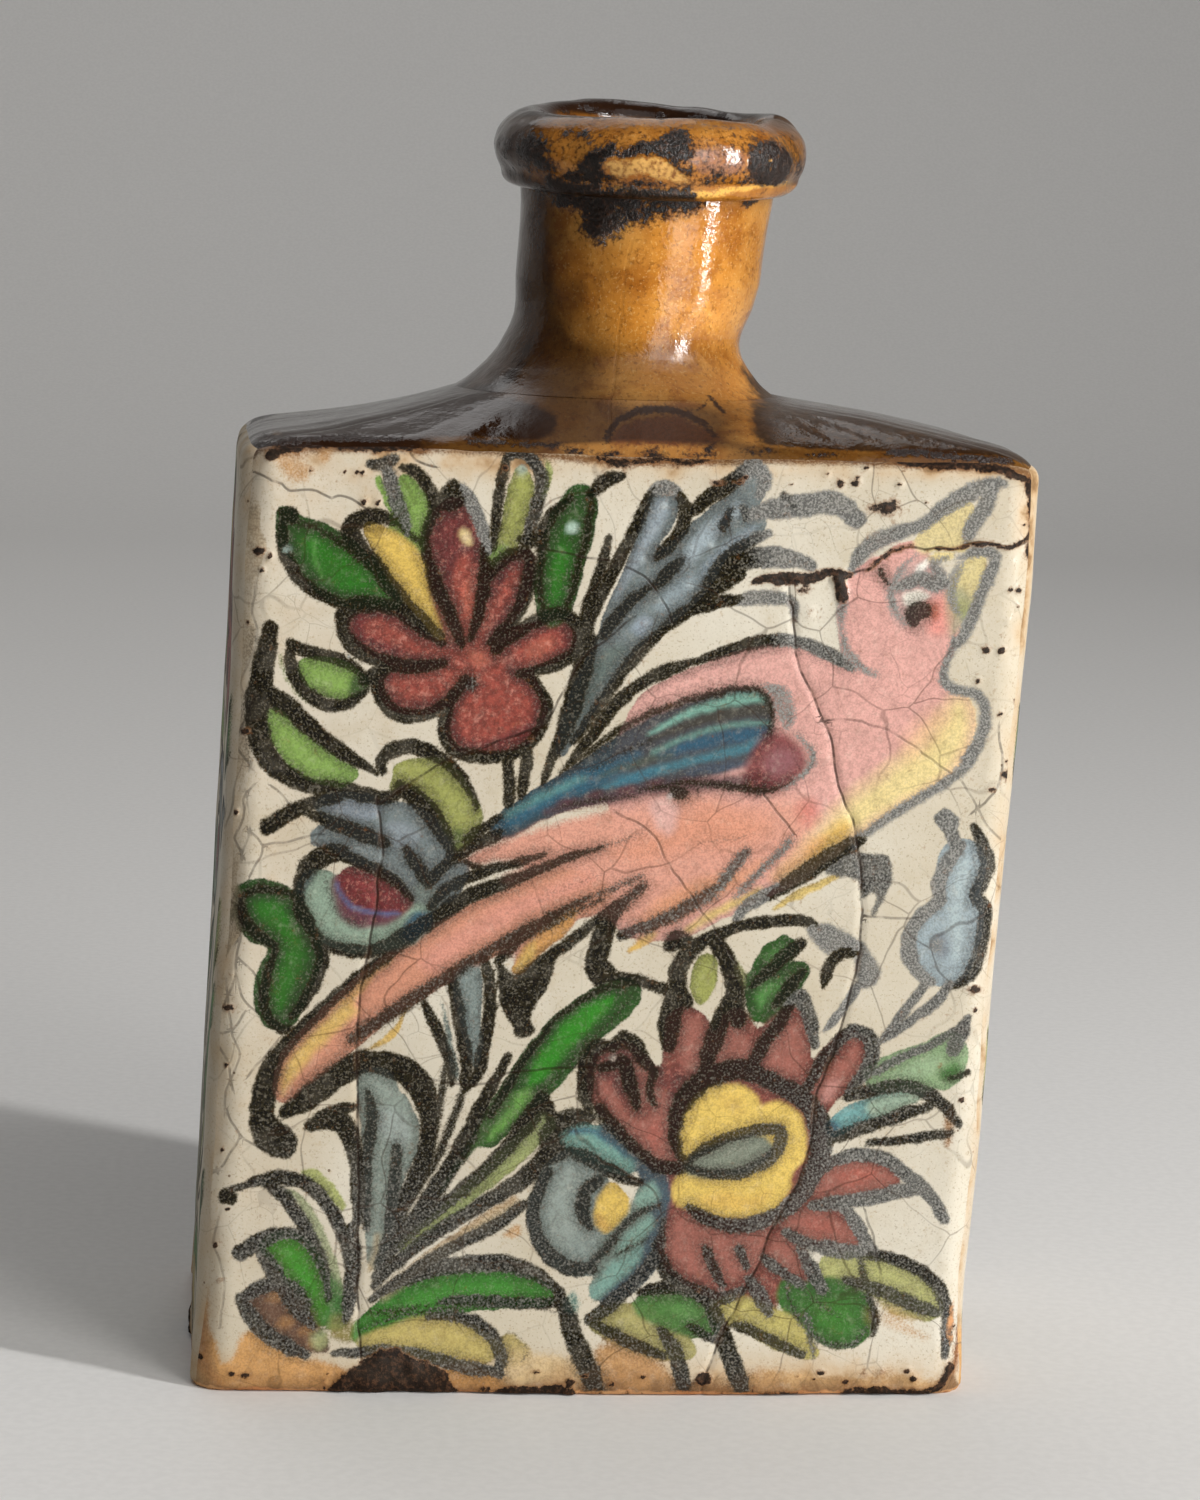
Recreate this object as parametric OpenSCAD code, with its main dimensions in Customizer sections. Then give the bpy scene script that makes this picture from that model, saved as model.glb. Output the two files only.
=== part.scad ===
// Slab-built square flask: four mitred walls round a base slab, a hipped
// shoulder with a hole, a thrown neck luted on with a coil, and a rolled lip.
// Millimetres. +Z is up, the painted front faces -Y, and the origin is the
// middle of the base on the surface that the flask stands on.

/* [Body] */
// Outer width of the body, left to right
body_w = 83.6; // [70:0.2:100]
// Outer depth of the body, front to back
body_d = 46; // [44:0.5:60]
// Height of the body's top edge above the table
body_h = 101; // [85:0.5:120]
// Radius of the upright corners
corner_r = 3.2; // [1.5:0.1:4.5]
// Thickness of the four walls
wall_t = 5; // [4.6:0.1:6]
// Thickness of the base slab
base_t = 6; // [5:0.5:9]
// How far the hand-built body leans to its right, in degrees
body_lean = 2; // [0:0.1:3]
// How far the shoulder dips towards the back, in degrees
roof_dip = 1; // [0:0.1:2]

/* [Shoulder] */
// Rise of the shoulder from the body's edge to the seat of the neck
roof_rise = 5.2; // [4:0.1:8]
// Radius of the flat seat that the neck stands on
seat_r = 17.4; // [16.5:0.1:18.5]
// Thickness of the shoulder slab
roof_t = 5; // [4:0.1:6]

/* [Neck] */
// Radius of the bore that takes a stopper
bore_r = 9.5; // [8:0.1:10]
// Outer radius of the neck at its foot
neck_r_foot = 12.1; // [11.6:0.1:12.6]
// Outer radius of the neck under the lip
neck_r_top = 14.8; // [13.5:0.1:15]
// Length of the neck along its axis
neck_len = 29.5; // [26:0.5:34]
// Lean of the neck to the right, in degrees
neck_lean = 5; // [0:0.5:6]
// Lean of the neck towards the front, in degrees
neck_nod = 4; // [0:0.5:5]
// Height of the coil that is smoothed into a flare at the foot of the neck
flare_h = 9; // [6:0.5:11]

/* [Lip] */
// Outer radius of the rolled lip
lip_r = 16.9; // [16.2:0.1:18]
// Height of the rolled lip
lip_h = 7.4; // [6.4:0.1:8.5]
// Radius of the roll's rounded edges
lip_round = 3; // [2.4:0.1:3.1]
// Tilt of the lip towards the front, in degrees
lip_nod = 6; // [0:0.5:7]

/* [Seam coils] */
// Size of the clay coils pressed into the inside seams
coil = 4; // [3:0.2:5]

/* [Hidden] */
$fn = 96;
big = 400;
// The lean moves the top of the body to the right, so the base starts left of the middle.
base_x = -body_h * tan(body_lean) / 2;
top_x = -base_x;
in_w = body_w - 2 * wall_t;
in_d = body_d - 2 * wall_t;
seat = [0.8, 0.4, body_h + roof_rise];
neck_foot = [1.3, 0.6, seat[2]];
lip_at = [3.6, -1.3, seat[2] + 25.9];
cream = [0.88, 0.83, 0.72];
amber = [0.66, 0.40, 0.12];
brown = [0.42, 0.25, 0.10];
clay = [0.74, 0.52, 0.36];

// A rectangle with round corners, centred
module rounded_rect(w, d, r) {
    union() {
        square([w - 2 * r, d], center = true);
        square([w, d - 2 * r], center = true);
        for (x = [-1, 1], y = [-1, 1])
            translate([x * (w / 2 - r), y * (d / 2 - r)]) circle(r = r);
    }
}

// Leans what it is given, about the base, as the hand-built body leans
module lean() {
    translate([base_x, 0, 0]) rotate([0, body_lean, 0]) children();
}

// The level frame of the body's top edge, which dips a little at the back
module roof_frame() {
    translate([top_x, 0, body_h]) rotate([-roof_dip, 0, 0]) children();
}

// Keeps what is above a level plane
module above(z) {
    difference() {
        children();
        translate([-big / 2, -big / 2, z - big]) cube(big);
    }
}

// The walls' ring in plan, from the mitre at one corner to the mitre at the next
// side: 0 front, 1 right, 2 back, 3 left
module wall_plan(side) {
    w = body_w / 2;
    d = body_d / 2;
    reach = min(w, d) - 1;
    quads = [
        [[-w - 2, -d - 2], [w + 2, -d - 2], [w - reach, -d + reach], [-w + reach, -d + reach]],
        [[w + 2, -d - 2], [w + 2, d + 2], [w - reach, d - reach], [w - reach, -d + reach]],
        [[w + 2, d + 2], [-w - 2, d + 2], [-w + reach, d - reach], [w - reach, d - reach]],
        [[-w - 2, d + 2], [-w - 2, -d - 2], [-w + reach, -d + reach], [-w + reach, d - reach]]
    ];
    intersection() {
        difference() {
            rounded_rect(body_w, body_d, corner_r);
            square([in_w, in_d], center = true);
        }
        polygon(quads[side]);
    }
}

// Everything above the mitre at the top edge of one wall, as a tilted block
module over_mitre(side) {
    out = [[0, -body_d / 2], [body_w / 2, 0], [0, body_d / 2], [-body_w / 2, 0]][side];
    roof_frame() translate([out[0], out[1], 0]) rotate([0, 0, side * 90])
        rotate([-45, 0, 0]) translate([-big / 2, -big / 2, 0]) cube(big);
}

module wall(side) {
    difference() {
        above(0) lean() translate([0, 0, -10]) linear_extrude(height = body_h + 20) wall_plan(side);
        over_mitre(side);
    }
}

module front_wall() { color(cream) wall(0); }
module right_wall() { color(cream) wall(1); }
module back_wall() { color(cream) wall(2); }
module left_wall() { color(cream) wall(3); }

// The base slab is let in between the four walls, level on both faces
module base_slab() {
    color(clay) difference() {
        above(0) lean() translate([-in_w / 2, -in_d / 2, -10]) cube([in_w, in_d, base_t + 30]);
        translate([-big / 2, -big / 2, base_t]) cube(big);
    }
}

// Four hollow-cornered coils, one in each upright seam inside the walls
module corner_coils() {
    top = body_h - wall_t - 4;
    color(clay) lean() for (x = [-1, 1], y = [-1, 1])
        translate([x * in_w / 2, y * in_d / 2, base_t + coil + 0.4]) mirror([x > 0 ? 1 : 0, 0, 0]) mirror([0, y > 0 ? 1 : 0, 0])
            linear_extrude(height = top - base_t - coil - 0.4) difference() {
                square(coil);
                translate([coil, coil]) circle(r = coil);
            }
}

// A coil round the seam between the walls and the base slab, sloped on its inner side
module base_coil() {
    color(clay) above(base_t) lean() difference() {
        translate([-in_w / 2, -in_d / 2, base_t - 2]) cube([in_w, in_d, coil + 2]);
        hull() {
            translate([-in_w / 2 + coil, -in_d / 2 + coil, base_t - 3]) cube([in_w - 2 * coil, in_d - 2 * coil, 1]);
            translate([-in_w / 2 + coil, -in_d / 2 + coil, base_t + 0.5]) cube([in_w - 2 * coil, in_d - 2 * coil, 0.1]);
            translate([-in_w / 2 + 1, -in_d / 2 + 1, base_t + coil]) cube([in_w - 2, in_d - 2, 1]);
        }
    }
}

// The hipped roof slab with its mitred edge, its flat seat and the hole under the neck
module shoulder() {
    color(amber) difference() {
        union() {
            hull() {
                roof_frame() linear_extrude(height = 0.02) rounded_rect(body_w, body_d, corner_r);
                translate([seat[0], seat[1], seat[2] - 0.02]) cylinder(r = seat_r, h = 0.02);
            }
            hull() {
                roof_frame() linear_extrude(height = 0.02) rounded_rect(body_w, body_d, corner_r);
                roof_frame() translate([-in_w / 2, -in_d / 2, -wall_t]) cube([in_w, in_d, 0.02]);
            }
        }
        hull() {
            roof_frame() translate([-in_w / 2, -in_d / 2, -wall_t - 0.5]) cube([in_w, in_d, 0.5]);
            translate([seat[0], seat[1], seat[2] - roof_t]) cylinder(r = seat_r - 3.5, h = 0.02);
        }
        translate(neck_foot) rotate([neck_nod, neck_lean, 0]) translate([0, 0, -20]) cylinder(r = bore_r + 0.8, h = 40);
    }
}

// The outside of the leaning neck, run a little past both ends
module neck_outside(extra) {
    slope = (neck_r_top - neck_r_foot) / neck_len;
    translate(neck_foot) rotate([neck_nod, neck_lean, 0]) translate([0, 0, -extra])
        cylinder(r1 = neck_r_foot - slope * extra, r2 = neck_r_top + slope * extra, h = neck_len + 2 * extra);
}

// A thrown tube, cut level at its foot, with a true bore
module neck() {
    color(amber) difference() {
        translate(neck_foot) rotate([neck_nod, neck_lean, 0]) translate([0, 0, -4])
            cylinder(r1 = neck_r_foot - 4 * (neck_r_top - neck_r_foot) / neck_len, r2 = neck_r_top, h = neck_len + 4);
        translate(neck_foot) rotate([neck_nod, neck_lean, 0]) translate([0, 0, -20]) cylinder(r = bore_r, h = neck_len + 40);
        translate([-big / 2, -big / 2, seat[2] - big]) cube(big);
    }
}

// The luting coil, smoothed into a hollow flare between the seat and the neck
module neck_coil() {
    foot = seat_r - neck_r_foot + 0.4;
    sweep = (foot * foot + flare_h * flare_h) / (2 * foot);
    color(amber) difference() {
        translate(seat) rotate_extrude() difference() {
            translate([neck_r_foot - 2.4, 0]) square([seat_r - neck_r_foot + 2.4, flare_h]);
            translate([seat_r - foot + sweep, flare_h]) circle(r = sweep);
        }
        neck_outside(4);
    }
}

// A rolled coil wrapped round the top of the neck
module lip_ring() {
    color(brown) difference() {
        translate(lip_at) rotate([lip_nod, 0, 0]) rotate_extrude() union() {
            translate([lip_r - lip_round, lip_h / 2 - lip_round]) circle(r = lip_round);
            translate([lip_r - lip_round, lip_round - lip_h / 2]) circle(r = lip_round);
            translate([lip_r - 6, lip_round - lip_h / 2]) square([6, lip_h - 2 * lip_round]);
            translate([lip_r - 6, -lip_h / 2]) square([6 - lip_round, lip_h]);
        }
        neck_outside(6);
    }
}

base_slab();
front_wall();
back_wall();
left_wall();
right_wall();
corner_coils();
base_coil();
shoulder();
neck_coil();
neck();
lip_ring();
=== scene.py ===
import bpy, math
import numpy as np
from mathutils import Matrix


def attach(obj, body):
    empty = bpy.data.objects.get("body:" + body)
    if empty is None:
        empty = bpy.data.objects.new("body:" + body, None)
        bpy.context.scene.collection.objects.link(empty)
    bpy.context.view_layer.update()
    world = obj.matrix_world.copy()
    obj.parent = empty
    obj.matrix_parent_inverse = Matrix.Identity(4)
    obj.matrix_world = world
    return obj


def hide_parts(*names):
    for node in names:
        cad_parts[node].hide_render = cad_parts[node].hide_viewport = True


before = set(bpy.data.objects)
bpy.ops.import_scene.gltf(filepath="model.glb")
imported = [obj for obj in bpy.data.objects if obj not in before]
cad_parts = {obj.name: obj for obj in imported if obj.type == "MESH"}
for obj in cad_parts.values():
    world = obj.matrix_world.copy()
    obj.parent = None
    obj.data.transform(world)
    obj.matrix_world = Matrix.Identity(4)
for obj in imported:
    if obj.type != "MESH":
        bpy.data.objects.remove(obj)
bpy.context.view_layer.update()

# ------------------------------------------------------------------ camera (mm, pixels of the 1200 x 1500 frame)
F = 4000.0
PITCH, YAW, ROLL = math.radians(8.5), math.radians(6.04), math.radians(2.09)
CAM = np.array([-45.5, -436.8, 131.9])
FW = np.array([math.sin(YAW) * math.cos(PITCH), math.cos(YAW) * math.cos(PITCH), -math.sin(PITCH)])
R0 = np.array([math.cos(YAW), -math.sin(YAW), 0.0])
U0 = np.cross(R0, FW)
RV = math.cos(ROLL) * R0 + math.sin(ROLL) * U0
UV = -math.sin(ROLL) * R0 + math.cos(ROLL) * U0


def project(P):
    v = P - CAM
    z = v @ FW
    return 600 + F * (v @ RV) / z, 750 - F * (v @ UV) / z


# ------------------------------------------------------------------ seeded value noise
RNG = np.random.RandomState(11)
TAB = RNG.rand(4096)


def _hash(ix, iy, iz, s):
    return TAB[(ix * 73 + iy * 1291 + iz * 2837 + s * 911) & 4095]


def vnoise(P, size, seed=0):
    q = P / size + 100.0
    i = np.floor(q).astype(np.int64)
    f = q - i
    f = f * f * (3 - 2 * f)
    out = 0.0
    for dx in (0, 1):
        wx = f[:, 0] if dx else 1 - f[:, 0]
        for dy in (0, 1):
            wy = f[:, 1] if dy else 1 - f[:, 1]
            for dz in (0, 1):
                wz = f[:, 2] if dz else 1 - f[:, 2]
                out = out + wx * wy * wz * _hash(i[:, 0] + dx, i[:, 1] + dy, i[:, 2] + dz, seed)
    return out * 2 - 1


def n2(x, y, size, seed=0):
    return vnoise(np.stack([x, y, np.zeros_like(x)], 1), size, seed)


def lin(c):
    c = np.asarray(c, float) / 255.0
    return np.where(c <= 0.04045, c / 12.92, ((c + 0.055) / 1.055) ** 2.4)


def sstep(x, a, b):
    t = np.clip((x - a) / (b - a), 0, 1)
    return t * t * (3 - 2 * t)


# ------------------------------------------------------------------ body surface (mm)
BX, LEAN = -1.263, math.tan(math.radians(2.0))
HD = 23.0
RX, RY, RZT, RZB = 4.0, 4.0, 2.5, 1.6
SEAT = np.array([0.8, 0.4, 106.2])
SEAT_R = 17.4


def half_w(z):
    return 41.85 + 0.0052 * z


def z_top(a, y):
    return 101.15 - 0.0175 * y


def body_map(a, y, z, wall=True):
    """sharp box point (a across from the leaning centre line, y, z) -> rounded, hand-made surface point"""
    hw = half_w(z)
    zt = z_top(a, y)
    ca = np.clip(a, -(hw - RX), hw - RX)
    cy = np.clip(y, -(HD - RY), HD - RY)
    cz = np.clip(z, RZB, zt - RZT)
    rz = np.where(z > 50, RZT, RZB)
    o = np.stack([(a - ca) / RX, (y - cy) / RY, (z - cz) / rz], 1)
    qn = np.where(z > 50, 2.4, 6.0)
    ln = (np.hypot(o[:, 0], o[:, 1]) ** qn + np.abs(o[:, 2]) ** qn) ** (1 / qn)
    ln = np.maximum(ln, 1e-6)
    o = o / ln[:, None]
    P = np.stack([ca + o[:, 0] * RX, cy + o[:, 1] * RY, cz + o[:, 2] * rz], 1)
    n = np.stack([o[:, 0] / RX, o[:, 1] / RY, np.sign(o[:, 2]) * np.abs(o[:, 2]) ** (qn - 1) / rz], 1)
    n /= np.linalg.norm(n, axis=1)[:, None]
    d = 0.30 * vnoise(P, 31.0, 1) + 0.13 * vnoise(P, 11.0, 2) + 0.035 * vnoise(P, 4.0, 3)
    # the middle of each face stands a little proud, as pressed slabs do
    bulge = 0.35 * (1 - (P[:, 2] / 50.5 - 1) ** 2) * np.clip(1 - (P[:, 0] / 44.0) ** 2, 0, 1) * np.abs(n[:, 1])
    d = d + bulge - 0.2
    # uneven hand-smoothed edges
    edge = 1 - np.max(np.abs(o), axis=1)
    d = d + edge * (0.9 * vnoise(P, 7.0, 4) + 0.5 * vnoise(P, 2.6, 5))
    d = d * np.clip(P[:, 2] / 1.2, 0, 1)
    # the foot spreads a little; the right side swells at mid height
    d = d + np.abs(n[:, 1]) * (1.3 + 0.9 * np.exp(-((P[:, 0] - 12) / 26) ** 2)) * sstep(P[:, 2], 13.0, 0.5)
    d = d + np.clip(n[:, 0], 0, 1) * 0.35 * np.exp(-((P[:, 2] - 73) / 14) ** 2)
    P = P + n * d[:, None]
    P[:, 0] += BX + P[:, 2] * LEAN
    P[:, 2] = np.maximum(P[:, 2], 0.0)
    return P


# ------------------------------------------------------------------ painting engine
def spline(pts, closed=False, step=6.0):
    p = np.asarray(pts, float)
    if len(p) < 3:
        return p
    if closed:
        q = np.vstack([p[-1], p, p[0], p[1]])
    else:
        q = np.vstack([2 * p[0] - p[1], p, 2 * p[-1] - p[-2]])
    out = []
    for i in range(1, len(q) - 2):
        a, b, c, d = q[i - 1], q[i], q[i + 1], q[i + 2]
        n = max(2, int(np.hypot(*(c - b)[:2]) / step))
        t = np.linspace(0, 1, n, endpoint=False)[:, None]
        out.append(0.5 * (2 * b + (c - a) * t + (2 * a - 5 * b + 4 * c - d) * t ** 2 + (3 * b - a - 3 * c + d) * t ** 3))
    out = np.vstack(out)
    if not closed:
        out = np.vstack([out, p[-1]])
    return out


def seg_dist(x, y, pts, hw):
    """distance to a polyline less its half width; also the unsigned distance and the side"""
    best = np.full(x.shape, 1e9)
    raw = np.full(x.shape, 1e9)
    side = np.ones(x.shape)
    for i in range(len(pts) - 1):
        ax, ay = pts[i]
        bx, by = pts[i + 1]
        dx, dy = bx - ax, by - ay
        L = dx * dx + dy * dy + 1e-9
        t = np.clip(((x - ax) * dx + (y - ay) * dy) / L, 0, 1)
        ex, ey = x - ax - t * dx, y - ay - t * dy
        d = np.sqrt(ex * ex + ey * ey)
        sd = d - (hw[i] + (hw[i + 1] - hw[i]) * t)
        best = np.minimum(best, sd)
        near = d < raw
        raw = np.where(near, d, raw)
        side = np.where(near, np.where(dx * (y - ay) - dy * (x - ax) >= 0, 1.0, -1.0), side)
    return best, raw, side


def poly_sd(x, y, pts):
    inside = np.zeros(x.shape, bool)
    best = np.full(x.shape, 1e9)
    n = len(pts)
    for i in range(n):
        ax, ay = pts[i]
        bx, by = pts[(i + 1) % n]
        dx, dy = bx - ax, by - ay
        L = dx * dx + dy * dy + 1e-9
        t = np.clip(((x - ax) * dx + (y - ay) * dy) / L, 0, 1)
        ex, ey = x - ax - t * dx, y - ay - t * dy
        best = np.minimum(best, ex * ex + ey * ey)
        if ay != by:
            cross = (ay > y) != (by > y)
            xi = ax + (y - ay) * dx / (dy if dy else 1e-9)
            inside ^= cross & (x < xi)
    best = np.sqrt(best)
    return np.where(inside, -best, best)


class Paint:
    """brush work on a set of points given in picture pixels"""

    def __init__(self, x, y):
        self.x, self.y = x, y
        n = len(x)
        self.rgb = np.zeros((n, 3))
        self.a = np.zeros(n)
        self.ink = np.zeros(n)
        self.tone = np.zeros(n)
        self.stain_and_shade = np.zeros(n)
        self.crust_and_shadow = np.zeros(n)
        self.bare = np.zeros(n)
        self.crs = np.full(n, 9.0)
        self.crm = np.zeros(n)
        self.fat = 1.0
        self.halo = np.zeros(n)
        self.dull = np.zeros(n)
        self.wob = 1.0 + 0.10 * n2(x, y, 14.0, 21) + 0.06 * n2(x, y, 6.0, 22)
        self.jx = 1.2 * n2(x, y, 9.0, 23) + 0.5 * n2(x, y, 4.0, 25)
        self.jy = 1.2 * n2(x, y, 9.0, 24) + 0.5 * n2(x, y, 4.0, 26)

    def _sel(self, pts, m):
        lo, hi = np.min(pts, 0) - m, np.max(pts, 0) + m
        return np.nonzero((self.x > lo[0]) & (self.x < hi[0]) & (self.y > lo[1]) & (self.y < hi[1]))[0]

    def _over(self, i, col, a):
        c = lin(col)
        a0 = self.a[i]
        out = a + a0 * (1 - a)
        self.rgb[i] = np.where(out[:, None] > 1e-6,
                               (c * a[:, None] + self.rgb[i] * (a0 * (1 - a))[:, None]) / np.maximum(out, 1e-6)[:, None],
                               self.rgb[i])
        self.a[i] = out

    def fill(self, col, pts, soft=5.0, al=0.95, grow=None):
        p = spline(pts, True)
        grow = (7.0 if al == 0.95 and soft <= 6 else 0.0) if grow is None else grow
        i = self._sel(p, soft + 12)
        if len(i):
            sd = poly_sd(self.x[i] + self.jx[i], self.y[i] + self.jy[i], p) - grow
            self._over(i, col, al * np.clip(0.5 - sd / soft, 0, 1) * np.clip(0.55 + 0.5 * self.wob[i], 0, 1))

    def band(self, col, pts, w, soft=5.0, al=0.95):
        p = spline(pts)
        w = np.full(len(p), w / 2.0) if np.isscalar(w) else np.interp(np.linspace(0, 1, len(p)), np.linspace(0, 1, len(w)), w) / 2.0
        i = self._sel(p, soft + 6 + w.max())
        if len(i):
            sd, _, _ = seg_dist(self.x[i] + self.jx[i], self.y[i] + self.jy[i], p, w)
            self._over(i, col, al * np.clip(0.5 - sd / soft, 0, 1) * np.clip(0.5 + 0.5 * self.wob[i], 0, 1))

    def dot(self, col, c, r, soft=4.0, al=0.9):
        i = self._sel(np.array([c, c], float), r + soft + 4)
        if len(i):
            sd = np.hypot(self.x[i] + self.jx[i] - c[0], self.y[i] + self.jy[i] - c[1]) - r
            self._over(i, col, al * np.clip(0.5 - sd / soft, 0, 1))

    def k(self, pts, w=13, t=None, soft=7.0, al=1.0):
        """ink stroke: t 0 is black-brown, 1 is grey"""
        p = spline(pts)
        w = np.full(len(p), w / 2.0) if np.isscalar(w) else np.interp(np.linspace(0, 1, len(p)), np.linspace(0, 1, len(w)), w) / 2.0
        s = np.linspace(0, 1, len(p))
        w = self.fat * w * (0.78 + 0.22 * np.clip(np.minimum(s, 1 - s) * 7, 0, 1))
        i = self._sel(p, soft + 6 + w.max())
        if not len(i):
            return
        sd, _, _ = seg_dist(self.x[i] + self.jx[i], self.y[i] + self.jy[i], p, w)
        d = np.clip(0.5 - sd / soft, 0, 1) * al * np.clip(self.wob[i], 0, 1.2)
        tt = self.haze[i] if t is None else t
        self.tone[i] = np.where(d > self.ink[i], tt, self.tone[i])
        self.ink[i] = np.maximum(self.ink[i], d)
        self.halo[i] = np.maximum(self.halo[i], al * (1 - 0.6 * tt) * np.clip(1 - sd / 15.0, 0, 1))

    def blob(self, pts, t=None, soft=7.0, al=1.0):
        """solid ink shape"""
        p = spline(pts, True)
        i = self._sel(p, soft + 6)
        if not len(i):
            return
        sd = poly_sd(self.x[i] + self.jx[i], self.y[i] + self.jy[i], p)
        d = np.clip(0.5 - sd / soft, 0, 1) * al * np.clip(self.wob[i], 0, 1.2)
        tt = self.haze[i] if t is None else t
        self.tone[i] = np.where(d > self.ink[i], tt, self.tone[i])
        self.ink[i] = np.maximum(self.ink[i], d)
        self.halo[i] = np.maximum(self.halo[i], al * (1 - 0.6 * tt) * np.clip(1 - sd / 15.0, 0, 1))

    def over(self, col, c, r, soft=5.0):
        """a light spot that sits on top of the ink"""
        i = self._sel(np.array([c, c], float), r + soft + 4)
        if len(i):
            sd = np.hypot(self.x[i] + self.jx[i] - c[0], self.y[i] + self.jy[i] - c[1]) - r
            a = np.clip(0.5 - sd / soft, 0, 1)
            self.ink[i] *= 1 - a
            self._over(i, col, 0.9 * a)

    def crack(self, pts, m=1.0):
        p = spline(pts, step=5.0)
        p = p + np.stack([1.6 * n2(p[:, 0], p[:, 1], 13.0, 31), 1.6 * n2(p[:, 0], p[:, 1], 13.0, 32)], 1)
        i = self._sel(p, 14)
        if not len(i):
            return
        _, d, side = seg_dist(self.x[i], self.y[i], p, np.zeros(len(p)))
        near = d < np.abs(self.crs[i])
        self.crs[i] = np.where(near, np.clip(d, 0, 9) * side, self.crs[i])
        self.crm[i] = np.maximum(self.crm[i], m * np.clip(1.6 - d / 5.0, 0, 1))

    def soft(self, what, c, r, v=1.0):
        """soft elliptical patch on an attribute"""
        arr = getattr(self, what)
        q = ((self.x - c[0]) / r[0]) ** 2 + ((self.y - c[1]) / r[1]) ** 2
        arr += v * np.exp(-q * 1.2) * np.clip(0.8 + 0.5 * n2(self.x, self.y, 16.0, 41), 0, 1.4)

    def line(self, what, pts, w, v=1.0, soft=6.0):
        arr = getattr(self, what)
        p = spline(pts)
        w = np.full(len(p), w / 2.0) if np.isscalar(w) else np.interp(np.linspace(0, 1, len(p)), np.linspace(0, 1, len(w)), w) / 2.0
        i = self._sel(p, soft + 6 + w.max())
        if len(i):
            sd, _, _ = seg_dist(self.x[i] + self.jx[i], self.y[i] + self.jy[i], p, w)
            arr[i] = np.maximum(arr[i], v * np.clip(0.5 - sd / soft, 0, 1))

    def patch(self, what, pts, v=1.0, soft=8.0):
        arr = getattr(self, what)
        p = spline(pts, True)
        i = self._sel(p, soft + 6)
        if len(i):
            sd = poly_sd(self.x[i] + self.jx[i], self.y[i] + self.jy[i], p)
            arr[i] = np.maximum(arr[i], v * np.clip(0.5 - sd / soft, 0, 1))


# palette, sRGB
GREEN, GREENB, GREEN2, GREEN3 = (20, 76, 8), (26, 106, 9), (36, 78, 24), (54, 106, 36)
LGREEN, OLIVE, OLIVEY, OLIVEG = (128, 162, 78), (150, 154, 82), (162, 156, 88), (124, 132, 74)
GREENT = (136, 164, 120)
RED, REDB, REDD, CRIM, MAROON = (116, 44, 42), (154, 70, 58), (98, 32, 34), (106, 30, 36), (70, 24, 28)
REDM, REDMB = (128, 66, 56), (152, 92, 80)
PINK, PINKL, ORANGE, REDO = (213, 160, 149), (202, 138, 110), (208, 142, 96), (186, 92, 62)
YEL, YELP, YELO, YELT = (214, 180, 88), (226, 206, 142), (214, 168, 84), (208, 172, 96)
GREYB, GREYL, GREYG, GREYW = (108, 119, 120), (142, 150, 150), (118, 128, 118), (190, 190, 182)
TEAL, AQUA, AQUAT, BLUE, DBLUE, SLATE = (70, 116, 120), (128, 170, 154), (112, 150, 138), (34, 92, 118), (38, 58, 68), (64, 84, 100)
PURPLE, BROWN, WHITEB, CREAMW = (88, 52, 62), (104, 76, 54), (200, 214, 210), (226, 216, 196)


def set_haze(P, flat=None):
    """how grey the ink reads: blacker on the left; greyer to the right of the long crack and low on the front, which is
    a painted reflection of the glaze's sheen; a flat value greys all the ink evenly
    """
    x, y = P.x, P.y
    if flat is not None:
        P.haze = np.full(len(x), flat)
        return
    xc = np.interp(y, [440, 580, 660, 722, 785, 838, 900, 950, 1000, 1045, 1090, 1130, 1190, 1400],
                   [735, 760, 785, 824, 838, 857, 862, 860, 850, 842, 835, 830, 830, 840])
    P.haze = (0.05 + 0.78 * sstep(x - xc, -25, 25) * np.interp(y, [440, 850, 900, 1000, 1100, 1400], [1.0, 1.0, 0.75, 0.6, 0.3, 0.15])
              + (0.17 + 0.15 * sstep(x, 600, 480)) * sstep(y, 1080, 1240) + 0.25 * sstep(y, 990, 1110) * sstep(x, 660, 800))
    P.haze = np.clip(P.haze, 0, 1)


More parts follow.
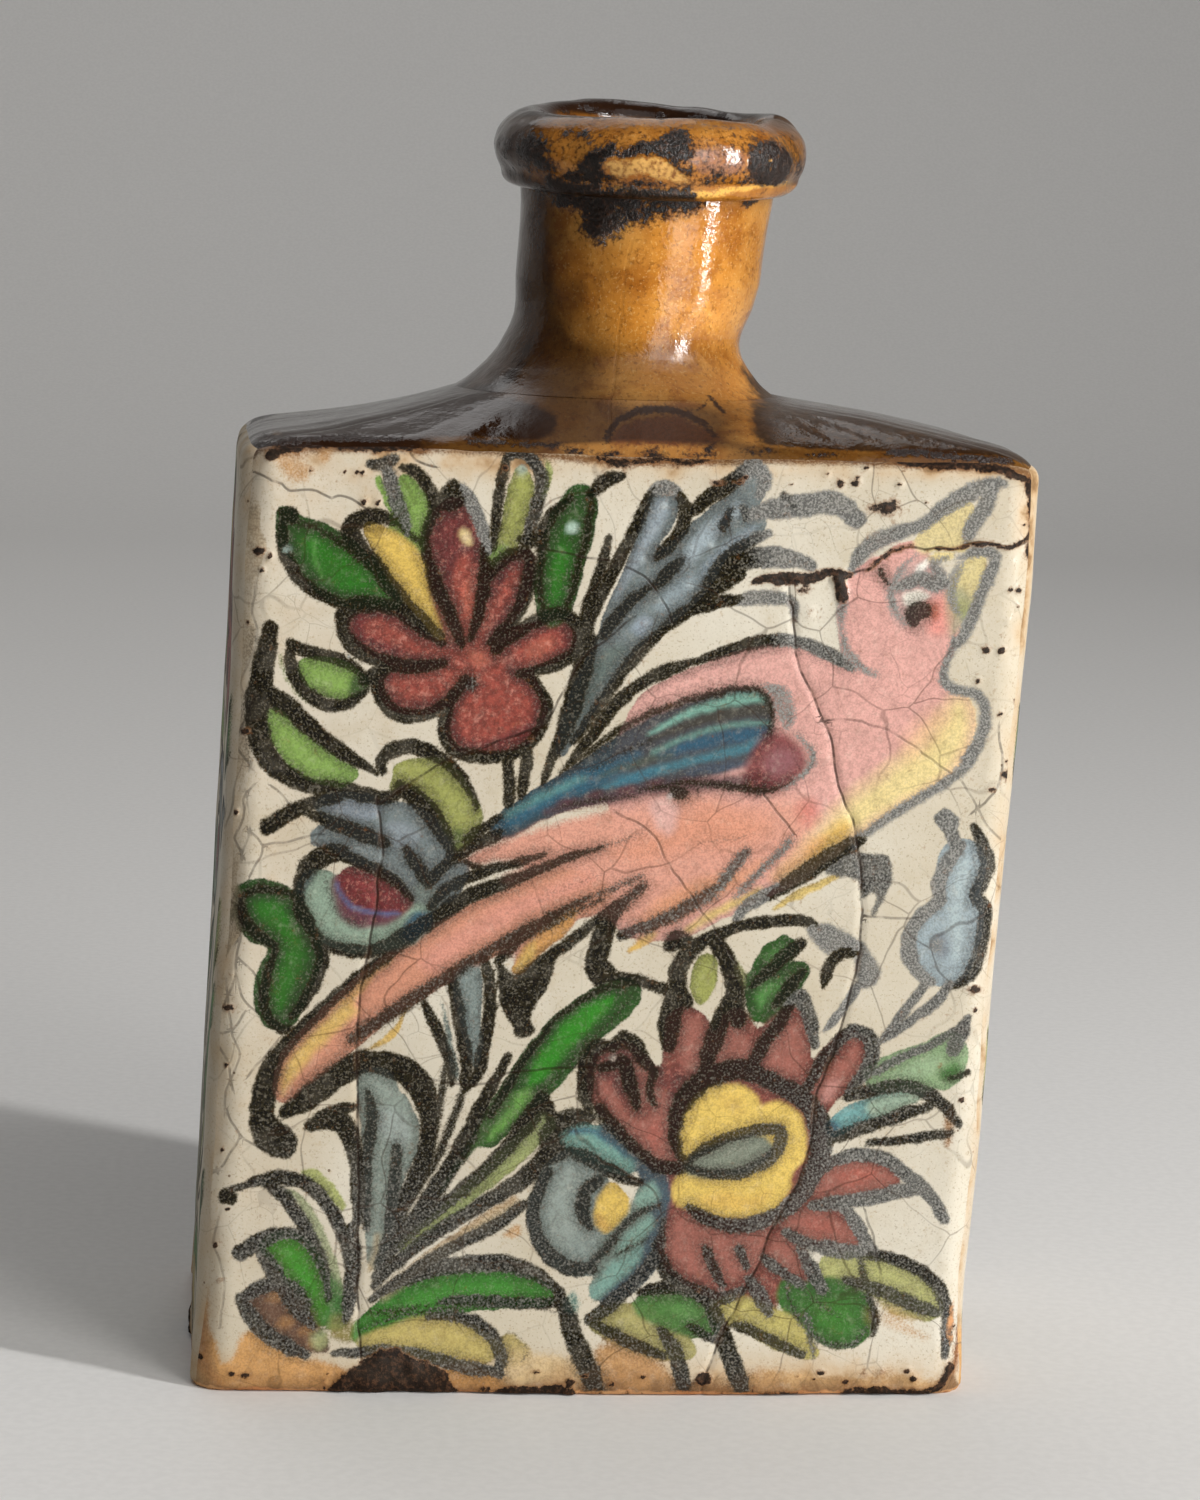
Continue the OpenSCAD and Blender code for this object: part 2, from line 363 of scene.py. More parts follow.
def draw_upper_left(P):
    f, b, k, bl = P.fill, P.band, P.k, P.blob
    f(GREEN, [(285, 512), (298, 522), (320, 529), (342, 541), (362, 556), (382, 569), (396, 582), (398, 594), (392, 605), (376, 607), (352, 602), (330, 595), (314, 580), (302, 562), (288, 548), (282, 530)])
    f(GREENB, [(302, 540), (318, 536), (340, 547), (364, 563), (384, 576), (393, 588), (387, 599), (365, 598), (342, 591), (326, 579), (314, 561)], 10, 0.85)
    b((110, 170, 84), [(313, 540), (316, 560), (323, 580)], 2, 4, 0.5)
    b(LGREEN, [(378, 478), (384, 492), (391, 506), (396, 518)], 8, 5, 0.9)
    f(LGREEN, [(404, 480), (414, 489), (423, 504), (426, 522), (421, 545), (408, 540), (397, 528), (399, 512), (405, 497)])
    f(YEL, [(368, 528), (385, 533), (400, 541), (413, 552), (421, 568), (429, 585), (438, 605), (446, 624), (451, 638), (440, 633), (425, 616), (412, 600), (400, 583), (388, 565), (377, 545)], 4, 0.97, 6)
    f(LGREEN, [(304, 666), (325, 663), (345, 669), (357, 679), (352, 691), (335, 692), (318, 686), (308, 676)])
    f(GREEN2, [(354, 675), (368, 675), (369, 690), (356, 698), (349, 690)], 6, 0.8)
    b((150, 168, 96), [(280, 654), (285, 675), (294, 690), (306, 701)], 6, 6, 0.6)
    f(LGREEN, [(274, 714), (286, 725), (300, 739), (318, 751), (336, 764), (352, 774), (340, 781), (315, 776), (295, 763), (282, 746), (274, 730)])
    # outlines
    k([(284, 512), (291, 513), (294, 519)], 13)
    k([(284, 516), (282, 535), (285, 553), (294, 572), (308, 587), (326, 598), (346, 605), (364, 607)], [12, 12, 12, 13, 13, 12, 10, 8])
    k([(292, 521), (312, 527), (332, 537), (350, 551), (366, 564), (386, 577), (396, 592), (392, 606)], [7, 6, 7, 9, 7, 6, 6, 5], None, 9, 0.8)
    k([(352, 546), (349, 532), (355, 522), (368, 517), (382, 517), (396, 523)], [14, 18, 18, 18, 16, 10])
    k([(352, 534), (364, 552), (380, 572), (396, 592), (411, 609), (427, 624), (443, 636)], [18, 17, 16, 16, 15, 13, 9])
    k([(397, 524), (412, 535), (424, 547), (433, 566), (441, 588), (449, 612), (455, 634)], [8, 7, 7, 9, 10, 9, 7], None, 9, 0.9)
    k([(371, 464), (382, 465), (394, 459)], 13, 0.3)
    k([(387, 468), (392, 486), (398, 504), (404, 522), (408, 534)], [14, 15, 15, 13, 8], 0.5)
    k([(401, 467), (414, 471), (426, 482), (433, 498), (436, 514)], [8, 13, 14, 14, 12])
    k([(270, 628), (266, 650), (262, 676), (258, 700), (256, 722)], [20, 21, 23, 26, 26])
    k([(256, 712), (260, 740), (272, 763), (292, 778), (315, 787), (334, 791)], [24, 23, 22, 20, 16, 10])
    k([(266, 694), (282, 703), (298, 716), (316, 733), (336, 748), (356, 761), (377, 774)], [24, 22, 19, 18, 16, 12, 6])
    k([(291, 644), (290, 660), (297, 680), (311, 696), (330, 705), (350, 703), (366, 691)], [12, 14, 15, 15, 14, 12, 7])
    k([(289, 643), (306, 651), (328, 656), (348, 663), (362, 674)], [10, 13, 13, 13, 10])
    k([(364, 680), (374, 676), (384, 670)], 15)
    P.over((205, 208, 200), (348, 656), 2.5)


def draw_red_flower(P):
    f, b, k, bl = P.fill, P.band, P.k, P.blob
    f(RED, [(350, 620), (370, 612), (400, 616), (415, 628), (432, 640), (446, 640), (440, 620), (432, 590), (428, 560), (428, 535), (438, 510), (455, 500), (470, 508), (480, 530), (486, 560), (500, 562), (520, 552), (532, 560), (528, 590), (517, 612), (502, 630), (525, 625), (550, 620), (570, 628), (575, 645), (560, 660), (532, 668), (540, 690), (545, 712), (535, 735), (515, 748), (480, 752), (455, 748), (447, 725), (452, 705), (430, 712), (400, 712), (382, 698), (380, 680), (395, 668), (375, 655), (355, 640)], grow=2)
    f((104, 40, 42), [(428, 530), (440, 506), (455, 498), (470, 510), (480, 535), (482, 560), (455, 570), (445, 600), (436, 575)], 9, 0.8)
    f((98, 34, 38), [(488, 575), (502, 558), (524, 549), (537, 556), (534, 580), (522, 606), (506, 628), (492, 640), (484, 620)], 9, 0.7)
    f((112, 40, 44), [(350, 622), (368, 610), (392, 616), (378, 632), (400, 652), (430, 660), (400, 664), (368, 650)], 10, 0.7)
    f((112, 40, 42), [(516, 720), (536, 706), (542, 722), (528, 742), (500, 750), (488, 744)], 10, 0.75)
    for q in ([(453, 578), (458, 562), (465, 554), (473, 562), (477, 582), (477, 606), (472, 627), (466, 640), (461, 626), (456, 604)],
              [(521, 571), (513, 590), (501, 612), (489, 630), (479, 642), (481, 626), (491, 605), (503, 585), (514, 570)],
              [(508, 656), (524, 643), (540, 633), (553, 630), (561, 640), (558, 653), (542, 660), (524, 665)],
              [(364, 626), (382, 620), (396, 628), (412, 638), (430, 647), (450, 652), (430, 656), (405, 649), (385, 641), (371, 635)],
              [(392, 681), (405, 673), (425, 670), (450, 668), (468, 668), (456, 685), (440, 695), (420, 700), (402, 698), (393, 690)],
              [(457, 716), (464, 701), (476, 692), (490, 681), (510, 678), (525, 690), (533, 705), (530, 719), (514, 729), (490, 738), (470, 738), (459, 730)],
              [(450, 655), (470, 645), (488, 648), (506, 660), (500, 678), (480, 684), (460, 672)]):
        f(REDB, q, 7, 0.92, 1)
    f((196, 104, 82), [(462, 585), (470, 578), (473, 600), (468, 620), (463, 608)], 6, 0.6)
    f((196, 106, 84), [(525, 650), (542, 638), (554, 638), (548, 652), (530, 658)], 6, 0.6)
    f((206, 120, 96), [(470, 650), (482, 652), (488, 662), (476, 668)], 7, 0.5)
    f(YELP, [(462, 528), (470, 533), (472, 545), (465, 543), (459, 536)], 5, 0.8, 0)
    # outlines
    bl([(434, 508), (438, 496), (445, 484), (453, 478), (461, 483), (467, 496), (462, 508), (450, 511)], 0.1)
    k([(461, 486), (471, 502), (479, 520), (485, 538), (489, 552)], [10, 13, 13, 11, 8], 0.75)
    k([(440, 500), (431, 518), (425, 538), (428, 560), (436, 584), (446, 606), (455, 626), (462, 644)], [12, 10, 9, 12, 15, 15, 14, 12])
    k([(484, 548), (485, 572), (482, 596), (477, 620), (470, 640)], [10, 12, 13, 12, 8])
    k([(489, 578), (496, 566), (508, 556), (520, 552), (530, 558)], [10, 14, 14, 13, 12])
    k([(530, 558), (530, 578), (524, 598), (514, 617), (502, 632), (490, 642)], [14, 15, 15, 14, 12, 10])
    k([(497, 648), (508, 638), (524, 627), (542, 618), (558, 613), (573, 620), (581, 636), (577, 652), (560, 663), (540, 669), (520, 674)], [18, 15, 14, 14, 14, 15, 15, 14, 13, 12, 12])
    k([(343, 634), (343, 618), (352, 607), (370, 604), (390, 607), (407, 617), (424, 632), (444, 644)], [16, 17, 17, 16, 14, 12, 11, 9])
    k([(343, 630), (350, 643), (366, 655), (384, 662), (410, 667), (445, 663)], [16, 16, 15, 15, 16, 9])
    k([(382, 668), (376, 684), (384, 702), (400, 715), (420, 716), (440, 708), (456, 698)], [14, 14, 15, 14, 13, 13, 12])
    k([(466, 680), (452, 698), (445, 716), (445, 736), (455, 751), (480, 757), (510, 755), (528, 746), (541, 728), (547, 708), (540, 688), (526, 674)], [14, 13, 13, 13, 13, 12, 12, 12, 12, 12, 12, 12])
    bl([(460, 684), (466, 676), (476, 677), (478, 686), (470, 692)], 0.3, 9, 0.8)
    P.over((222, 196, 160), (466, 537), 3)


def draw_top_leaves(P):
    f, b, k, bl = P.fill, P.band, P.k, P.blob
    f(OLIVE, [(521, 474), (528, 486), (525, 505), (518, 525), (511, 546), (502, 547), (507, 525), (512, 502), (516, 486)])
    f(LGREEN, [(488, 558), (494, 548), (508, 545), (502, 558), (493, 568)], 6, 0.85)
    f((176, 184, 112), [(545, 460), (553, 470), (550, 486), (545, 501), (541, 495), (545, 478)], 5, 0.85)
    f(GREEN, [(578, 490), (590, 500), (589, 524), (581, 554), (573, 585), (566, 608), (552, 620), (543, 608), (541, 582), (546, 555), (553, 530), (562, 508)])
    f(GREENB, [(548, 590), (550, 565), (559, 545), (571, 552), (567, 580), (560, 603), (551, 610)], 9, 0.85)
    # outlines
    k([(507, 458), (502, 480), (498, 505), (495, 530), (494, 550)], [12, 12, 11, 10, 7])
    k([(507, 458), (520, 453), (533, 460), (541, 475), (540, 495), (533, 518), (526, 540)], [11, 12, 13, 14, 14, 13, 10], 0.3)
    k([(521, 539), (533, 541), (545, 526), (556, 510), (572, 497)], [12, 16, 14, 10, 8])
    k([(548, 522), (542, 548), (540, 575), (541, 600), (549, 616)], [12, 11, 9, 8, 7], None, 9, 0.85)
    k([(588, 498), (598, 487), (610, 479), (621, 475)], [10, 15, 15, 12])
    k([(592, 502), (588, 530), (580, 562), (572, 592), (566, 612)], [9, 9, 9, 9, 7], None, 9, 0.85)
    k([(609, 538), (603, 560), (596, 585), (587, 610), (581, 634)], [10, 12, 12, 11, 10])
    k([(508, 756), (509, 780), (509, 804)], 12)
    k([(529, 748), (526, 770), (521, 796)], 11)
    k([(556, 742), (550, 764), (543, 784)], [10, 9, 7])
    P.over((168, 186, 178), (522, 470), 4, 9)


def draw_spray(P):
    f, b, k, bl = P.fill, P.band, P.k, P.blob
    f(GREYB, [(655, 492), (664, 487), (674, 495), (678, 510), (670, 527), (658, 545), (668, 548), (690, 528), (710, 510), (735, 492), (752, 476), (764, 470), (768, 478), (764, 494), (757, 508), (765, 525), (750, 545), (728, 556), (718, 570), (708, 585), (696, 600), (682, 614), (662, 626), (645, 640), (630, 655), (618, 672), (605, 690), (592, 712), (578, 735), (562, 755), (558, 745), (566, 715), (574, 690), (585, 665), (598, 640), (606, 615), (617, 590), (630, 560), (640, 530), (648, 508)], grow=2)
    f((150, 162, 170), [(655, 503), (664, 498), (669, 512), (658, 534), (643, 557), (628, 580), (616, 600), (622, 578), (636, 550), (646, 525)], 8, 0.75)
    f((166, 180, 186), [(700, 530), (720, 514), (736, 503), (745, 508), (728, 524), (712, 542), (694, 560), (680, 572), (685, 552)], 8, 0.75)
    f((158, 174, 184), [(720, 548), (742, 532), (756, 526), (750, 538), (732, 548), (712, 566), (700, 580), (704, 566)], 7, 0.7)
    f((150, 166, 172), [(668, 588), (690, 572), (700, 580), (684, 600), (662, 614), (655, 606)], 8, 0.6)
    f((152, 166, 178), [(632, 628), (645, 616), (652, 624), (642, 636)], 6, 0.7)
    f((88, 104, 98), [(572, 690), (590, 664), (612, 645), (628, 648), (612, 672), (596, 696), (580, 724), (562, 748), (560, 730)], 10, 0.75)
    # outlines
    k([(653, 488), (644, 508), (632, 534), (620, 558), (609, 580), (599, 602), (590, 624), (584, 646)], [10, 13, 13, 14, 13, 13, 12, 10])
    k([(653, 490), (664, 486), (676, 491)], 14, 0.75)
    k([(677, 492), (685, 506), (685, 522), (676, 537), (665, 549), (657, 558)], [10, 13, 14, 13, 12, 9])
    k([(688, 516), (703, 502), (719, 491), (735, 480), (748, 469), (757, 464)], [12, 15, 17, 17, 17, 14])
    k([(757, 466), (765, 478), (760, 494)], [14, 16, 14], 0.9, 9, 0.85)
    k([(731, 511), (722, 528)], 11)
    k([(742, 508), (746, 518)], 10, 0.4)
    k([(748, 516), (772, 509), (800, 506), (828, 502), (848, 509)], [14, 20, 24, 24, 26], 0.85, 9, 0.9)
    k([(845, 510), (857, 519)], 24, 0.9, 9, 0.9)
    k([(784, 494), (790, 504), (797, 510)], [9, 12, 12], 0.5)
    k([(770, 533), (752, 541), (738, 549), (724, 561), (712, 574)], [9, 12, 13, 14, 12])
    k([(708, 582), (724, 568), (745, 560), (772, 557), (796, 560), (812, 566)], [14, 18, 20, 21, 20, 14])
    k([(696, 602), (710, 592), (726, 583), (742, 574)], 13)
    k([(664, 628), (684, 613), (706, 605), (730, 600), (742, 598)], [14, 14, 14, 13, 10])
    k([(738, 600), (760, 598), (782, 598), (793, 604), (795, 620)], [14, 16, 16, 12, 7], 0.8, 9, 0.9)
    k([(680, 562), (667, 574), (655, 586)], [13, 14, 10])
    k([(648, 588), (632, 600), (617, 616), (603, 636)], [8, 12, 13, 12])
    k([(592, 640), (584, 664), (577, 690), (570, 714), (562, 738), (555, 758)], [16, 20, 22, 20, 16, 9])
    k([(664, 630), (646, 645), (629, 664), (614, 684), (600, 704), (586, 724), (574, 742)], [12, 13, 13, 12, 12, 11, 9])
    for q in ((664, 505), (712, 545), (690, 585), (642, 560), (735, 515)):
        P.over((186, 198, 200), q, 2, 6)


def draw_bird(P):
    f, b, k, bl = P.fill, P.band, P.k, P.blob
    f(PINK, [(640, 700), (670, 680), (710, 664), (740, 653), (770, 647), (795, 647), (815, 655), (832, 665), (848, 668), (843, 645), (840, 615), (846, 590), (856, 573), (870, 562), (888, 556), (902, 545), (918, 547), (928, 560), (938, 580), (948, 592), (955, 608), (958, 628), (953, 648), (945, 662), (942, 680), (950, 694), (966, 700), (973, 718), (970, 740), (960, 762), (944, 780), (920, 796), (890, 814), (860, 833), (838, 850), (815, 865), (795, 882), (770, 893), (745, 905), (715, 920), (690, 932), (660, 938), (635, 935), (615, 920), (610, 880), (620, 830), (610, 790), (620, 740)], grow=3)
    f((212, 150, 128), [(690, 790), (740, 800), (800, 800), (812, 830), (790, 862), (750, 890), (700, 915), (670, 932), (640, 935), (615, 922), (590, 915), (565, 925), (540, 945), (515, 958), (490, 945), (460, 960), (440, 965), (450, 935), (480, 915), (520, 895), (500, 880), (520, 865), (500, 862), (475, 866), (464, 858), (485, 845), (520, 835), (560, 822), (600, 812), (650, 800)], 22, 0.9, 0)
    f(PINKL, [(560, 878), (600, 890), (590, 905), (560, 915), (520, 935), (480, 955), (440, 978), (410, 997), (380, 1017), (350, 1042), (320, 1066), (295, 1084), (283, 1094), (283, 1076), (292, 1053), (312, 1031), (335, 1009), (360, 985), (390, 962), (420, 943), (450, 925), (480, 910), (520, 893)], grow=9)
    f((214, 146, 128), [(420, 960), (455, 932), (500, 906), (545, 888), (590, 872), (600, 882), (560, 900), (515, 922), (470, 948), (435, 972)], 12, 0.7)
    f((214, 140, 104), [(700, 806), (740, 812), (770, 826), (740, 846), (690, 850), (640, 862), (610, 850), (650, 832)], 22, 0.5)
    f((214, 146, 92), [(640, 925), (660, 900), (700, 880), (740, 872), (760, 862), (740, 885), (700, 905), (668, 920)], 14, 0.5)
    f((206, 104, 92), [(798, 806), (812, 800), (820, 812), (810, 826), (800, 820)], 12, 0.55)
    f(YELP, [(955, 698), (968, 702), (973, 718), (970, 740), (960, 762), (944, 780), (920, 796), (890, 814), (860, 833), (838, 850), (815, 866), (795, 880), (780, 878), (800, 855), (815, 835), (835, 812), (860, 790), (890, 766), (920, 742), (940, 718)], 24)
    f((216, 168, 72), [(806, 858), (820, 838), (838, 822), (852, 826), (848, 840), (828, 852), (812, 864)], 12, 0.8)
    f((214, 146, 92), [(770, 880), (792, 858), (812, 840), (826, 838), (812, 858), (790, 876)], 12, 0.6)
    f((222, 176, 130), [(905, 738), (932, 710), (950, 714), (935, 742), (910, 760)], 20, 0.45)
    f(YELT, [(345, 1003), (358, 1010), (340, 1028), (320, 1048), (305, 1064), (290, 1083), (282, 1094), (283, 1075), (292, 1055), (310, 1035), (328, 1018)], 9, 0.95, 0)
    b((204, 164, 88), [(390, 960), (372, 974), (358, 990), (346, 1004)], [3, 5, 8, 10], 7, 0.7)
    f(YELT, [(362, 1052), (380, 1040), (398, 1020), (408, 1005), (400, 1030), (385, 1045)], 5, 0.8)
    b((206, 168, 90), [(630, 951), (643, 942), (653, 935)], [6, 9, 6], 6, 0.85)
    b((208, 182, 104), [(688, 930), (712, 915), (736, 903), (760, 891)], [6, 9, 9, 6], 6, 0.8)
    b((214, 186, 112), [(774, 908), (800, 894), (825, 882), (838, 876)], [5, 9, 9, 6], 6, 0.85)
    f((206, 150, 84), [(513, 972), (524, 950), (544, 930), (566, 914), (577, 910), (571, 926), (556, 941), (536, 958), (521, 973)], 6, 0.95, 1)
    f((214, 178, 96), [(514, 970), (524, 952), (536, 942), (534, 956), (522, 970)], 6, 0.8)
    # crest
    f((207, 190, 138), [(968, 508), (966, 526), (963, 545), (945, 543), (930, 546), (921, 545), (930, 530), (942, 516), (955, 510)])
    f((204, 188, 134), [(980, 560), (976, 580), (970, 602), (962, 600), (956, 590), (962, 574), (970, 563)])
    f((152, 155, 124), [(947, 590), (957, 587), (968, 594), (973, 604), (967, 618), (959, 630), (951, 637), (946, 622), (944, 605)], 8, 0.72, 0)
    f(YELP, [(924, 561), (935, 554), (950, 552), (956, 558), (945, 562), (932, 563)], 4, 0.7)
    f(OLIVE, [(950, 605), (960, 600), (972, 605), (965, 618), (955, 616)], 7, 0.4)
    f(PINK, [(865, 545), (885, 535), (905, 528), (900, 540), (880, 550), (868, 558)], 6, 0.6)
    # eye
    f((188, 164, 158), [(893, 618), (886, 598), (890, 578), (904, 566), (922, 560), (942, 564), (950, 578), (938, 594), (922, 602), (910, 622), (900, 626)], 9, 0.55, 0)
    f((226, 130, 116), [(930, 600), (944, 596), (950, 612), (944, 634), (930, 632), (926, 616)], 12, 0.55, 0)
    f((236, 230, 214), [(903, 596), (908, 591), (925, 592), (928, 598), (917, 602), (909, 606), (904, 604)], 4, 0.97, 0)
    f((236, 232, 220), [(914, 577), (918, 567), (926, 559), (929, 562), (924, 571), (919, 579)], 4, 0.97, 0)
    f(REDO, [(929, 604), (937, 604), (940, 614), (934, 620), (928, 616)], 6, 0.7)
    # wing
    f(DBLUE, [(490, 830), (500, 815), (520, 800), (545, 785), (570, 768), (600, 748), (630, 728), (660, 713), (690, 702), (715, 694), (740, 689), (760, 692), (770, 705), (773, 722), (768, 740), (755, 755), (735, 768), (700, 778), (660, 786), (620, 796), (580, 805), (545, 818), (515, 834), (500, 838)], grow=1)
    f((28, 92, 116), [(492, 826), (506, 812), (530, 796), (560, 780), (600, 764), (640, 752), (625, 772), (590, 790), (550, 806), (520, 824), (502, 834)], 10, 0.75)
    b((96, 146, 138), [(505, 816), (530, 803), (556, 790), (584, 778)], [5, 8, 8, 5], 7, 0.65)
    b((120, 170, 152), [(650, 734), (666, 725), (690, 713), (720, 704), (745, 698), (764, 700)], [3, 7, 9, 11, 12, 9], 5, 0.9)
    b((54, 52, 44), [(650, 741), (690, 724), (730, 713), (768, 709)], [5, 9, 13, 13], 6, 0.85)
    b((98, 142, 130), [(652, 753), (680, 740), (710, 731), (740, 725), (768, 723)], [4, 5, 6, 6, 5], 5, 0.85)
    b((28, 84, 110), [(660, 756), (700, 743), (740, 736), (764, 732)], [6, 11, 13, 12], 7, 0.85)
    b((64, 74, 60), [(600, 776), (640, 762), (672, 754)], [5, 8, 6], 7, 0.7)
    b((56, 116, 130), [(604, 788), (640, 775), (680, 764), (712, 756), (745, 748), (760, 739)], [5, 8, 9, 9, 9, 7], 6, 0.85)
    b((46, 102, 122), [(622, 782), (652, 773)], [8, 8], 6, 0.7)
    b((84, 54, 64), [(545, 812), (580, 804), (620, 796), (660, 788), (700, 785), (740, 782), (764, 784)], [4, 9, 12, 13, 14, 14, 10], 8, 0.85)
    for q in ((566, 802), (594, 794), (626, 790), (655, 782), (690, 780)):
        f((104, 36, 44), [(q[0] - 9, q[1] + 2), (q[0], q[1] - 3), (q[0] + 10, q[1] - 3), (q[0] + 2, q[1] + 4)], 6, 0.5, 0)
    b((52, 72, 92), [(690, 772), (720, 768), (746, 764)], 8, 7, 0.7)
    f((116, 44, 50), [(752, 754), (762, 736), (778, 731), (794, 740), (806, 756), (802, 774), (784, 786), (758, 790), (744, 776)], 10, 0.9, 0)
    f((140, 92, 98), [(764, 764), (776, 748), (792, 750), (798, 762), (788, 774), (772, 776)], 12, 0.6, 0)
    f((92, 22, 30), [(740, 786), (756, 772), (776, 780), (786, 786), (772, 793), (750, 795)], 9, 0.8, 0)
    f((216, 178, 172), [(650, 802), (664, 797), (677, 803), (678, 818), (671, 834), (663, 834), (653, 818)], 9, 0.6, 0)
    P.dot((236, 230, 224), (671, 796), 3, 4)
    k([(852, 570), (858, 558), (868, 547), (885, 537), (902, 531), (918, 527), (931, 518), (945, 508), (960, 498), (975, 490), (990, 485), (1003, 483)], [13, 17, 18, 18, 17, 15, 15, 17, 19, 20, 18, 13], 1.0, 9, 0.82)
    k([(994, 490), (986, 504), (978, 518), (970, 532), (966, 542)], [14, 19, 19, 17, 12], 1.0, 9, 0.78)
    k([(958, 558), (974, 552), (990, 552), (1000, 556)], [8, 12, 13, 9], 1.0, 9, 0.75)
    k([(998, 556), (990, 574), (983, 590), (977, 605), (971, 620), (964, 635), (956, 648)], [12, 16, 15, 14, 15, 15, 13], 1.0, 9, 0.75)
    k([(963, 559), (956, 573), (951, 589), (954, 605), (960, 616)], [13, 15, 15, 12, 8], 1.0, 8, 0.55)
    k([(838, 602), (840, 622), (846, 645), (856, 663), (868, 671), (879, 672)], [10, 12, 13, 13, 12, 7], 1.0, 9, 0.52)
    k([(899, 588), (910, 582), (922, 579), (934, 584), (946, 584)], [10, 15, 18, 17, 12], 0.75, 8, 0.85)
    k([(946, 582), (938, 572), (932, 562)], [13, 15, 10], 0.95, 8, 0.7)
    k([(915, 555), (904, 566), (896, 580), (891, 596), (895, 612), (904, 624)], [8, 11, 12, 13, 13, 9], 1.0, 10, 0.6)
    k([(928, 569), (940, 561), (951, 557)], [8, 10, 7], 0.95, 8, 0.6)
    bl([(907, 607), (914, 601), (925, 602), (931, 609), (928, 618), (921, 619), (917, 627), (911, 627), (907, 620), (905, 613)], 0.0, 5)
    k([(955, 638), (950, 653), (944, 667), (944, 680), (951, 688), (966, 692), (979, 696), (986, 711), (984, 730), (976, 748), (966, 765), (956, 775), (936, 789), (910, 804), (885, 820), (862, 836)], [8, 12, 13, 13, 13, 14, 15, 15, 15, 14, 13, 12, 12, 12, 12, 12], 0.98, 9, 0.78)
    # wing ink
    k([(560, 772), (590, 751), (620, 729), (650, 713), (680, 702), (715, 693), (742, 688), (760, 691), (769, 702), (773, 718), (768, 735)], [7, 9, 10, 9, 8, 8, 9, 9, 8, 8, 6], 0.05, 9, 0.8)
    k([(590, 770), (625, 752), (652, 742)], [6, 8, 6], 0.05, 10, 0.55)
    k([(640, 790), (690, 783), (740, 788), (770, 790), (792, 782)], [6, 8, 9, 9, 6], 0.05, 9, 0.75)
    k([(560, 808), (600, 800), (640, 796)], [5, 7, 6], 0.05, 9, 0.6)
    bl([(762, 684), (778, 682), (791, 690), (797, 704), (795, 726), (784, 733), (776, 716), (769, 698)], 0.98, 10, 0.6)
    k([(796, 734), (810, 748), (812, 762), (801, 777), (782, 789)], [7, 9, 9, 9, 6], 0.75, 10, 0.7)
    bl([(672, 792), (680, 788), (688, 792), (686, 799), (676, 799)], 0.0, 5)
    k([(694, 780), (698, 793)], 5, 0.0, 6, 0.8)
    # outlines
    k([(568, 764), (582, 748), (598, 728), (613, 707), (630, 691), (650, 678), (674, 668), (692, 662)], [8, 11, 13, 13, 13, 13, 13, 12])
    k([(694, 662), (720, 653), (745, 645), (770, 640), (794, 640)], [9, 12, 13, 13, 13])
    k([(790, 640), (810, 646), (826, 653), (838, 658), (851, 669)], [12, 13, 14, 14, 9], 0.6)
    k([(846, 596), (841, 616), (843, 638), (851, 656), (864, 670), (878, 676)], [10, 12, 12, 12, 12, 9], 1.0, 10, 0.62)
    k([(880, 570), (888, 584)], 7, 0.1)
    k([(465, 840), (481, 829), (500, 816)], [8, 10, 8])
    k([(452, 862), (466, 850), (484, 839), (502, 831)], [12, 13, 11, 8])
    k([(466, 861), (480, 868), (502, 866), (526, 860), (546, 853)], [7, 9, 9, 8, 5])
    k([(430, 906), (445, 890), (466, 879), (492, 870), (520, 862), (545, 855)], [11, 12, 12, 10, 8, 5])
    k([(398, 948), (414, 934), (432, 920), (455, 904), (485, 890), (517, 879), (548, 866), (578, 855), (602, 847)], [13, 15, 17, 17, 14, 11, 9, 7, 5])
    k([(600, 847), (625, 840), (645, 831)], 8, 0.4, 10, 0.5)
    k([(274, 1062), (286, 1044), (302, 1028), (328, 1004), (356, 979), (384, 958), (404, 944)], [19, 15, 13, 12, 12, 13, 13])
    k([(352, 1040), (380, 1021), (410, 1001), (440, 981), (470, 962), (500, 945), (530, 928), (560, 913), (590, 897)], [16, 15, 14, 13, 13, 12, 12, 11, 8], 0.2, 12, 0.9)
    for q, w, t, a in (([(520, 940), (545, 928), (572, 914), (602, 899)], 10, .2, .7), ([(590, 897), (618, 886), (642, 876)], 10, .3, .6), ([(612, 918), (625, 902), (642, 886)], 14, .2, .8), ([(640, 930), (668, 917), (692, 905), (716, 889)], 15, .35, .8),
                       ([(700, 905), (718, 888), (735, 866), (746, 852)], 13, .45, .75), ([(736, 896), (752, 880), (772, 860), (792, 840)], 11, .6, .7), ([(690, 905), (664, 921), (642, 932)], 13, .2, .8), ([(700, 843), (745, 836)], 7, .4, .45),
                       ([(600, 870), (630, 858), (655, 850)], 6, .5, .35), ([(540, 900), (575, 884), (600, 874)], 7, .4, .4), ([(674, 790), (684, 795)], 12, .1, 1)):
        k(q, w, t, 11, a)
    k([(499, 962), (511, 946), (530, 930), (552, 917), (572, 906)], [12, 14, 13, 11, 7])
    k([(520, 976), (544, 961), (566, 945), (590, 925), (607, 911)], [12, 13, 12, 11, 8])
    bl([(498, 958), (514, 976), (540, 966), (556, 950), (549, 984), (537, 1004), (531, 1020), (536, 1031), (520, 1039), (510, 1022), (500, 1002)])
    k([(616, 906), (606, 924), (600, 946), (595, 966), (600, 981)], [16, 20, 22, 22, 18])
    k([(602, 962), (612, 970)], 12)
    k([(622, 936), (642, 926)], 14, 0.3)
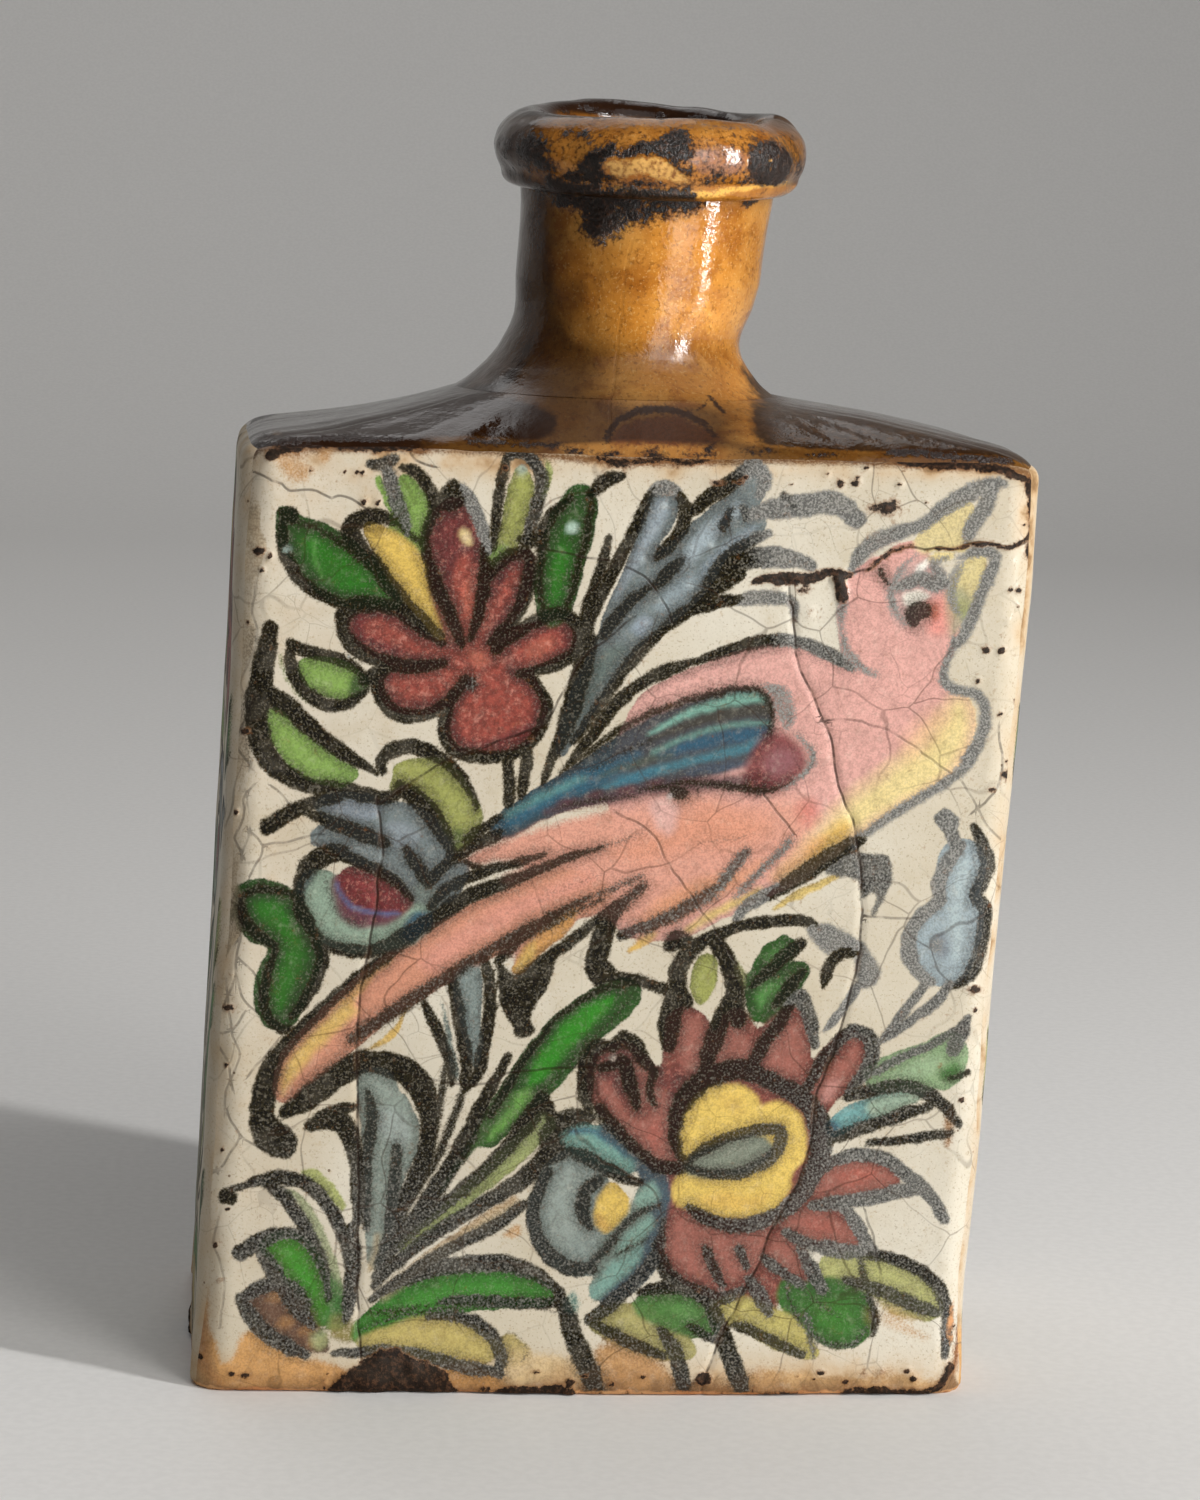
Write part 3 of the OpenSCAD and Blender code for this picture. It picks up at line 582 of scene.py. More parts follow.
    k([(862, 840), (846, 849), (826, 860), (806, 873), (786, 886), (768, 896)], [12, 18, 20, 17, 15, 12], 0.1)
    k([(786, 884), (764, 896), (746, 907), (736, 918)], [10, 13, 13, 9], 0.7)
    k([(276, 1056), (268, 1078), (263, 1100), (262, 1120), (270, 1135), (282, 1143)], [20, 24, 24, 24, 32, 42])
    k([(286, 1112), (304, 1100), (322, 1087), (340, 1074), (358, 1063), (378, 1061)], [18, 24, 25, 25, 24, 22])


def draw_bud(P):
    f, b, k, bl = P.fill, P.band, P.k, P.blob
    f(OLIVE, [(400, 770), (420, 764), (442, 765), (456, 778), (466, 795), (476, 812), (471, 830), (460, 844), (451, 842), (449, 825), (439, 805), (424, 789), (410, 780)])
    f(GREEN2, [(452, 830), (465, 832), (462, 845), (455, 848)], 6, 0.6)
    f(OLIVE, [(392, 778), (406, 765), (412, 770), (400, 786), (390, 792)], 5, 0.9)
    f(GREYB, [(322, 806), (336, 799), (362, 799), (380, 806), (400, 808), (425, 818), (440, 836), (448, 852), (436, 866), (440, 885), (432, 904), (412, 894), (396, 880), (380, 868), (360, 860), (345, 850), (330, 840), (318, 840), (322, 830), (345, 832), (340, 820)])
    f((138, 148, 158), [(326, 808), (345, 800), (372, 803), (380, 812), (368, 820), (350, 818), (336, 812)], 6, 0.7)
    f((140, 150, 156), [(384, 826), (404, 822), (420, 834), (412, 848), (394, 846)], 8, 0.7)
    f((140, 150, 150), [(350, 846), (372, 846), (392, 862), (402, 878), (386, 872), (366, 860)], 7, 0.6)
    f(GREYB, [(438, 892), (450, 873), (463, 868), (458, 882), (447, 897)])
    f((116, 128, 120), [(412, 888), (428, 880), (438, 896), (432, 912), (418, 904)], 7, 0.8)
    f((138, 160, 140), [(304, 886), (314, 876), (328, 878), (330, 892), (335, 912), (348, 928), (370, 934), (395, 926), (412, 912), (422, 912), (424, 926), (405, 940), (380, 946), (350, 946), (325, 936), (310, 920), (303, 900)])
    f((96, 48, 62), [(330, 880), (340, 876), (345, 895), (362, 908), (390, 914), (406, 910), (396, 922), (372, 928), (348, 924), (335, 908)], 6, 0.85)
    f(CRIM, [(342, 871), (358, 867), (378, 872), (395, 882), (409, 895), (413, 904), (400, 913), (380, 912), (360, 905), (345, 893), (338, 881)], 5, 0.97, 1)
    f((146, 54, 58), [(352, 878), (368, 874), (386, 884), (398, 898), (384, 904), (366, 898)], 9, 0.5)
    b((78, 92, 132), [(336, 884), (342, 896), (352, 906), (374, 913), (398, 914)], 4, 4, 0.85)
    f(BLUE, [(410, 916), (424, 911), (434, 918), (424, 934), (408, 942), (400, 936)], 6, 0.9)
    f(DBLUE, [(300, 880), (306, 870), (316, 872), (310, 884), (304, 896), (306, 916), (300, 912), (297, 896)], 5, 0.8)
    # bean leaf
    f(GREEN, [(243, 890), (262, 886), (282, 891), (297, 904), (307, 925), (315, 945), (314, 966), (305, 986), (296, 1006), (286, 1022), (270, 1022), (261, 1006), (261, 985), (267, 965), (275, 950), (269, 941), (254, 936), (244, 920), (241, 905)])
    f(GREENB, [(255, 905), (275, 902), (288, 914), (296, 934), (302, 952), (296, 975), (288, 998), (276, 1008), (270, 995), (278, 970), (285, 950), (275, 930), (262, 918)], 10, 0.85)
    f(GREEN2, [(228, 916), (238, 903), (241, 911), (233, 921)], 5, 0.5)
    # grey leaves below the tail
    f((132, 146, 142), [(456, 975), (478, 966), (482, 988), (480, 1014), (482, 1046), (476, 1068), (466, 1046), (458, 1012)], 6, 0.95, 1)
    f((118, 134, 132), [(452, 990), (462, 1000), (470, 1030), (466, 1040), (458, 1016)], 6, 0.6)
    f((132, 146, 138), [(440, 1000), (448, 1016), (455, 1050), (460, 1080), (452, 1076), (445, 1036)], 6, 0.8)
    # outlines
    k([(383, 772), (381, 760), (392, 750), (410, 746), (430, 752), (448, 763), (463, 779), (474, 797), (478, 808)], [10, 14, 15, 15, 14, 13, 12, 10, 7])
    k([(300, 782), (322, 787), (345, 790), (368, 796), (388, 797), (402, 792)], [10, 13, 16, 16, 15, 12])
    k([(266, 828), (282, 817), (301, 807), (320, 801), (338, 798)], [19, 17, 15, 14, 12])
    k([(306, 812), (324, 819), (342, 827), (362, 834), (386, 844)], [10, 13, 15, 16, 12])
    k([(400, 786), (418, 800), (434, 818), (446, 838), (452, 852)], [16, 20, 20, 18, 12])
    k([(407, 850), (416, 864), (425, 880)], [12, 15, 14])
    k([(428, 884), (442, 868), (456, 856), (476, 846), (500, 838)], [12, 12, 11, 10, 7])
    k([(303, 876), (308, 866), (322, 857), (342, 852)], [14, 20, 22, 18])
    k([(342, 856), (362, 864), (382, 873), (398, 884), (412, 899)], [14, 12, 11, 10, 8])
    k([(299, 878), (298, 900), (304, 920), (316, 936)], 12)
    k([(316, 936), (336, 948), (360, 952), (384, 947), (402, 936), (418, 926), (432, 918)], [12, 13, 13, 13, 13, 13, 12])
    k([(326, 880), (331, 900), (342, 917), (360, 926)], 6, 0.3, 9, 0.6)
    k([(243, 896), (256, 889), (282, 891), (296, 898)], 9, None, 9, 0.9)
    k([(241, 900), (245, 920), (258, 936), (276, 946)], [9, 11, 12, 9])
    k([(298, 900), (309, 922), (318, 946), (323, 958), (316, 980), (304, 1001), (291, 1016)], [9, 10, 11, 13, 13, 12, 9])
    k([(276, 947), (269, 970), (264, 995), (267, 1016), (281, 1030), (290, 1028)], [8, 9, 10, 10, 10, 8])
    k([(424, 1003), (434, 1024), (443, 1044), (450, 1064), (452, 1084)], [9, 12, 12, 11, 8])
    k([(450, 972), (456, 1000), (461, 1030), (466, 1060), (466, 1086)], [12, 13, 13, 14, 14])
    k([(484, 958), (490, 986), (489, 1014), (485, 1044), (478, 1072), (466, 1090)], [12, 13, 13, 13, 13, 9])


def draw_fan(P, hook=True):
    f, b, k, bl = P.fill, P.band, P.k, P.blob
    # long green leaf
    f(GREEN, [(630, 984), (634, 996), (621, 1014), (600, 1032), (576, 1056), (556, 1080), (536, 1098), (516, 1114), (500, 1132), (487, 1142), (482, 1134), (492, 1112), (508, 1088), (522, 1064), (538, 1044), (558, 1022), (582, 1003), (606, 990)])
    f((34, 128, 14), [(614, 994), (600, 1018), (574, 1044), (552, 1068), (532, 1088), (532, 1066), (552, 1036), (580, 1008)], 8, 0.9)
    f((112, 168, 76), [(532, 1090), (524, 1108), (504, 1128), (488, 1140), (496, 1118), (512, 1096)], 9, 0.8)
    # grey leaf
    f((136, 148, 138), [(366, 1076), (384, 1076), (392, 1092), (404, 1106), (413, 1126), (411, 1150), (403, 1166), (394, 1186), (389, 1212), (384, 1242), (376, 1262), (372, 1240), (372, 1200), (371, 1160), (367, 1125), (364, 1100)])
    f((154, 164, 158), [(374, 1112), (392, 1108), (408, 1120), (411, 1140), (402, 1150), (388, 1142), (378, 1130)], 9, 0.7)
    b((190, 168, 130), [(378, 1236), (375, 1254), (369, 1270)], 6, 6, 0.7)
    # fan
    f((170, 172, 100), [(534, 1124), (536, 1142), (522, 1160), (498, 1180), (462, 1204), (432, 1226), (404, 1248), (398, 1244), (426, 1222), (456, 1196), (490, 1172), (516, 1148)], 6, 0.95, 1)
    f((180, 182, 108), [(447, 1200), (470, 1180), (490, 1163), (500, 1150), (498, 1162), (480, 1181), (460, 1196)], 6, 0.85)
    b((196, 158, 110), [(514, 1198), (490, 1212), (460, 1232), (430, 1251), (396, 1275), (372, 1297)], [9, 9, 7, 5, 4, 3], 5, 0.5)
    f((200, 152, 96), [(508, 1226), (522, 1222), (524, 1236), (512, 1240), (498, 1238)], 9, 0.55)
    # low left leaves
    f((176, 182, 112), [(300, 1170), (315, 1168), (328, 1178), (338, 1190), (346, 1204), (342, 1212), (330, 1200), (318, 1186), (305, 1178)], 6, 0.85)
    b((172, 178, 138), [(286, 1190), (300, 1200), (313, 1220), (325, 1245), (335, 1272), (341, 1292)], [6, 11, 12, 12, 11, 8], 6, 0.85)
    f((60, 122, 34), [(266, 1244), (285, 1238), (302, 1243), (314, 1258), (321, 1282), (326, 1308), (319, 1319), (302, 1297), (286, 1271), (274, 1256)])
    f((58, 140, 36), [(284, 1250), (300, 1251), (310, 1268), (316, 1294), (306, 1290), (294, 1270)], 8, 0.8)
    f((96, 130, 72), [(274, 1234), (284, 1229), (298, 1231), (290, 1238)], 6, 0.6)
    f((66, 118, 56), [(330, 1274), (340, 1281), (346, 1300), (346, 1324), (332, 1331), (322, 1321), (331, 1300)], 7, 0.85)
    f((104, 76, 60), [(240, 1297), (262, 1285), (285, 1284), (300, 1294), (316, 1318), (326, 1336), (330, 1352), (305, 1353), (285, 1345), (265, 1328), (250, 1312)], 8, 0.75)
    for q in ((275, 1296), (297, 1305), (285, 1322), (308, 1330), (316, 1342)):
        f((178, 130, 80), [(q[0] - 8, q[1] + 4), (q[0] - 2, q[1] - 5), (q[0] + 9, q[1] - 4), (q[0] + 5, q[1] + 5)], 8, 0.55, 0)
    f((156, 176, 124), [(312, 1334), (322, 1330), (328, 1342), (320, 1350), (312, 1346)], 7, 0.6)
    f((140, 128, 76), [(330, 1318), (352, 1316), (360, 1338), (345, 1345), (330, 1338)], 8, 0.6)
    # long low leaf
    f((48, 118, 34), [(362, 1326), (388, 1302), (420, 1286), (460, 1278), (508, 1278), (538, 1286), (548, 1298), (510, 1302), (460, 1306), (420, 1318), (390, 1329), (364, 1340)])
    f((64, 142, 46), [(405, 1304), (436, 1291), (474, 1286), (512, 1288), (502, 1296), (462, 1299), (428, 1306)], 8, 0.85)
    f((186, 168, 100), [(364, 1343), (390, 1333), (420, 1323), (450, 1323), (475, 1333), (491, 1346), (485, 1357), (450, 1356), (400, 1351)])
    f((178, 160, 102), [(500, 1336), (514, 1334), (529, 1346), (526, 1360), (512, 1366), (502, 1362)], 7, 0.8)
    b((62, 100, 46), [(506, 1102), (482, 1132), (460, 1162), (442, 1190)], [18, 13, 9, 4], 7, 0.8)
    b((150, 162, 106), [(544, 1124), (508, 1158), (470, 1194), (432, 1226), (402, 1250)], [26, 24, 18, 13, 8], 8, 0.8)
    b((204, 182, 144), [(520, 1204), (480, 1228), (440, 1254), (404, 1280), (384, 1296)], [12, 14, 14, 12, 8], 8, 0.6)
    # outlines
    k([(634, 984), (606, 988), (582, 1000), (560, 1016), (540, 1038), (522, 1062), (506, 1090), (490, 1116)], [4, 5, 5, 5, 6, 8, 9, 9])
    k([(634, 992), (612, 1020), (586, 1046), (562, 1072), (540, 1092)], 5, None, 9, 0.6)
    if hook:
        k([(309, 1126), (326, 1121), (342, 1122), (352, 1142), (357, 1165), (358, 1195), (357, 1222)], [16, 21, 20, 17, 15, 14, 12])
        k([(318, 1116), (336, 1111), (354, 1107)], [10, 12, 10])
    k([(362, 1062), (386, 1064), (406, 1072), (420, 1086), (428, 1106), (430, 1130), (426, 1152), (418, 1173), (408, 1193), (398, 1216), (389, 1240), (378, 1264)], [20, 26, 28, 26, 22, 18, 18, 18, 18, 16, 14, 10])
    k([(368, 1092), (372, 1116), (369, 1142), (365, 1172), (365, 1202), (366, 1228)], [8, 12, 12, 13, 13, 9])
    k([(397, 1146), (395, 1170), (392, 1198), (387, 1230)], [11, 12, 12, 9])
    k([(446, 1060), (441, 1096), (434, 1136), (424, 1168)], [8, 9, 9, 7], 0.2, 9, 0.85)
    k([(463, 1092), (452, 1122), (440, 1152), (424, 1180), (410, 1200)], [9, 10, 10, 9, 7], 0.2, 9, 0.85)
    k([(508, 1056), (493, 1084), (483, 1102), (470, 1130), (455, 1160), (438, 1186), (420, 1211), (404, 1233), (389, 1256), (375, 1277)], [10, 13, 15, 17, 18, 18, 17, 15, 13, 10])
    k([(541, 1101), (534, 1112), (520, 1131), (500, 1155), (480, 1175), (460, 1192), (440, 1208), (423, 1223), (404, 1241)], [24, 20, 15, 14, 14, 14, 13, 12, 9])
    k([(548, 1106), (554, 1128), (546, 1154), (528, 1175), (505, 1191), (480, 1206), (455, 1221), (430, 1237), (408, 1253), (390, 1269), (374, 1286)], [16, 15, 17, 18, 16, 15, 14, 13, 13, 12, 10])
    k([(524, 1204), (502, 1221), (478, 1235), (456, 1245), (430, 1260), (405, 1276), (384, 1291)], [12, 13, 13, 12, 12, 11, 8])
    k([(226, 1197), (229, 1197)], 20, 0)
    k([(232, 1190), (258, 1181), (283, 1177), (300, 1181), (315, 1191), (328, 1206), (338, 1223), (345, 1242), (350, 1264)], [10, 11, 14, 15, 15, 14, 14, 14, 13])
    k([(264, 1184), (281, 1193), (293, 1209), (305, 1226), (313, 1242), (320, 1260), (327, 1282)], [11, 14, 14, 14, 14, 12, 9])
    k([(240, 1253), (256, 1244), (272, 1236), (290, 1233), (305, 1239), (316, 1250), (323, 1264), (327, 1284), (328, 1300)], [19, 18, 15, 12, 12, 11, 10, 9, 7])
    k([(262, 1254), (275, 1275), (288, 1295), (300, 1312), (313, 1326)], [15, 16, 16, 15, 11])
    k([(241, 1298), (262, 1287), (284, 1284), (300, 1292), (308, 1306)], [12, 15, 14, 11, 8])
    k([(240, 1298), (252, 1318), (268, 1335), (286, 1346), (306, 1355)], [13, 16, 17, 16, 11])
    k([(352, 1228), (353, 1258), (351, 1290), (346, 1318)], [14, 16, 16, 11])
    k([(370, 1300), (385, 1290), (402, 1281), (430, 1270), (460, 1265), (498, 1263), (530, 1271), (550, 1284), (562, 1294)], [9, 12, 15, 17, 18, 17, 17, 15, 11])
    k([(440, 1302), (470, 1300), (510, 1303), (548, 1303), (562, 1302)], [7, 11, 12, 12, 10])
    k([(366, 1312), (398, 1311), (430, 1305)], [8, 10, 8], 0.2, 10, 0.6)
    k([(428, 1317), (454, 1316), (474, 1322), (491, 1335), (500, 1350), (501, 1364), (495, 1373)], [8, 11, 13, 14, 14, 14, 11])
    k([(334, 1353), (356, 1353), (380, 1350), (402, 1352), (430, 1358), (460, 1365), (480, 1370), (500, 1373)], [9, 11, 11, 11, 12, 13, 14, 13])
    k([(506, 1331), (520, 1338), (528, 1350), (523, 1362)], 5, 0.3, 9, 0.5)
    k([(560, 1296), (572, 1330), (585, 1362), (598, 1392)], [14, 19, 22, 20])
    k([(362, 1328), (405, 1315), (460, 1307), (530, 1306), (556, 1312)], [6, 8, 9, 9, 6], 0.3, 8, 0.6)


def draw_round_bud(P):
    f, b, k, bl = P.fill, P.band, P.k, P.blob
    f((128, 140, 134), [(538, 1194), (550, 1170), (572, 1156), (592, 1168), (602, 1182), (590, 1200), (588, 1220), (600, 1240), (606, 1254), (594, 1268), (568, 1268), (548, 1254), (536, 1232), (534, 1208)])
    f((146, 156, 148), [(548, 1200), (560, 1176), (576, 1170), (584, 1186), (576, 1206), (578, 1230), (566, 1246), (552, 1232)], 12, 0.6)
    f((112, 128, 118), [(600, 1240), (612, 1228), (628, 1212), (634, 1196), (640, 1184), (652, 1182), (662, 1200), (664, 1222), (654, 1244), (634, 1266), (610, 1290), (594, 1300), (590, 1284), (600, 1262)], 8, 0.85, 0)
    f(YEL, [(606, 1186), (616, 1184), (625, 1194), (628, 1207), (619, 1222), (606, 1232), (597, 1224), (595, 1210), (600, 1196)], 5, 0.97, 1)
    f((198, 150, 84), [(597, 1212), (606, 1222), (612, 1230), (602, 1230), (596, 1222)], 5, 0.5)
    f((112, 154, 142), [(566, 1136), (585, 1129), (607, 1138), (622, 1151), (632, 1164), (622, 1169), (604, 1161), (584, 1152), (570, 1144)])
    b((50, 104, 128), [(570, 1132), (590, 1131), (610, 1140), (626, 1154)], [5, 6, 7, 6], 5, 0.8)
    b((60, 82, 94), [(604, 1130), (626, 1142), (645, 1162), (657, 1188), (662, 1212), (658, 1238), (646, 1262), (628, 1284), (606, 1302)], [12, 18, 24, 26, 24, 24, 24, 22, 14], 8, 0.92)
    f((128, 162, 146), [(640, 1190), (654, 1182), (660, 1196), (652, 1204), (640, 1208), (636, 1200)], 6, 0.85, 0)
    f((122, 158, 144), [(616, 1252), (629, 1232), (651, 1214), (653, 1228), (640, 1241), (626, 1250)], 6, 0.85, 0)
    f((118, 158, 146), [(591, 1294), (606, 1271), (627, 1255), (642, 1246), (637, 1262), (616, 1282), (598, 1297)], 7, 0.85, 1)
    f((110, 150, 138), [(560, 1300), (575, 1290), (582, 1304), (574, 1318), (562, 1314)], 9, 0.6)
    # outlines
    k([(548, 1172), (537, 1194), (533, 1215), (537, 1238), (550, 1257), (570, 1268), (592, 1268)], [13, 14, 14, 14, 15, 16, 16])
    bl([(538, 1150), (541, 1126), (556, 1112), (580, 1108), (598, 1114), (592, 1124), (570, 1128), (562, 1140), (572, 1154), (556, 1164), (544, 1168)], 0.15, 9, 0.9)
    k([(598, 1180), (586, 1191), (582, 1210), (590, 1227)], [14, 14, 14, 11])
    k([(572, 1150), (598, 1164), (625, 1178), (640, 1182)], [12, 14, 14, 11])
    k([(600, 1122), (622, 1136), (640, 1154)], 8, 0.2, 9, 0.85)
    k([(660, 1204), (644, 1210), (630, 1219), (618, 1233), (604, 1250), (592, 1264)], [5, 7, 8, 10, 11, 12], 0.25, 9, 0.85)
    k([(616, 1254), (632, 1247), (648, 1237)], [4, 5, 3], 0.2, 7, 0.75)
    k([(664, 1220), (660, 1244), (648, 1266), (630, 1286), (608, 1306), (590, 1320)], [7, 9, 11, 13, 15, 15], 0.3)


def draw_big_flower(P):
    f, b, k, bl = P.fill, P.band, P.k, P.blob
    f(REDM, [(588, 1085), (590, 1064), (604, 1050), (622, 1042), (640, 1050), (660, 1068), (664, 1042), (668, 1016), (685, 1006), (705, 1016), (715, 1034), (725, 1014), (742, 1010), (757, 1030), (770, 1018), (788, 1004), (803, 1014), (810, 1035), (812, 1062), (828, 1044), (850, 1030), (868, 1042), (864, 1065), (850, 1088), (828, 1110), (825, 1130), (830, 1156), (850, 1158), (880, 1162), (900, 1176), (892, 1190), (860, 1198), (830, 1205), (850, 1212), (862, 1235), (855, 1248), (825, 1248), (805, 1245), (812, 1270), (800, 1285), (780, 1280), (776, 1306), (765, 1314), (750, 1298), (735, 1300), (715, 1298), (690, 1288), (668, 1270), (658, 1248), (665, 1225), (672, 1200), (668, 1175), (650, 1165), (632, 1148), (612, 1125), (595, 1108)], grow=1)
    f((98, 42, 42), [(590, 1080), (600, 1052), (630, 1046), (662, 1070), (690, 1060), (720, 1058), (760, 1062), (800, 1080), (812, 1110), (780, 1090), (735, 1070), (695, 1085), (676, 1120), (660, 1100), (640, 1090), (610, 1100)], 12, 0.6)
    for q in ([(598, 1084), (606, 1080), (620, 1104), (634, 1122), (650, 1116), (660, 1090), (668, 1098), (668, 1130), (664, 1158), (648, 1156), (634, 1136), (616, 1116)],
              [(634, 1062), (648, 1066), (656, 1084), (652, 1104), (644, 1098), (640, 1078)],
              [(682, 1024), (696, 1018), (706, 1040), (702, 1062), (688, 1072), (679, 1050)],
              [(722, 1040), (736, 1026), (748, 1042), (758, 1055), (740, 1060), (720, 1060), (712, 1052)],
              [(774, 1036), (792, 1020), (803, 1040), (803, 1066), (788, 1076), (768, 1066)],
              [(818, 1100), (820, 1082), (838, 1064), (856, 1048), (858, 1060), (846, 1080), (832, 1098)],
              [(808, 1194), (818, 1178), (834, 1165), (856, 1163), (880, 1169), (896, 1180), (880, 1189), (840, 1195)],
              [(786, 1226), (806, 1209), (830, 1215), (850, 1228), (857, 1240), (840, 1244), (810, 1238)],
              [(668, 1244), (680, 1218), (700, 1226), (730, 1236), (758, 1232), (762, 1250), (740, 1276), (712, 1280), (684, 1270)],
              [(766, 1252), (780, 1240), (798, 1258), (802, 1272), (786, 1272), (769, 1261)]):
        f(REDMB, q, 8, 0.92, 1)
    f((176, 92, 76), [(840, 1174), (860, 1168), (878, 1172), (866, 1182), (846, 1186)], 8, 0.55)
    f((172, 92, 78), [(806, 1222), (824, 1218), (838, 1230), (820, 1234)], 8, 0.5)
    f((174, 94, 80), [(646, 1136), (658, 1120), (664, 1138), (656, 1152)], 8, 0.5)
    f((206, 150, 140), [(822, 1090), (836, 1078), (840, 1086), (830, 1102), (820, 1104)], 8, 0.55)
    f((222, 190, 96), [(686, 1112), (694, 1098), (710, 1088), (728, 1084), (745, 1087), (757, 1097), (762, 1106), (776, 1101), (792, 1108), (803, 1122), (806, 1142), (803, 1160), (792, 1172), (788, 1192), (775, 1207), (758, 1215), (738, 1218), (714, 1215), (694, 1208), (678, 1206), (673, 1194), (676, 1178), (688, 1168), (680, 1156), (680, 1140), (682, 1124)], 4, 0.97, 1)
    f((206, 160, 78), [(700, 1200), (720, 1190), (750, 1196), (770, 1190), (760, 1208), (730, 1212), (706, 1208)], 12, 0.45)
    f((206, 166, 80), [(720, 1094), (740, 1096), (746, 1112), (730, 1114), (718, 1106)], 12, 0.35)
    f((120, 132, 120), [(690, 1167), (705, 1155), (730, 1146), (752, 1141), (766, 1147), (758, 1160), (735, 1169), (708, 1172)])
    # outlines
    k([(588, 1108), (585, 1082), (588, 1060), (598, 1047), (610, 1045)], [12, 17, 18, 17, 12])
    k([(612, 1048), (624, 1039), (636, 1046), (644, 1060), (655, 1072)], [14, 17, 17, 13, 10])
    k([(602, 1068), (622, 1062), (630, 1085), (637, 1106)], [12, 15, 16, 10])
    k([(598, 1108), (612, 1124), (627, 1140), (640, 1153)], [12, 13, 13, 12])
    k([(655, 1070), (650, 1088), (654, 1104)], [9, 9, 6])
    k([(684, 1163), (675, 1142), (677, 1116), (690, 1092), (711, 1076), (740, 1069), (764, 1078), (786, 1089), (806, 1101), (818, 1122), (821, 1150), (812, 1175), (800, 1196), (784, 1211), (760, 1222), (735, 1226), (706, 1219), (690, 1208)], [12, 14, 17, 20, 22, 20, 18, 18, 20, 20, 22, 18, 17, 15, 15, 15, 15, 12])
    k([(676, 992), (670, 1016), (668, 1046)], [20, 24, 18])
    k([(704, 1066), (714, 1040), (724, 1012), (732, 996)], [14, 18, 19, 14])
    k([(752, 1066), (762, 1046), (774, 1030), (790, 1006)], [12, 14, 14, 12])
    k([(788, 1004), (800, 996), (810, 1020), (815, 1046)], [12, 16, 15, 10], 0.45)
    k([(808, 1086), (822, 1062), (838, 1042), (852, 1030)], 13)
    k([(852, 1030), (868, 1036), (873, 1054), (863, 1075), (848, 1092)], [15, 15, 14, 13, 9], 0.4)
    k([(683, 1166), (700, 1152), (716, 1143), (736, 1135), (760, 1130), (779, 1130), (780, 1143), (771, 1157), (754, 1168), (734, 1174), (710, 1174), (688, 1168)], [10, 11, 11, 11, 12, 12, 13, 12, 11, 11, 11, 10])
    k([(640, 1153), (658, 1166), (682, 1170)], [12, 14, 12])
    k([(824, 1118), (826, 1140), (822, 1158)], [12, 14, 12], 0.3)
    k([(820, 1168), (845, 1156), (870, 1155), (890, 1162), (906, 1175), (922, 1187), (933, 1200), (945, 1220)], [12, 13, 14, 14, 14, 14, 13, 13])
    k([(812, 1206), (848, 1202), (880, 1196), (908, 1190), (926, 1192)], [12, 14, 14, 14, 11])
    k([(842, 1206), (857, 1225), (869, 1246), (878, 1258)], [11, 14, 14, 9])
    k([(786, 1232), (808, 1244), (838, 1250), (866, 1252)], [10, 13, 16, 14])
    k([(800, 1250), (812, 1270), (822, 1290)], [10, 14, 12])
    k([(763, 1258), (784, 1274), (802, 1284)], [9, 11, 10])
    k([(704, 1248), (715, 1270), (723, 1286)], [8, 10, 9])
    k([(739, 1248), (746, 1266)], 10)
    k([(657, 1244), (661, 1262), (671, 1278), (687, 1289), (708, 1296), (728, 1298), (742, 1290)], [12, 14, 16, 16, 15, 13, 10])
    k([(750, 1280), (760, 1296), (769, 1313)], [12, 15, 12])
    P.over((226, 214, 196), (613, 1058), 3, 5)
    P.over((220, 206, 200), (721, 1290), 1.5, 4)


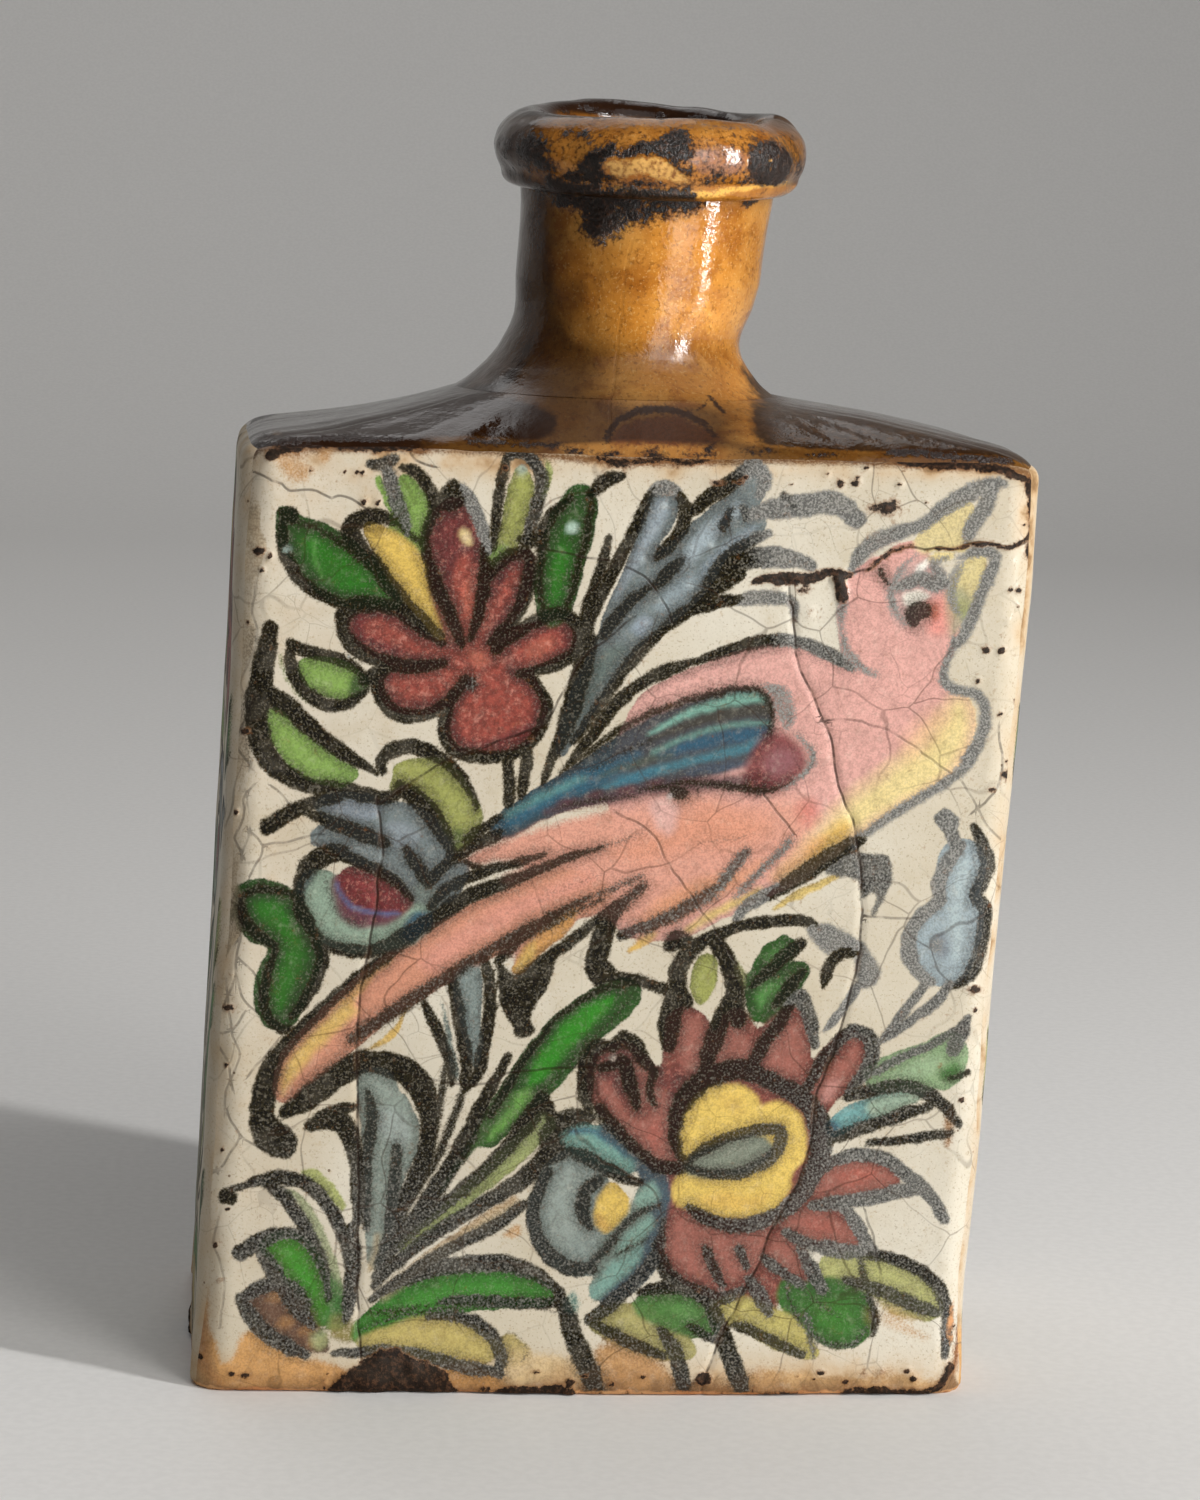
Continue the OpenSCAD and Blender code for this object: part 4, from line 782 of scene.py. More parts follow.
def draw_right(P):
    f, b, k, bl = P.fill, P.band, P.k, P.blob
    # under the bird
    f(OLIVE, [(700, 958), (713, 956), (716, 975), (710, 992), (700, 1003), (692, 986), (694, 970)], 5, 0.95, 2)
    f((176, 176, 116), [(734, 956), (744, 970), (748, 988), (741, 988), (734, 974)], 5, 0.75)
    f(GREEN, [(757, 972), (768, 952), (786, 942), (792, 950), (782, 962), (786, 969), (803, 969), (797, 982), (786, 998), (770, 1010), (758, 1016), (751, 996), (751, 980)])
    f((86, 146, 70), [(765, 957), (782, 945), (788, 951), (774, 963)], 6, 0.6)
    f((90, 150, 74), [(756, 990), (772, 980), (784, 984), (772, 1000), (760, 1008)], 8, 0.6)
    # pod
    f((150, 164, 168), [(950, 850), (970, 846), (980, 866), (974, 890), (977, 915), (972, 945), (964, 968), (948, 980), (930, 974), (918, 955), (920, 930), (935, 914), (946, 902), (942, 880)])
    f((174, 188, 188), [(956, 862), (968, 860), (970, 884), (962, 912), (964, 944), (956, 960), (948, 940), (950, 906)], 10, 0.6)
    f((118, 126, 134), [(932, 944), (942, 934), (951, 941), (949, 954), (938, 958)], 8, 0.7)
    # right leaves
    f(GREENT, [(870, 1074), (895, 1059), (922, 1050), (948, 1038), (960, 1045), (960, 1065), (950, 1080), (930, 1084), (900, 1084), (878, 1085)])
    f((150, 174, 138), [(890, 1074), (915, 1062), (940, 1056), (936, 1072), (910, 1080)], 9, 0.6)
    f(GREENB, [(942, 1070), (955, 1062), (961, 1070), (950, 1081), (941, 1079)], 7, 0.75)
    f((112, 162, 160), [(826, 1132), (832, 1118), (848, 1106), (870, 1098), (895, 1094), (910, 1098), (885, 1112), (858, 1124), (838, 1136)], 5, 0.95, 1)
    f((152, 172, 148), [(868, 1102), (884, 1096), (906, 1093), (924, 1095), (908, 1106), (886, 1114), (872, 1116)], 7, 0.9, 1)
    f(BLUE, [(826, 1124), (834, 1120), (840, 1130), (832, 1138), (826, 1134)], 6, 0.8)
    f((176, 176, 112), [(826, 1262), (850, 1259), (880, 1266), (905, 1276), (925, 1289), (937, 1305), (930, 1314), (905, 1302), (875, 1290), (845, 1280), (828, 1274)])
    f((176, 166, 104), [(872, 1298), (900, 1306), (928, 1316), (916, 1320), (892, 1314)], 7, 0.6)
    f((48, 100, 36), [(800, 1290), (820, 1285), (840, 1285), (858, 1295), (869, 1315), (864, 1332), (845, 1342), (822, 1336), (804, 1318), (786, 1302), (786, 1287)])
    f((60, 122, 44), [(812, 1306), (836, 1302), (852, 1312), (854, 1328), (838, 1334), (822, 1324)], 10, 0.7)
    f((164, 156, 98), [(594, 1322), (612, 1310), (640, 1312), (664, 1326), (684, 1342), (690, 1352), (664, 1354), (636, 1345), (612, 1335)])
    f((70, 116, 54), [(640, 1304), (658, 1296), (682, 1300), (702, 1312), (714, 1328), (698, 1331), (672, 1325), (650, 1316)])
    f((92, 140, 74), [(668, 1308), (686, 1306), (700, 1318), (690, 1324)], 8, 0.6)
    f((184, 172, 100), [(718, 1308), (742, 1301), (764, 1312), (790, 1322), (802, 1340), (812, 1352), (795, 1350), (766, 1338), (742, 1322), (724, 1318)])
    # outlines
    bl([(822, 872), (846, 850), (864, 853), (888, 856), (893, 872), (888, 892), (876, 913), (870, 915), (877, 896), (871, 892), (862, 900), (857, 881), (840, 877)], 0.55, 9, 0.95)
    bl([(663, 949), (667, 935), (680, 929), (692, 937), (712, 930), (726, 925), (732, 934), (715, 944), (690, 945), (675, 951)], 0.1)
    k([(702, 944), (687, 954), (678, 970), (678, 988), (688, 1002)], [14, 18, 18, 18, 16])
    k([(714, 940), (725, 956), (732, 976), (735, 1000), (738, 1022)], [16, 18, 18, 20, 18])
    k([(716, 936), (742, 926), (770, 922), (796, 920), (814, 924)], [10, 12, 12, 12, 10])
    bl([(806, 927), (822, 922), (846, 930), (866, 945), (879, 963), (882, 976), (874, 986), (861, 990), (856, 976), (852, 957), (840, 951), (828, 956), (814, 944)], 0.95, 10, 0.75)
    k([(858, 953), (843, 953), (831, 961), (826, 976), (823, 988)], [8, 13, 13, 12, 6], 0.05)
    k([(858, 986), (848, 1001), (838, 1015), (825, 1030)], [9, 10, 9, 6], 0.8)
    k([(802, 943), (786, 956), (770, 971), (752, 986)], [14, 14, 13, 8])
    k([(803, 972), (787, 990), (775, 1006)], [8, 13, 9])
    k([(598, 981), (620, 977), (645, 982), (662, 989), (672, 996)], [10, 11, 12, 13, 12])
    k([(945, 819), (949, 823)], 26, 0.75)
    k([(950, 828), (956, 845)], [18, 20], 0.7)
    k([(974, 826), (984, 848), (988, 866), (981, 886), (976, 897), (985, 908), (983, 932), (978, 958), (970, 975), (955, 986)], [10, 14, 14, 15, 13, 14, 14, 15, 14, 9], 0.25)
    k([(962, 844), (946, 865), (938, 886), (940, 900), (925, 913), (911, 930), (908, 950), (916, 970), (931, 981)], [12, 15, 15, 14, 15, 16, 16, 15, 12], 0.9)
    bl([(927, 945), (935, 937), (944, 941), (943, 951), (933, 955)], 0.85, 8, 0.6)
    k([(950, 984), (936, 1002), (916, 1017), (896, 1031), (884, 1041)], [10, 11, 10, 9, 7], 0.65)
    k([(926, 982), (914, 1000), (904, 1012), (890, 1030), (878, 1043)], [10, 10, 9, 9, 6], 0.65)
    k([(640, 1293), (662, 1287), (690, 1290), (706, 1302)], [10, 14, 15, 13])
    k([(706, 1296), (718, 1322), (726, 1345), (735, 1370), (743, 1394)], [12, 17, 19, 19, 17], 0.25)
    k([(588, 1321), (615, 1335), (640, 1347), (662, 1356)], [9, 12, 13, 11], 0.25)
    k([(660, 1330), (674, 1350), (680, 1370), (685, 1391)], [10, 15, 16, 14], 0.3)
    k([(690, 1326), (706, 1336), (720, 1342)], 9)
    k([(735, 1324), (760, 1335), (781, 1345), (801, 1355)], [9, 12, 12, 10], 0.25)
    k([(806, 1314), (811, 1338), (813, 1358)], [8, 10, 8], 0.5, 10, 0.7)
    k([(861, 1258), (867, 1290), (875, 1320), (872, 1336)], [8, 9, 9, 7], 0.3, 9, 0.85)
    k([(862, 1253), (894, 1259), (920, 1271), (938, 1287), (946, 1308), (947, 1332), (945, 1356)], [11, 13, 14, 14, 14, 12, 10], 0.3)
    k([(846, 1279), (878, 1290), (908, 1302), (937, 1313)], [10, 13, 14, 12], 0.35)
    k([(872, 1074), (900, 1058), (930, 1045), (954, 1031)], 8)
    k([(953, 1050), (961, 1034), (968, 1018)], [16, 16, 10])
    k([(950, 1078), (968, 1073)], 7, 0.1)
    k([(846, 1098), (878, 1089), (905, 1086), (926, 1093), (941, 1103), (952, 1116), (958, 1124)], [10, 14, 14, 14, 14, 13, 11], 0.25)
    k([(831, 1139), (860, 1129), (886, 1120), (911, 1112), (932, 1106)], [11, 14, 14, 14, 10], 0.25)
    k([(868, 1142), (895, 1141), (925, 1137), (951, 1133)], [8, 10, 10, 9], 0.25)
    k([(786, 1286), (792, 1308), (806, 1328), (828, 1344), (852, 1344), (868, 1326)], [6, 8, 9, 9, 8, 6], 0.35, 9, 0.62)
    k([(800, 1290), (822, 1306), (846, 1320)], [6, 8, 6], 0.3, 9, 0.5)


def front_painting(P):
    x, y = P.x, P.y
    set_haze(P)
    draw_upper_left(P)
    draw_red_flower(P)
    draw_top_leaves(P)
    draw_spray(P)
    draw_bird(P)
    draw_bud(P)
    draw_fan(P)
    draw_round_bud(P)
    draw_big_flower(P)
    draw_right(P)
    P.over((176, 196, 188), (287, 549), 4)
    P.over((176, 200, 184), (573, 528), 6)
    f, b = P.fill, P.band


    # scorched, amber-stained edges
    b((96, 62, 34), [(236, 478), (246, 454), (262, 443), (300, 445), (360, 447), (420, 449)], [18, 22, 18, 12, 10, 8], 16, 0.8)
    b((118, 80, 44), [(420, 450), (520, 454), (600, 460), (680, 462), (760, 461), (850, 462), (940, 465), (1022, 471), (1034, 486)], [6, 7, 11, 13, 9, 9, 11, 14, 12], 12, 0.75)
    f((192, 144, 90), [(270, 456), (288, 452), (306, 458), (318, 470), (310, 484), (296, 488), (284, 480), (274, 470)], 20, 0.55, 0)
    f((196, 150, 98), [(318, 452), (332, 450), (330, 464), (322, 466)], 9, 0.5, 0)
    b((120, 78, 42), [(1034, 486), (1034, 540), (1030, 600), (1024, 680)], [14, 12, 8, 5], 12, 0.7)
    b((150, 112, 72), [(1012, 860), (997, 1040), (981, 1190), (969, 1330)], [4, 6, 7, 9], 12, 0.55)
    b((156, 96, 44), [(960, 1318), (958, 1345), (952, 1370)], [7, 10, 8], 9, 0.7)
    # darker along the bottom edge, from the bottom-left corner
    b((84, 58, 36), [(205, 1384), (250, 1393), (300, 1394), (450, 1396), (600, 1398), (800, 1400), (930, 1398), (950, 1380)], [6, 7, 7, 8, 9, 8, 11, 9], 9, 0.75)
    f((202, 152, 94), [(192, 1290), (205, 1288), (207, 1305), (205, 1325), (218, 1345), (222, 1362), (232, 1358), (240, 1337), (255, 1328), (270, 1342), (300, 1357), (330, 1363), (345, 1373), (335, 1386), (300, 1391), (215, 1391), (198, 1370)], 14, 0.85, 0)
    b((176, 112, 54), [(196, 1296), (200, 1330), (206, 1366), (218, 1384)], [8, 12, 12, 8], 12, 0.7)
    f((204, 150, 86), [(440, 1366), (470, 1363), (500, 1376), (498, 1388), (450, 1390)], 14, 0.75, 0)
    f((208, 180, 134), [(500, 1356), (540, 1350), (580, 1360), (582, 1384), (520, 1388), (502, 1376)], 16, 0.6, 0)
    f((192, 146, 96), [(592, 1352), (620, 1338), (650, 1352), (672, 1372), (680, 1390), (604, 1394)], 16, 0.7, 0)
    f((204, 164, 112), [(742, 1374), (790, 1366), (850, 1378), (900, 1372), (940, 1380), (930, 1396), (750, 1396)], 18, 0.55, 0)
    f((190, 142, 90), [(868, 1312), (890, 1308), (916, 1322), (936, 1336), (926, 1346), (898, 1336), (876, 1328)], 16, 0.45, 0)
    f((176, 126, 76), [(944, 1110), (954, 1104), (958, 1124), (950, 1150), (942, 1144)], 10, 0.6, 0)

    # ================ cracks
    c = P.crack
    c([(378, 800), (380, 830), (383, 850), (378, 880), (376, 905), (368, 955), (362, 985), (358, 1030), (357, 1060), (358, 1105), (358, 1200), (358, 1300), (360, 1360)], 0.85)
    c([(790, 580), (793, 620), (797, 660), (805, 680), (815, 700), (824, 722), (832, 742), (836, 765), (838, 785), (842, 795), (850, 815), (857, 838), (860, 860), (861, 900), (862, 925), (860, 950), (855, 975), (848, 1000), (842, 1020), (835, 1045), (828, 1065), (815, 1100), (812, 1130), (805, 1165), (795, 1190), (780, 1215), (770, 1235), (762, 1260), (750, 1280), (740, 1298), (732, 1315), (722, 1335), (715, 1352), (705, 1378), (702, 1398)], 0.9)
    c([(755, 582), (770, 578), (790, 580), (810, 577), (830, 572), (850, 575), (870, 568), (880, 562), (890, 552), (900, 548), (912, 546), (925, 550), (940, 547), (955, 549), (965, 545), (978, 542), (990, 545), (1005, 546), (1015, 547), (1025, 542), (1031, 535)], 1.0)
    c([(255, 472), (268, 478), (282, 484), (290, 491), (310, 491), (325, 495), (332, 498), (340, 495), (352, 500), (365, 508), (372, 515)], 0.55)
    c([(380, 440), (400, 447), (410, 450), (415, 460), (435, 467)], 0.7)
    c([(545, 724), (525, 732), (493, 744), (462, 754), (430, 770), (405, 786), (388, 798), (378, 808)], 0.75)
    c([(765, 795), (780, 815), (795, 835)], 0.5)
    c([(615, 812), (640, 825), (655, 838), (665, 858), (678, 878), (690, 895), (715, 930), (730, 955), (745, 975)], 0.45)
    c([(634, 618), (606, 640), (587, 655), (568, 682), (556, 705), (545, 724)], 0.62)
    c([(500, 1075), (540, 1070), (590, 1067), (640, 1060)], 0.55)
    c([(820, 722), (850, 720), (880, 728), (905, 740), (940, 765), (960, 780), (975, 805), (985, 825), (1000, 840)], 0.4)
    c([(522, 545), (552, 551), (582, 557), (612, 562), (640, 573), (658, 592), (671, 621)], 0.6)
    c([(1000, 725), (1001, 780), (985, 802), (970, 815)], 0.5)
    c([(862, 916), (890, 918), (920, 917)], 0.4)
    c([(865, 1210), (876, 1250), (880, 1280), (872, 1330)], 0.45)
    c([(400, 1072), (440, 1081), (480, 1085), (505, 1075)], 0.45)
    for q in ([(254, 783), (243, 798), (244, 818), (234, 838), (244, 858)], [(248, 829), (262, 846), (256, 862), (249, 876)], [(262, 846), (290, 841), (320, 834)], [(221, 878), (228, 898), (239, 908), (240, 928), (237, 956), (233, 980), (222, 1008), (206, 1024)],
              [(239, 958), (256, 976), (261, 998)], [(234, 974), (244, 1000), (262, 1018)], [(246, 1012), (230, 1032), (213, 1036), (226, 1060), (232, 1090)], [(278, 1038), (262, 1060), (246, 1076)], [(272, 786), (282, 795), (290, 806)],
              [(258, 690), (246, 716), (236, 742), (252, 770)], [(236, 742), (222, 760)], [(226, 1110), (240, 1136), (262, 1150)], [(240, 1136), (222, 1168), (206, 1176)]):
        c(q, 0.42)

    # ================ stains, crust and bare places, and painted shade down the left edge
    s = P.soft
    P.line("crust_and_shadow", [(755, 582), (770, 578), (800, 579), (830, 573), (852, 575)], [4, 12, 10, 9, 4], 0.95)
    P.line("crust_and_shadow", [(838, 578), (841, 588), (842, 598)], 11, 0.95)
    P.line("crust_and_shadow", [(868, 569), (890, 552), (912, 546)], 5, 0.7)
    P.line("crust_and_shadow", [(925, 550), (955, 549), (985, 544), (1012, 547), (1031, 535)], [2.5, 3.5, 3.5, 4.5, 6], 0.72, 4)
    P.patch("crust_and_shadow", [(330, 1394), (340, 1378), (356, 1366), (372, 1356), (384, 1350), (398, 1350), (415, 1360), (430, 1364), (446, 1372), (450, 1386), (442, 1402), (334, 1402)], 1.0, 10)
    s("bare", (640, 1392), (40, 6), 0.6)
    s("bare", (952, 1325), (7, 30), 0.6)
    P.line("crust_and_shadow", [(500, 1392), (535, 1390), (570, 1392)], 9, 0.85)
    P.line("crust_and_shadow", [(845, 1392), (870, 1391), (925, 1391), (940, 1385), (950, 1365)], 7, 0.85)
    P.patch("crust_and_shadow", [(694, 1378), (703, 1373), (712, 1377), (706, 1383)], 1.0, 5)
    s("crust_and_shadow", (805, 590), (9, 6), 0.6)
    s("crust_and_shadow", (810, 610), (8, 10), 0.45)
    s("crust_and_shadow", (887, 509), (18, 9), 1.5)
    s("crust_and_shadow", (1005, 775), (8, 7), 0.6)
    P.line("crust_and_shadow", [(270, 456), (285, 449), (300, 445), (340, 443), (372, 447), (400, 446), (430, 449)], [8, 11, 10, 12, 10, 6, 4], 0.85, 9)
    P.line("crust_and_shadow", [(600, 458), (625, 463), (655, 460), (690, 462), (715, 458)], [8, 12, 8, 10, 6], 0.62, 10)
    P.line("crust_and_shadow", [(898, 461), (925, 463), (985, 467), (1012, 474), (1030, 482)], [6, 9, 9, 9, 6], 0.85, 8)
    P.line("crust_and_shadow", [(1028, 484), (1032, 520), (1029, 556)], [9, 7, 6], 0.72, 8)
    s("stain_and_shade", (1025, 514), (10, 38), 0.9)
    s("stain_and_shade", (960, 470), (80, 9), 0.55)
    for q, r0 in (((293, 446), 6), ((272, 456), 5), ((840, 484), 5), ((858, 478), 3), ((900, 485), 3), ((1000, 652), 4), ((986, 650), 5), ((978, 681), 3), ((995, 1010), 3), ((1018, 590), 4), ((926, 502), 3), ((1008, 622), 3)):
        s("crust_and_shadow", q, (r0, r0 * 0.8), 0.9)
    # the rounded left edge: a scalloped glaze edge with a crack along it; the strip outside it is painted darker beige,
    # painted shade on the corner that turns away from the lamps
    w0 = 11.0 * n2(y * 0.0 + 3.0, y, 46.0, 61) + 5.0 * n2(y * 0.0 + 9.0, y, 17.0, 62)
    rim = x - np.interp(y, [440, 1400], [262, 214]) - w0
    near = np.abs(rim) < np.abs(P.crs)
    every = np.arange(len(x))
    P._over(every, (178, 159, 130), (0.62 - 0.40 * sstep(y, 960, 1050)) * sstep(rim, 2.0, -2.0) * sstep(y, 470, 520) * (0.8 + 0.4 * n2(x, y, 40.0, 64)))
    P._over(every, (146, 124, 96), (0.40 - 0.30 * sstep(y, 960, 1050)) * sstep(rim, -20.0, -42.0) * sstep(y, 455, 500))
    P.crs = np.where(near & (y > 500) & (y < 1330), np.clip(rim, -9, 9), P.crs)
    P.crm = np.maximum(P.crm, 0.36 * sstep(n2(x, y, 60.0, 63), -0.1, 0.25) * np.clip(1.6 - np.abs(rim) / 5.0, 0, 1) * ((y > 500) & (y < 1330)))
    for q in ((243, 483), (246, 466), (241, 604), (248, 623), (237, 528), (262, 570), (270, 556), (345, 472), (356, 472), (362, 473), (364, 502), (378, 503), (311, 470), (827, 474), (855, 463), (868, 468), (940, 1065), (962, 1100), (975, 1010), (990, 905), (1002, 650), (1010, 590), (1015, 700), (236, 812), (231, 975), (226, 1065), (222, 1150), (215, 1245)):
        s("crust_and_shadow", q, (2.6, 2.6), 1.1)
    # brown stain down the left edge, darkened further as painted shade on the rounded corner
    P.stain_and_shade += 0.5 * sstep(x - np.interp(y, [440, 1400], [234, 190]), 34, 2) * (0.75 + 0.5 * n2(x, y, 30.0, 51))
    P.stain_and_shade += 0.38 * sstep(np.interp(y, [440, 1400], [1036, 962]) - x, 22, 2) * np.clip(0.4 + 1.3 * n2(x, y, 30.0, 52), 0, 1.4)
    P.stain_and_shade += 0.75 * sstep(y, 1335, 1392) * (0.75 + 0.5 * n2(x, y, 26.0, 53))
    P.stain_and_shade += 0.65 * sstep(y, 492, 458) * (0.6 + 0.8 * n2(x, y, 24.0, 54))
    # darker and browner down the left side of the front
    s("stain_and_shade", (250, 900), (70, 420), 0.25)
    rg = np.random.RandomState(5)
    for q in range(60):
        u = rg.rand()
        side = rg.randint(0, 4)
        if side == 0:
            c0 = (rg.uniform(240, 1025), 452 + 22 * u + 10 * u * u)
        elif side == 1:
            c0 = (rg.uniform(225, 960), 1386 - 16 * u)
        elif side == 2:
            yy = rg.uniform(470, 1360)
            c0 = (np.interp(yy, [440, 1400], [1034, 960]) - 3 - 16 * u * u, yy)
        else:
            yy = rg.uniform(470, 1360)
            c0 = (np.interp(yy, [440, 1400], [236, 194]) + 3 + 26 * u * u, yy)
        r0 = 1.6 + 3.2 * rg.rand() ** 2
        s("crust_and_shadow", c0, (r0 * (1 + rg.rand()), r0), 0.95)
    s("stain_and_shade", (600, 455), (420, 26), 0.5)
    s("stain_and_shade", (1010, 900), (26, 480), 0.08)
    s("stain_and_shade", (580, 1395), (420, 34), 0.55)
    # darker and browner towards the bottom edge
    P._over(every, (96, 70, 46), 0.8 * sstep(y + 7.0 * n2(x, y, 22.0, 65) + 4.0 * n2(x, y, 8.0, 66), 1376, 1396))
    P._over(every, (150, 108, 66), 0.5 * sstep(y + 16.0 * n2(x, y, 40.0, 67) + 6.0 * n2(x, y, 12.0, 68), 1362, 1392))
    P.crust_and_shadow += 0.55 * sstep(y + 6.0 * n2(x, y, 18.0, 69), 1384, 1398) * sstep(n2(x, y, 34.0, 70), -0.15, 0.25)
    s("stain_and_shade", (330, 500), (110, 50), 0.25)
    s("stain_and_shade", (420, 640), (220, 160), 0.10)


# the faces that the camera does not see, painted with the same motifs
def moved(P, x, y, *draws):
    keep = P.x, P.y
    P.x, P.y = x, y
    for d in draws:
        d(P)
    P.x, P.y = keep


def drift(P, seed, big=12.0):
    """a second hand: the same motif never falls quite in the same place"""
    return (big * n2(P.x, P.y, 150.0, seed) + 5.0 * n2(P.x, P.y, 55.0, seed + 1),
            big * n2(P.x, P.y, 150.0, seed + 2) + 5.0 * n2(P.x, P.y, 55.0, seed + 3))


def leaf(P, a, b, w, bend, col, colb, t=0.1, iw=14):
    a, b = np.array(a, float), np.array(b, float)
    d = b - a
    n = np.array([-d[1], d[0]]) / (np.hypot(*d) + 1e-9)
    m = lambda s, o: tuple(a + d * s + n * (bend * math.sin(math.pi * s) + o))
    L = [m(s, -w * math.sin(math.pi * s) ** 0.8) for s in (0.0, 0.12, 0.3, 0.5, 0.7, 0.88, 1.0)]
    R = [m(s, w * math.sin(math.pi * s) ** 0.8) for s in (0.0, 0.12, 0.3, 0.5, 0.7, 0.88, 1.0)]
    P.fill(col, L + R[-2:0:-1])
    P.fill(colb, [m(s, o) for s, o in ((0.2, 0), (0.4, -w * 0.45), (0.7, -w * 0.35), (0.85, 0), (0.6, w * 0.3), (0.35, w * 0.3))], 9, 0.8)
    P.k(L, [iw * 0.7, iw * 1.2, iw * 1.3, iw, iw * 0.6], t)
    P.k(R[1:-1], [iw * 0.6, iw * 0.9, iw * 0.8, iw * 0.5], t)


def back_painting(P):
    set_haze(P, 0.1)
    dx, dy = drift(P, 81)
    u = (P.x - 600.0) / 389.0
    fx = np.interp(P.y, [460, 1390], [635, 578]) - u * np.interp(P.y, [460, 1390], [396, 380]) + dx
    moved(P, fx, P.y + dy, draw_upper_left, draw_red_flower, draw_top_leaves, draw_spray, draw_bird, draw_bud, draw_fan,
          draw_round_bud, draw_big_flower, draw_right)
    clear_edges(P, 212, 988)
    edge_wear(P, 212, 988)


def side_painting(P, flip):
    set_haze(P, 0.08)
    dx, dy = drift(P, 91 if flip else 86, 9.0)
    x = 1015.0 - P.x if flip else P.x - 185.0
    x, y = x + dx, P.y + dy
    moved(P, x, y, draw_upper_left, draw_red_flower, draw_bud)
    if flip:
        moved(P, x + 352.0, y + 18.0, draw_big_flower)
        for a, b, w, bend, c1, c2 in (((372, 1296), (262, 1352), 22, 12, GREEN, GREENB), ((392, 1300), (500, 1366), 20, -12, OLIVEY, LGREEN), ((470, 1018), (420, 960), 15, 8, GREEN, GREENB),
                                      ((560, 1120), (612, 1030), 17, 10, OLIVE, LGREEN), ((520, 1290), (606, 1330), 16, 8, GREEN3, GREENB)):
            moved(P, x, y, lambda q: leaf(q, a, b, w, bend, c1, c2))
    else:
        moved(P, x, y, lambda q: draw_fan(q, False))
        for a, b, w, bend, c1, c2 in (((430, 946), (300, 1120), 24, 14, GREEN, GREENB), ((552, 1000), (602, 900), 17, 10, OLIVE, LGREEN), ((560, 1250), (604, 1170), 15, -8, GREEN, GREENB)):
            moved(P, x, y, lambda q: leaf(q, a, b, w, bend, c1, c2))
    for a, b, w, bend, c1, c2 in (((556, 790), (606, 700), 17, 10, GREEN, GREENB), ((520, 860), (600, 820), 15, -8, GREYB, GREYL)):
        moved(P, x, y, lambda q: leaf(q, a, b, w, bend, c1, c2))
    clear_edges(P, 387, 813)
    edge_wear(P, 387, 813)


def clear_edges(P, x0, x1):
    q = sstep(P.x, x0 + 10, x0 + 34) * sstep(P.x, x1 - 10, x1 - 34) * sstep(P.y, 450, 470)
    P.a, P.ink, P.halo = P.a * q, P.ink * q, P.halo * q


def edge_wear(P, x0, x1):
    P.stain_and_shade += 1.0 * (sstep(P.x, x0 + 44, x0 + 4) + sstep(P.x, x1 - 44, x1 - 4)) * (0.7 + 0.6 * n2(P.x, P.y, 30.0, 51))
    P.stain_and_shade += 0.8 * sstep(P.y, 1330, 1392) * (0.75 + 0.5 * n2(P.x, P.y, 26.0, 53))
    P.stain_and_shade += 0.8 * sstep(P.y, 500, 456) * (0.6 + 0.8 * n2(P.x, P.y, 24.0, 54))
    P.fill((204, 158, 102), [(x0 - 6, 1322), (x0 + 30, 1330), (x0 + 90, 1352), (x0 + 130, 1384), (x0 + 120, 1400), (x0 - 6, 1400)], 22, 0.75, 0)
    P.soft("stain_and_shade", ((x0 + x1) / 2, 1395), ((x1 - x0) * 0.6, 40), 0.6)
    P.soft("stain_and_shade", ((x0 + x1) / 2, 455), ((x1 - x0) * 0.6, 26), 0.5)
    w = x1 - x0
    P.soft("bare", (x0 + w * 0.2, 1382), (60, 14), 0.9)
    P.soft("bare", (x0 + w * 0.7, 1385), (70, 12), 0.8)
    P.patch("crust_and_shadow", [(x0 + w * 0.45, 1388), (x0 + w * 0.5, 1368), (x0 + w * 0.57, 1372), (x0 + w * 0.6, 1392)], 0.9)
    P.line("crust_and_shadow", [(x0 + w * 0.1, 458), (x0 + w * 0.3, 452), (x0 + w * 0.4, 456)], 6, 0.8)
    P.crack([(x0 + w * 0.3, 470), (x0 + w * 0.34, 640), (x0 + w * 0.27, 850), (x0 + w * 0.36, 1050), (x0 + w * 0.33, 1390)], 0.6)


# ------------------------------------------------------------------ mesh helpers
def make_object(name, verts_mm, faces, smooth=True, sharp_edges=None):
    me = bpy.data.meshes.new(name)
    me.from_pydata((verts_mm * 0.001).tolist(), [], faces)
    me.update()
    me.polygons.foreach_set("use_smooth", np.full(len(me.polygons), smooth))
    if sharp_edges:
        keys = np.zeros(len(me.edges) * 2, np.int32)
        me.edges.foreach_get("vertices", keys)
        keys = np.sort(keys.reshape(-1, 2), axis=1)
        code = keys[:, 0].astype(np.int64) * 10 ** 7 + keys[:, 1]
        want = np.array([min(e) * 10 ** 7 + max(e) for e in sharp_edges], np.int64)
        at = me.attributes.new("sharp_edge", "BOOLEAN", "EDGE")
        at.data.foreach_set("value", np.isin(code, want))
    ob = bpy.data.objects.new(name, me)
    bpy.context.scene.collection.objects.link(ob)
    return ob


def put_float(ob, name, v):
    a = ob.data.attributes.new(name, "FLOAT", "POINT")
    a.data.foreach_set("value", np.ascontiguousarray(v, np.float32))


def put_color(ob, name, rgb):
    a = ob.data.attributes.new(name, "FLOAT_COLOR", "POINT")
    c = np.ones((len(rgb), 4), np.float32)
    c[:, :3] = rgb
    a.data.foreach_set("color", c.ravel())


def put_uv(ob, uv_of_loop):
    uv = ob.data.uv_layers.new(name="OFBake")
    uv.data.foreach_set("uv", np.ascontiguousarray(uv_of_loop, np.float32).ravel())


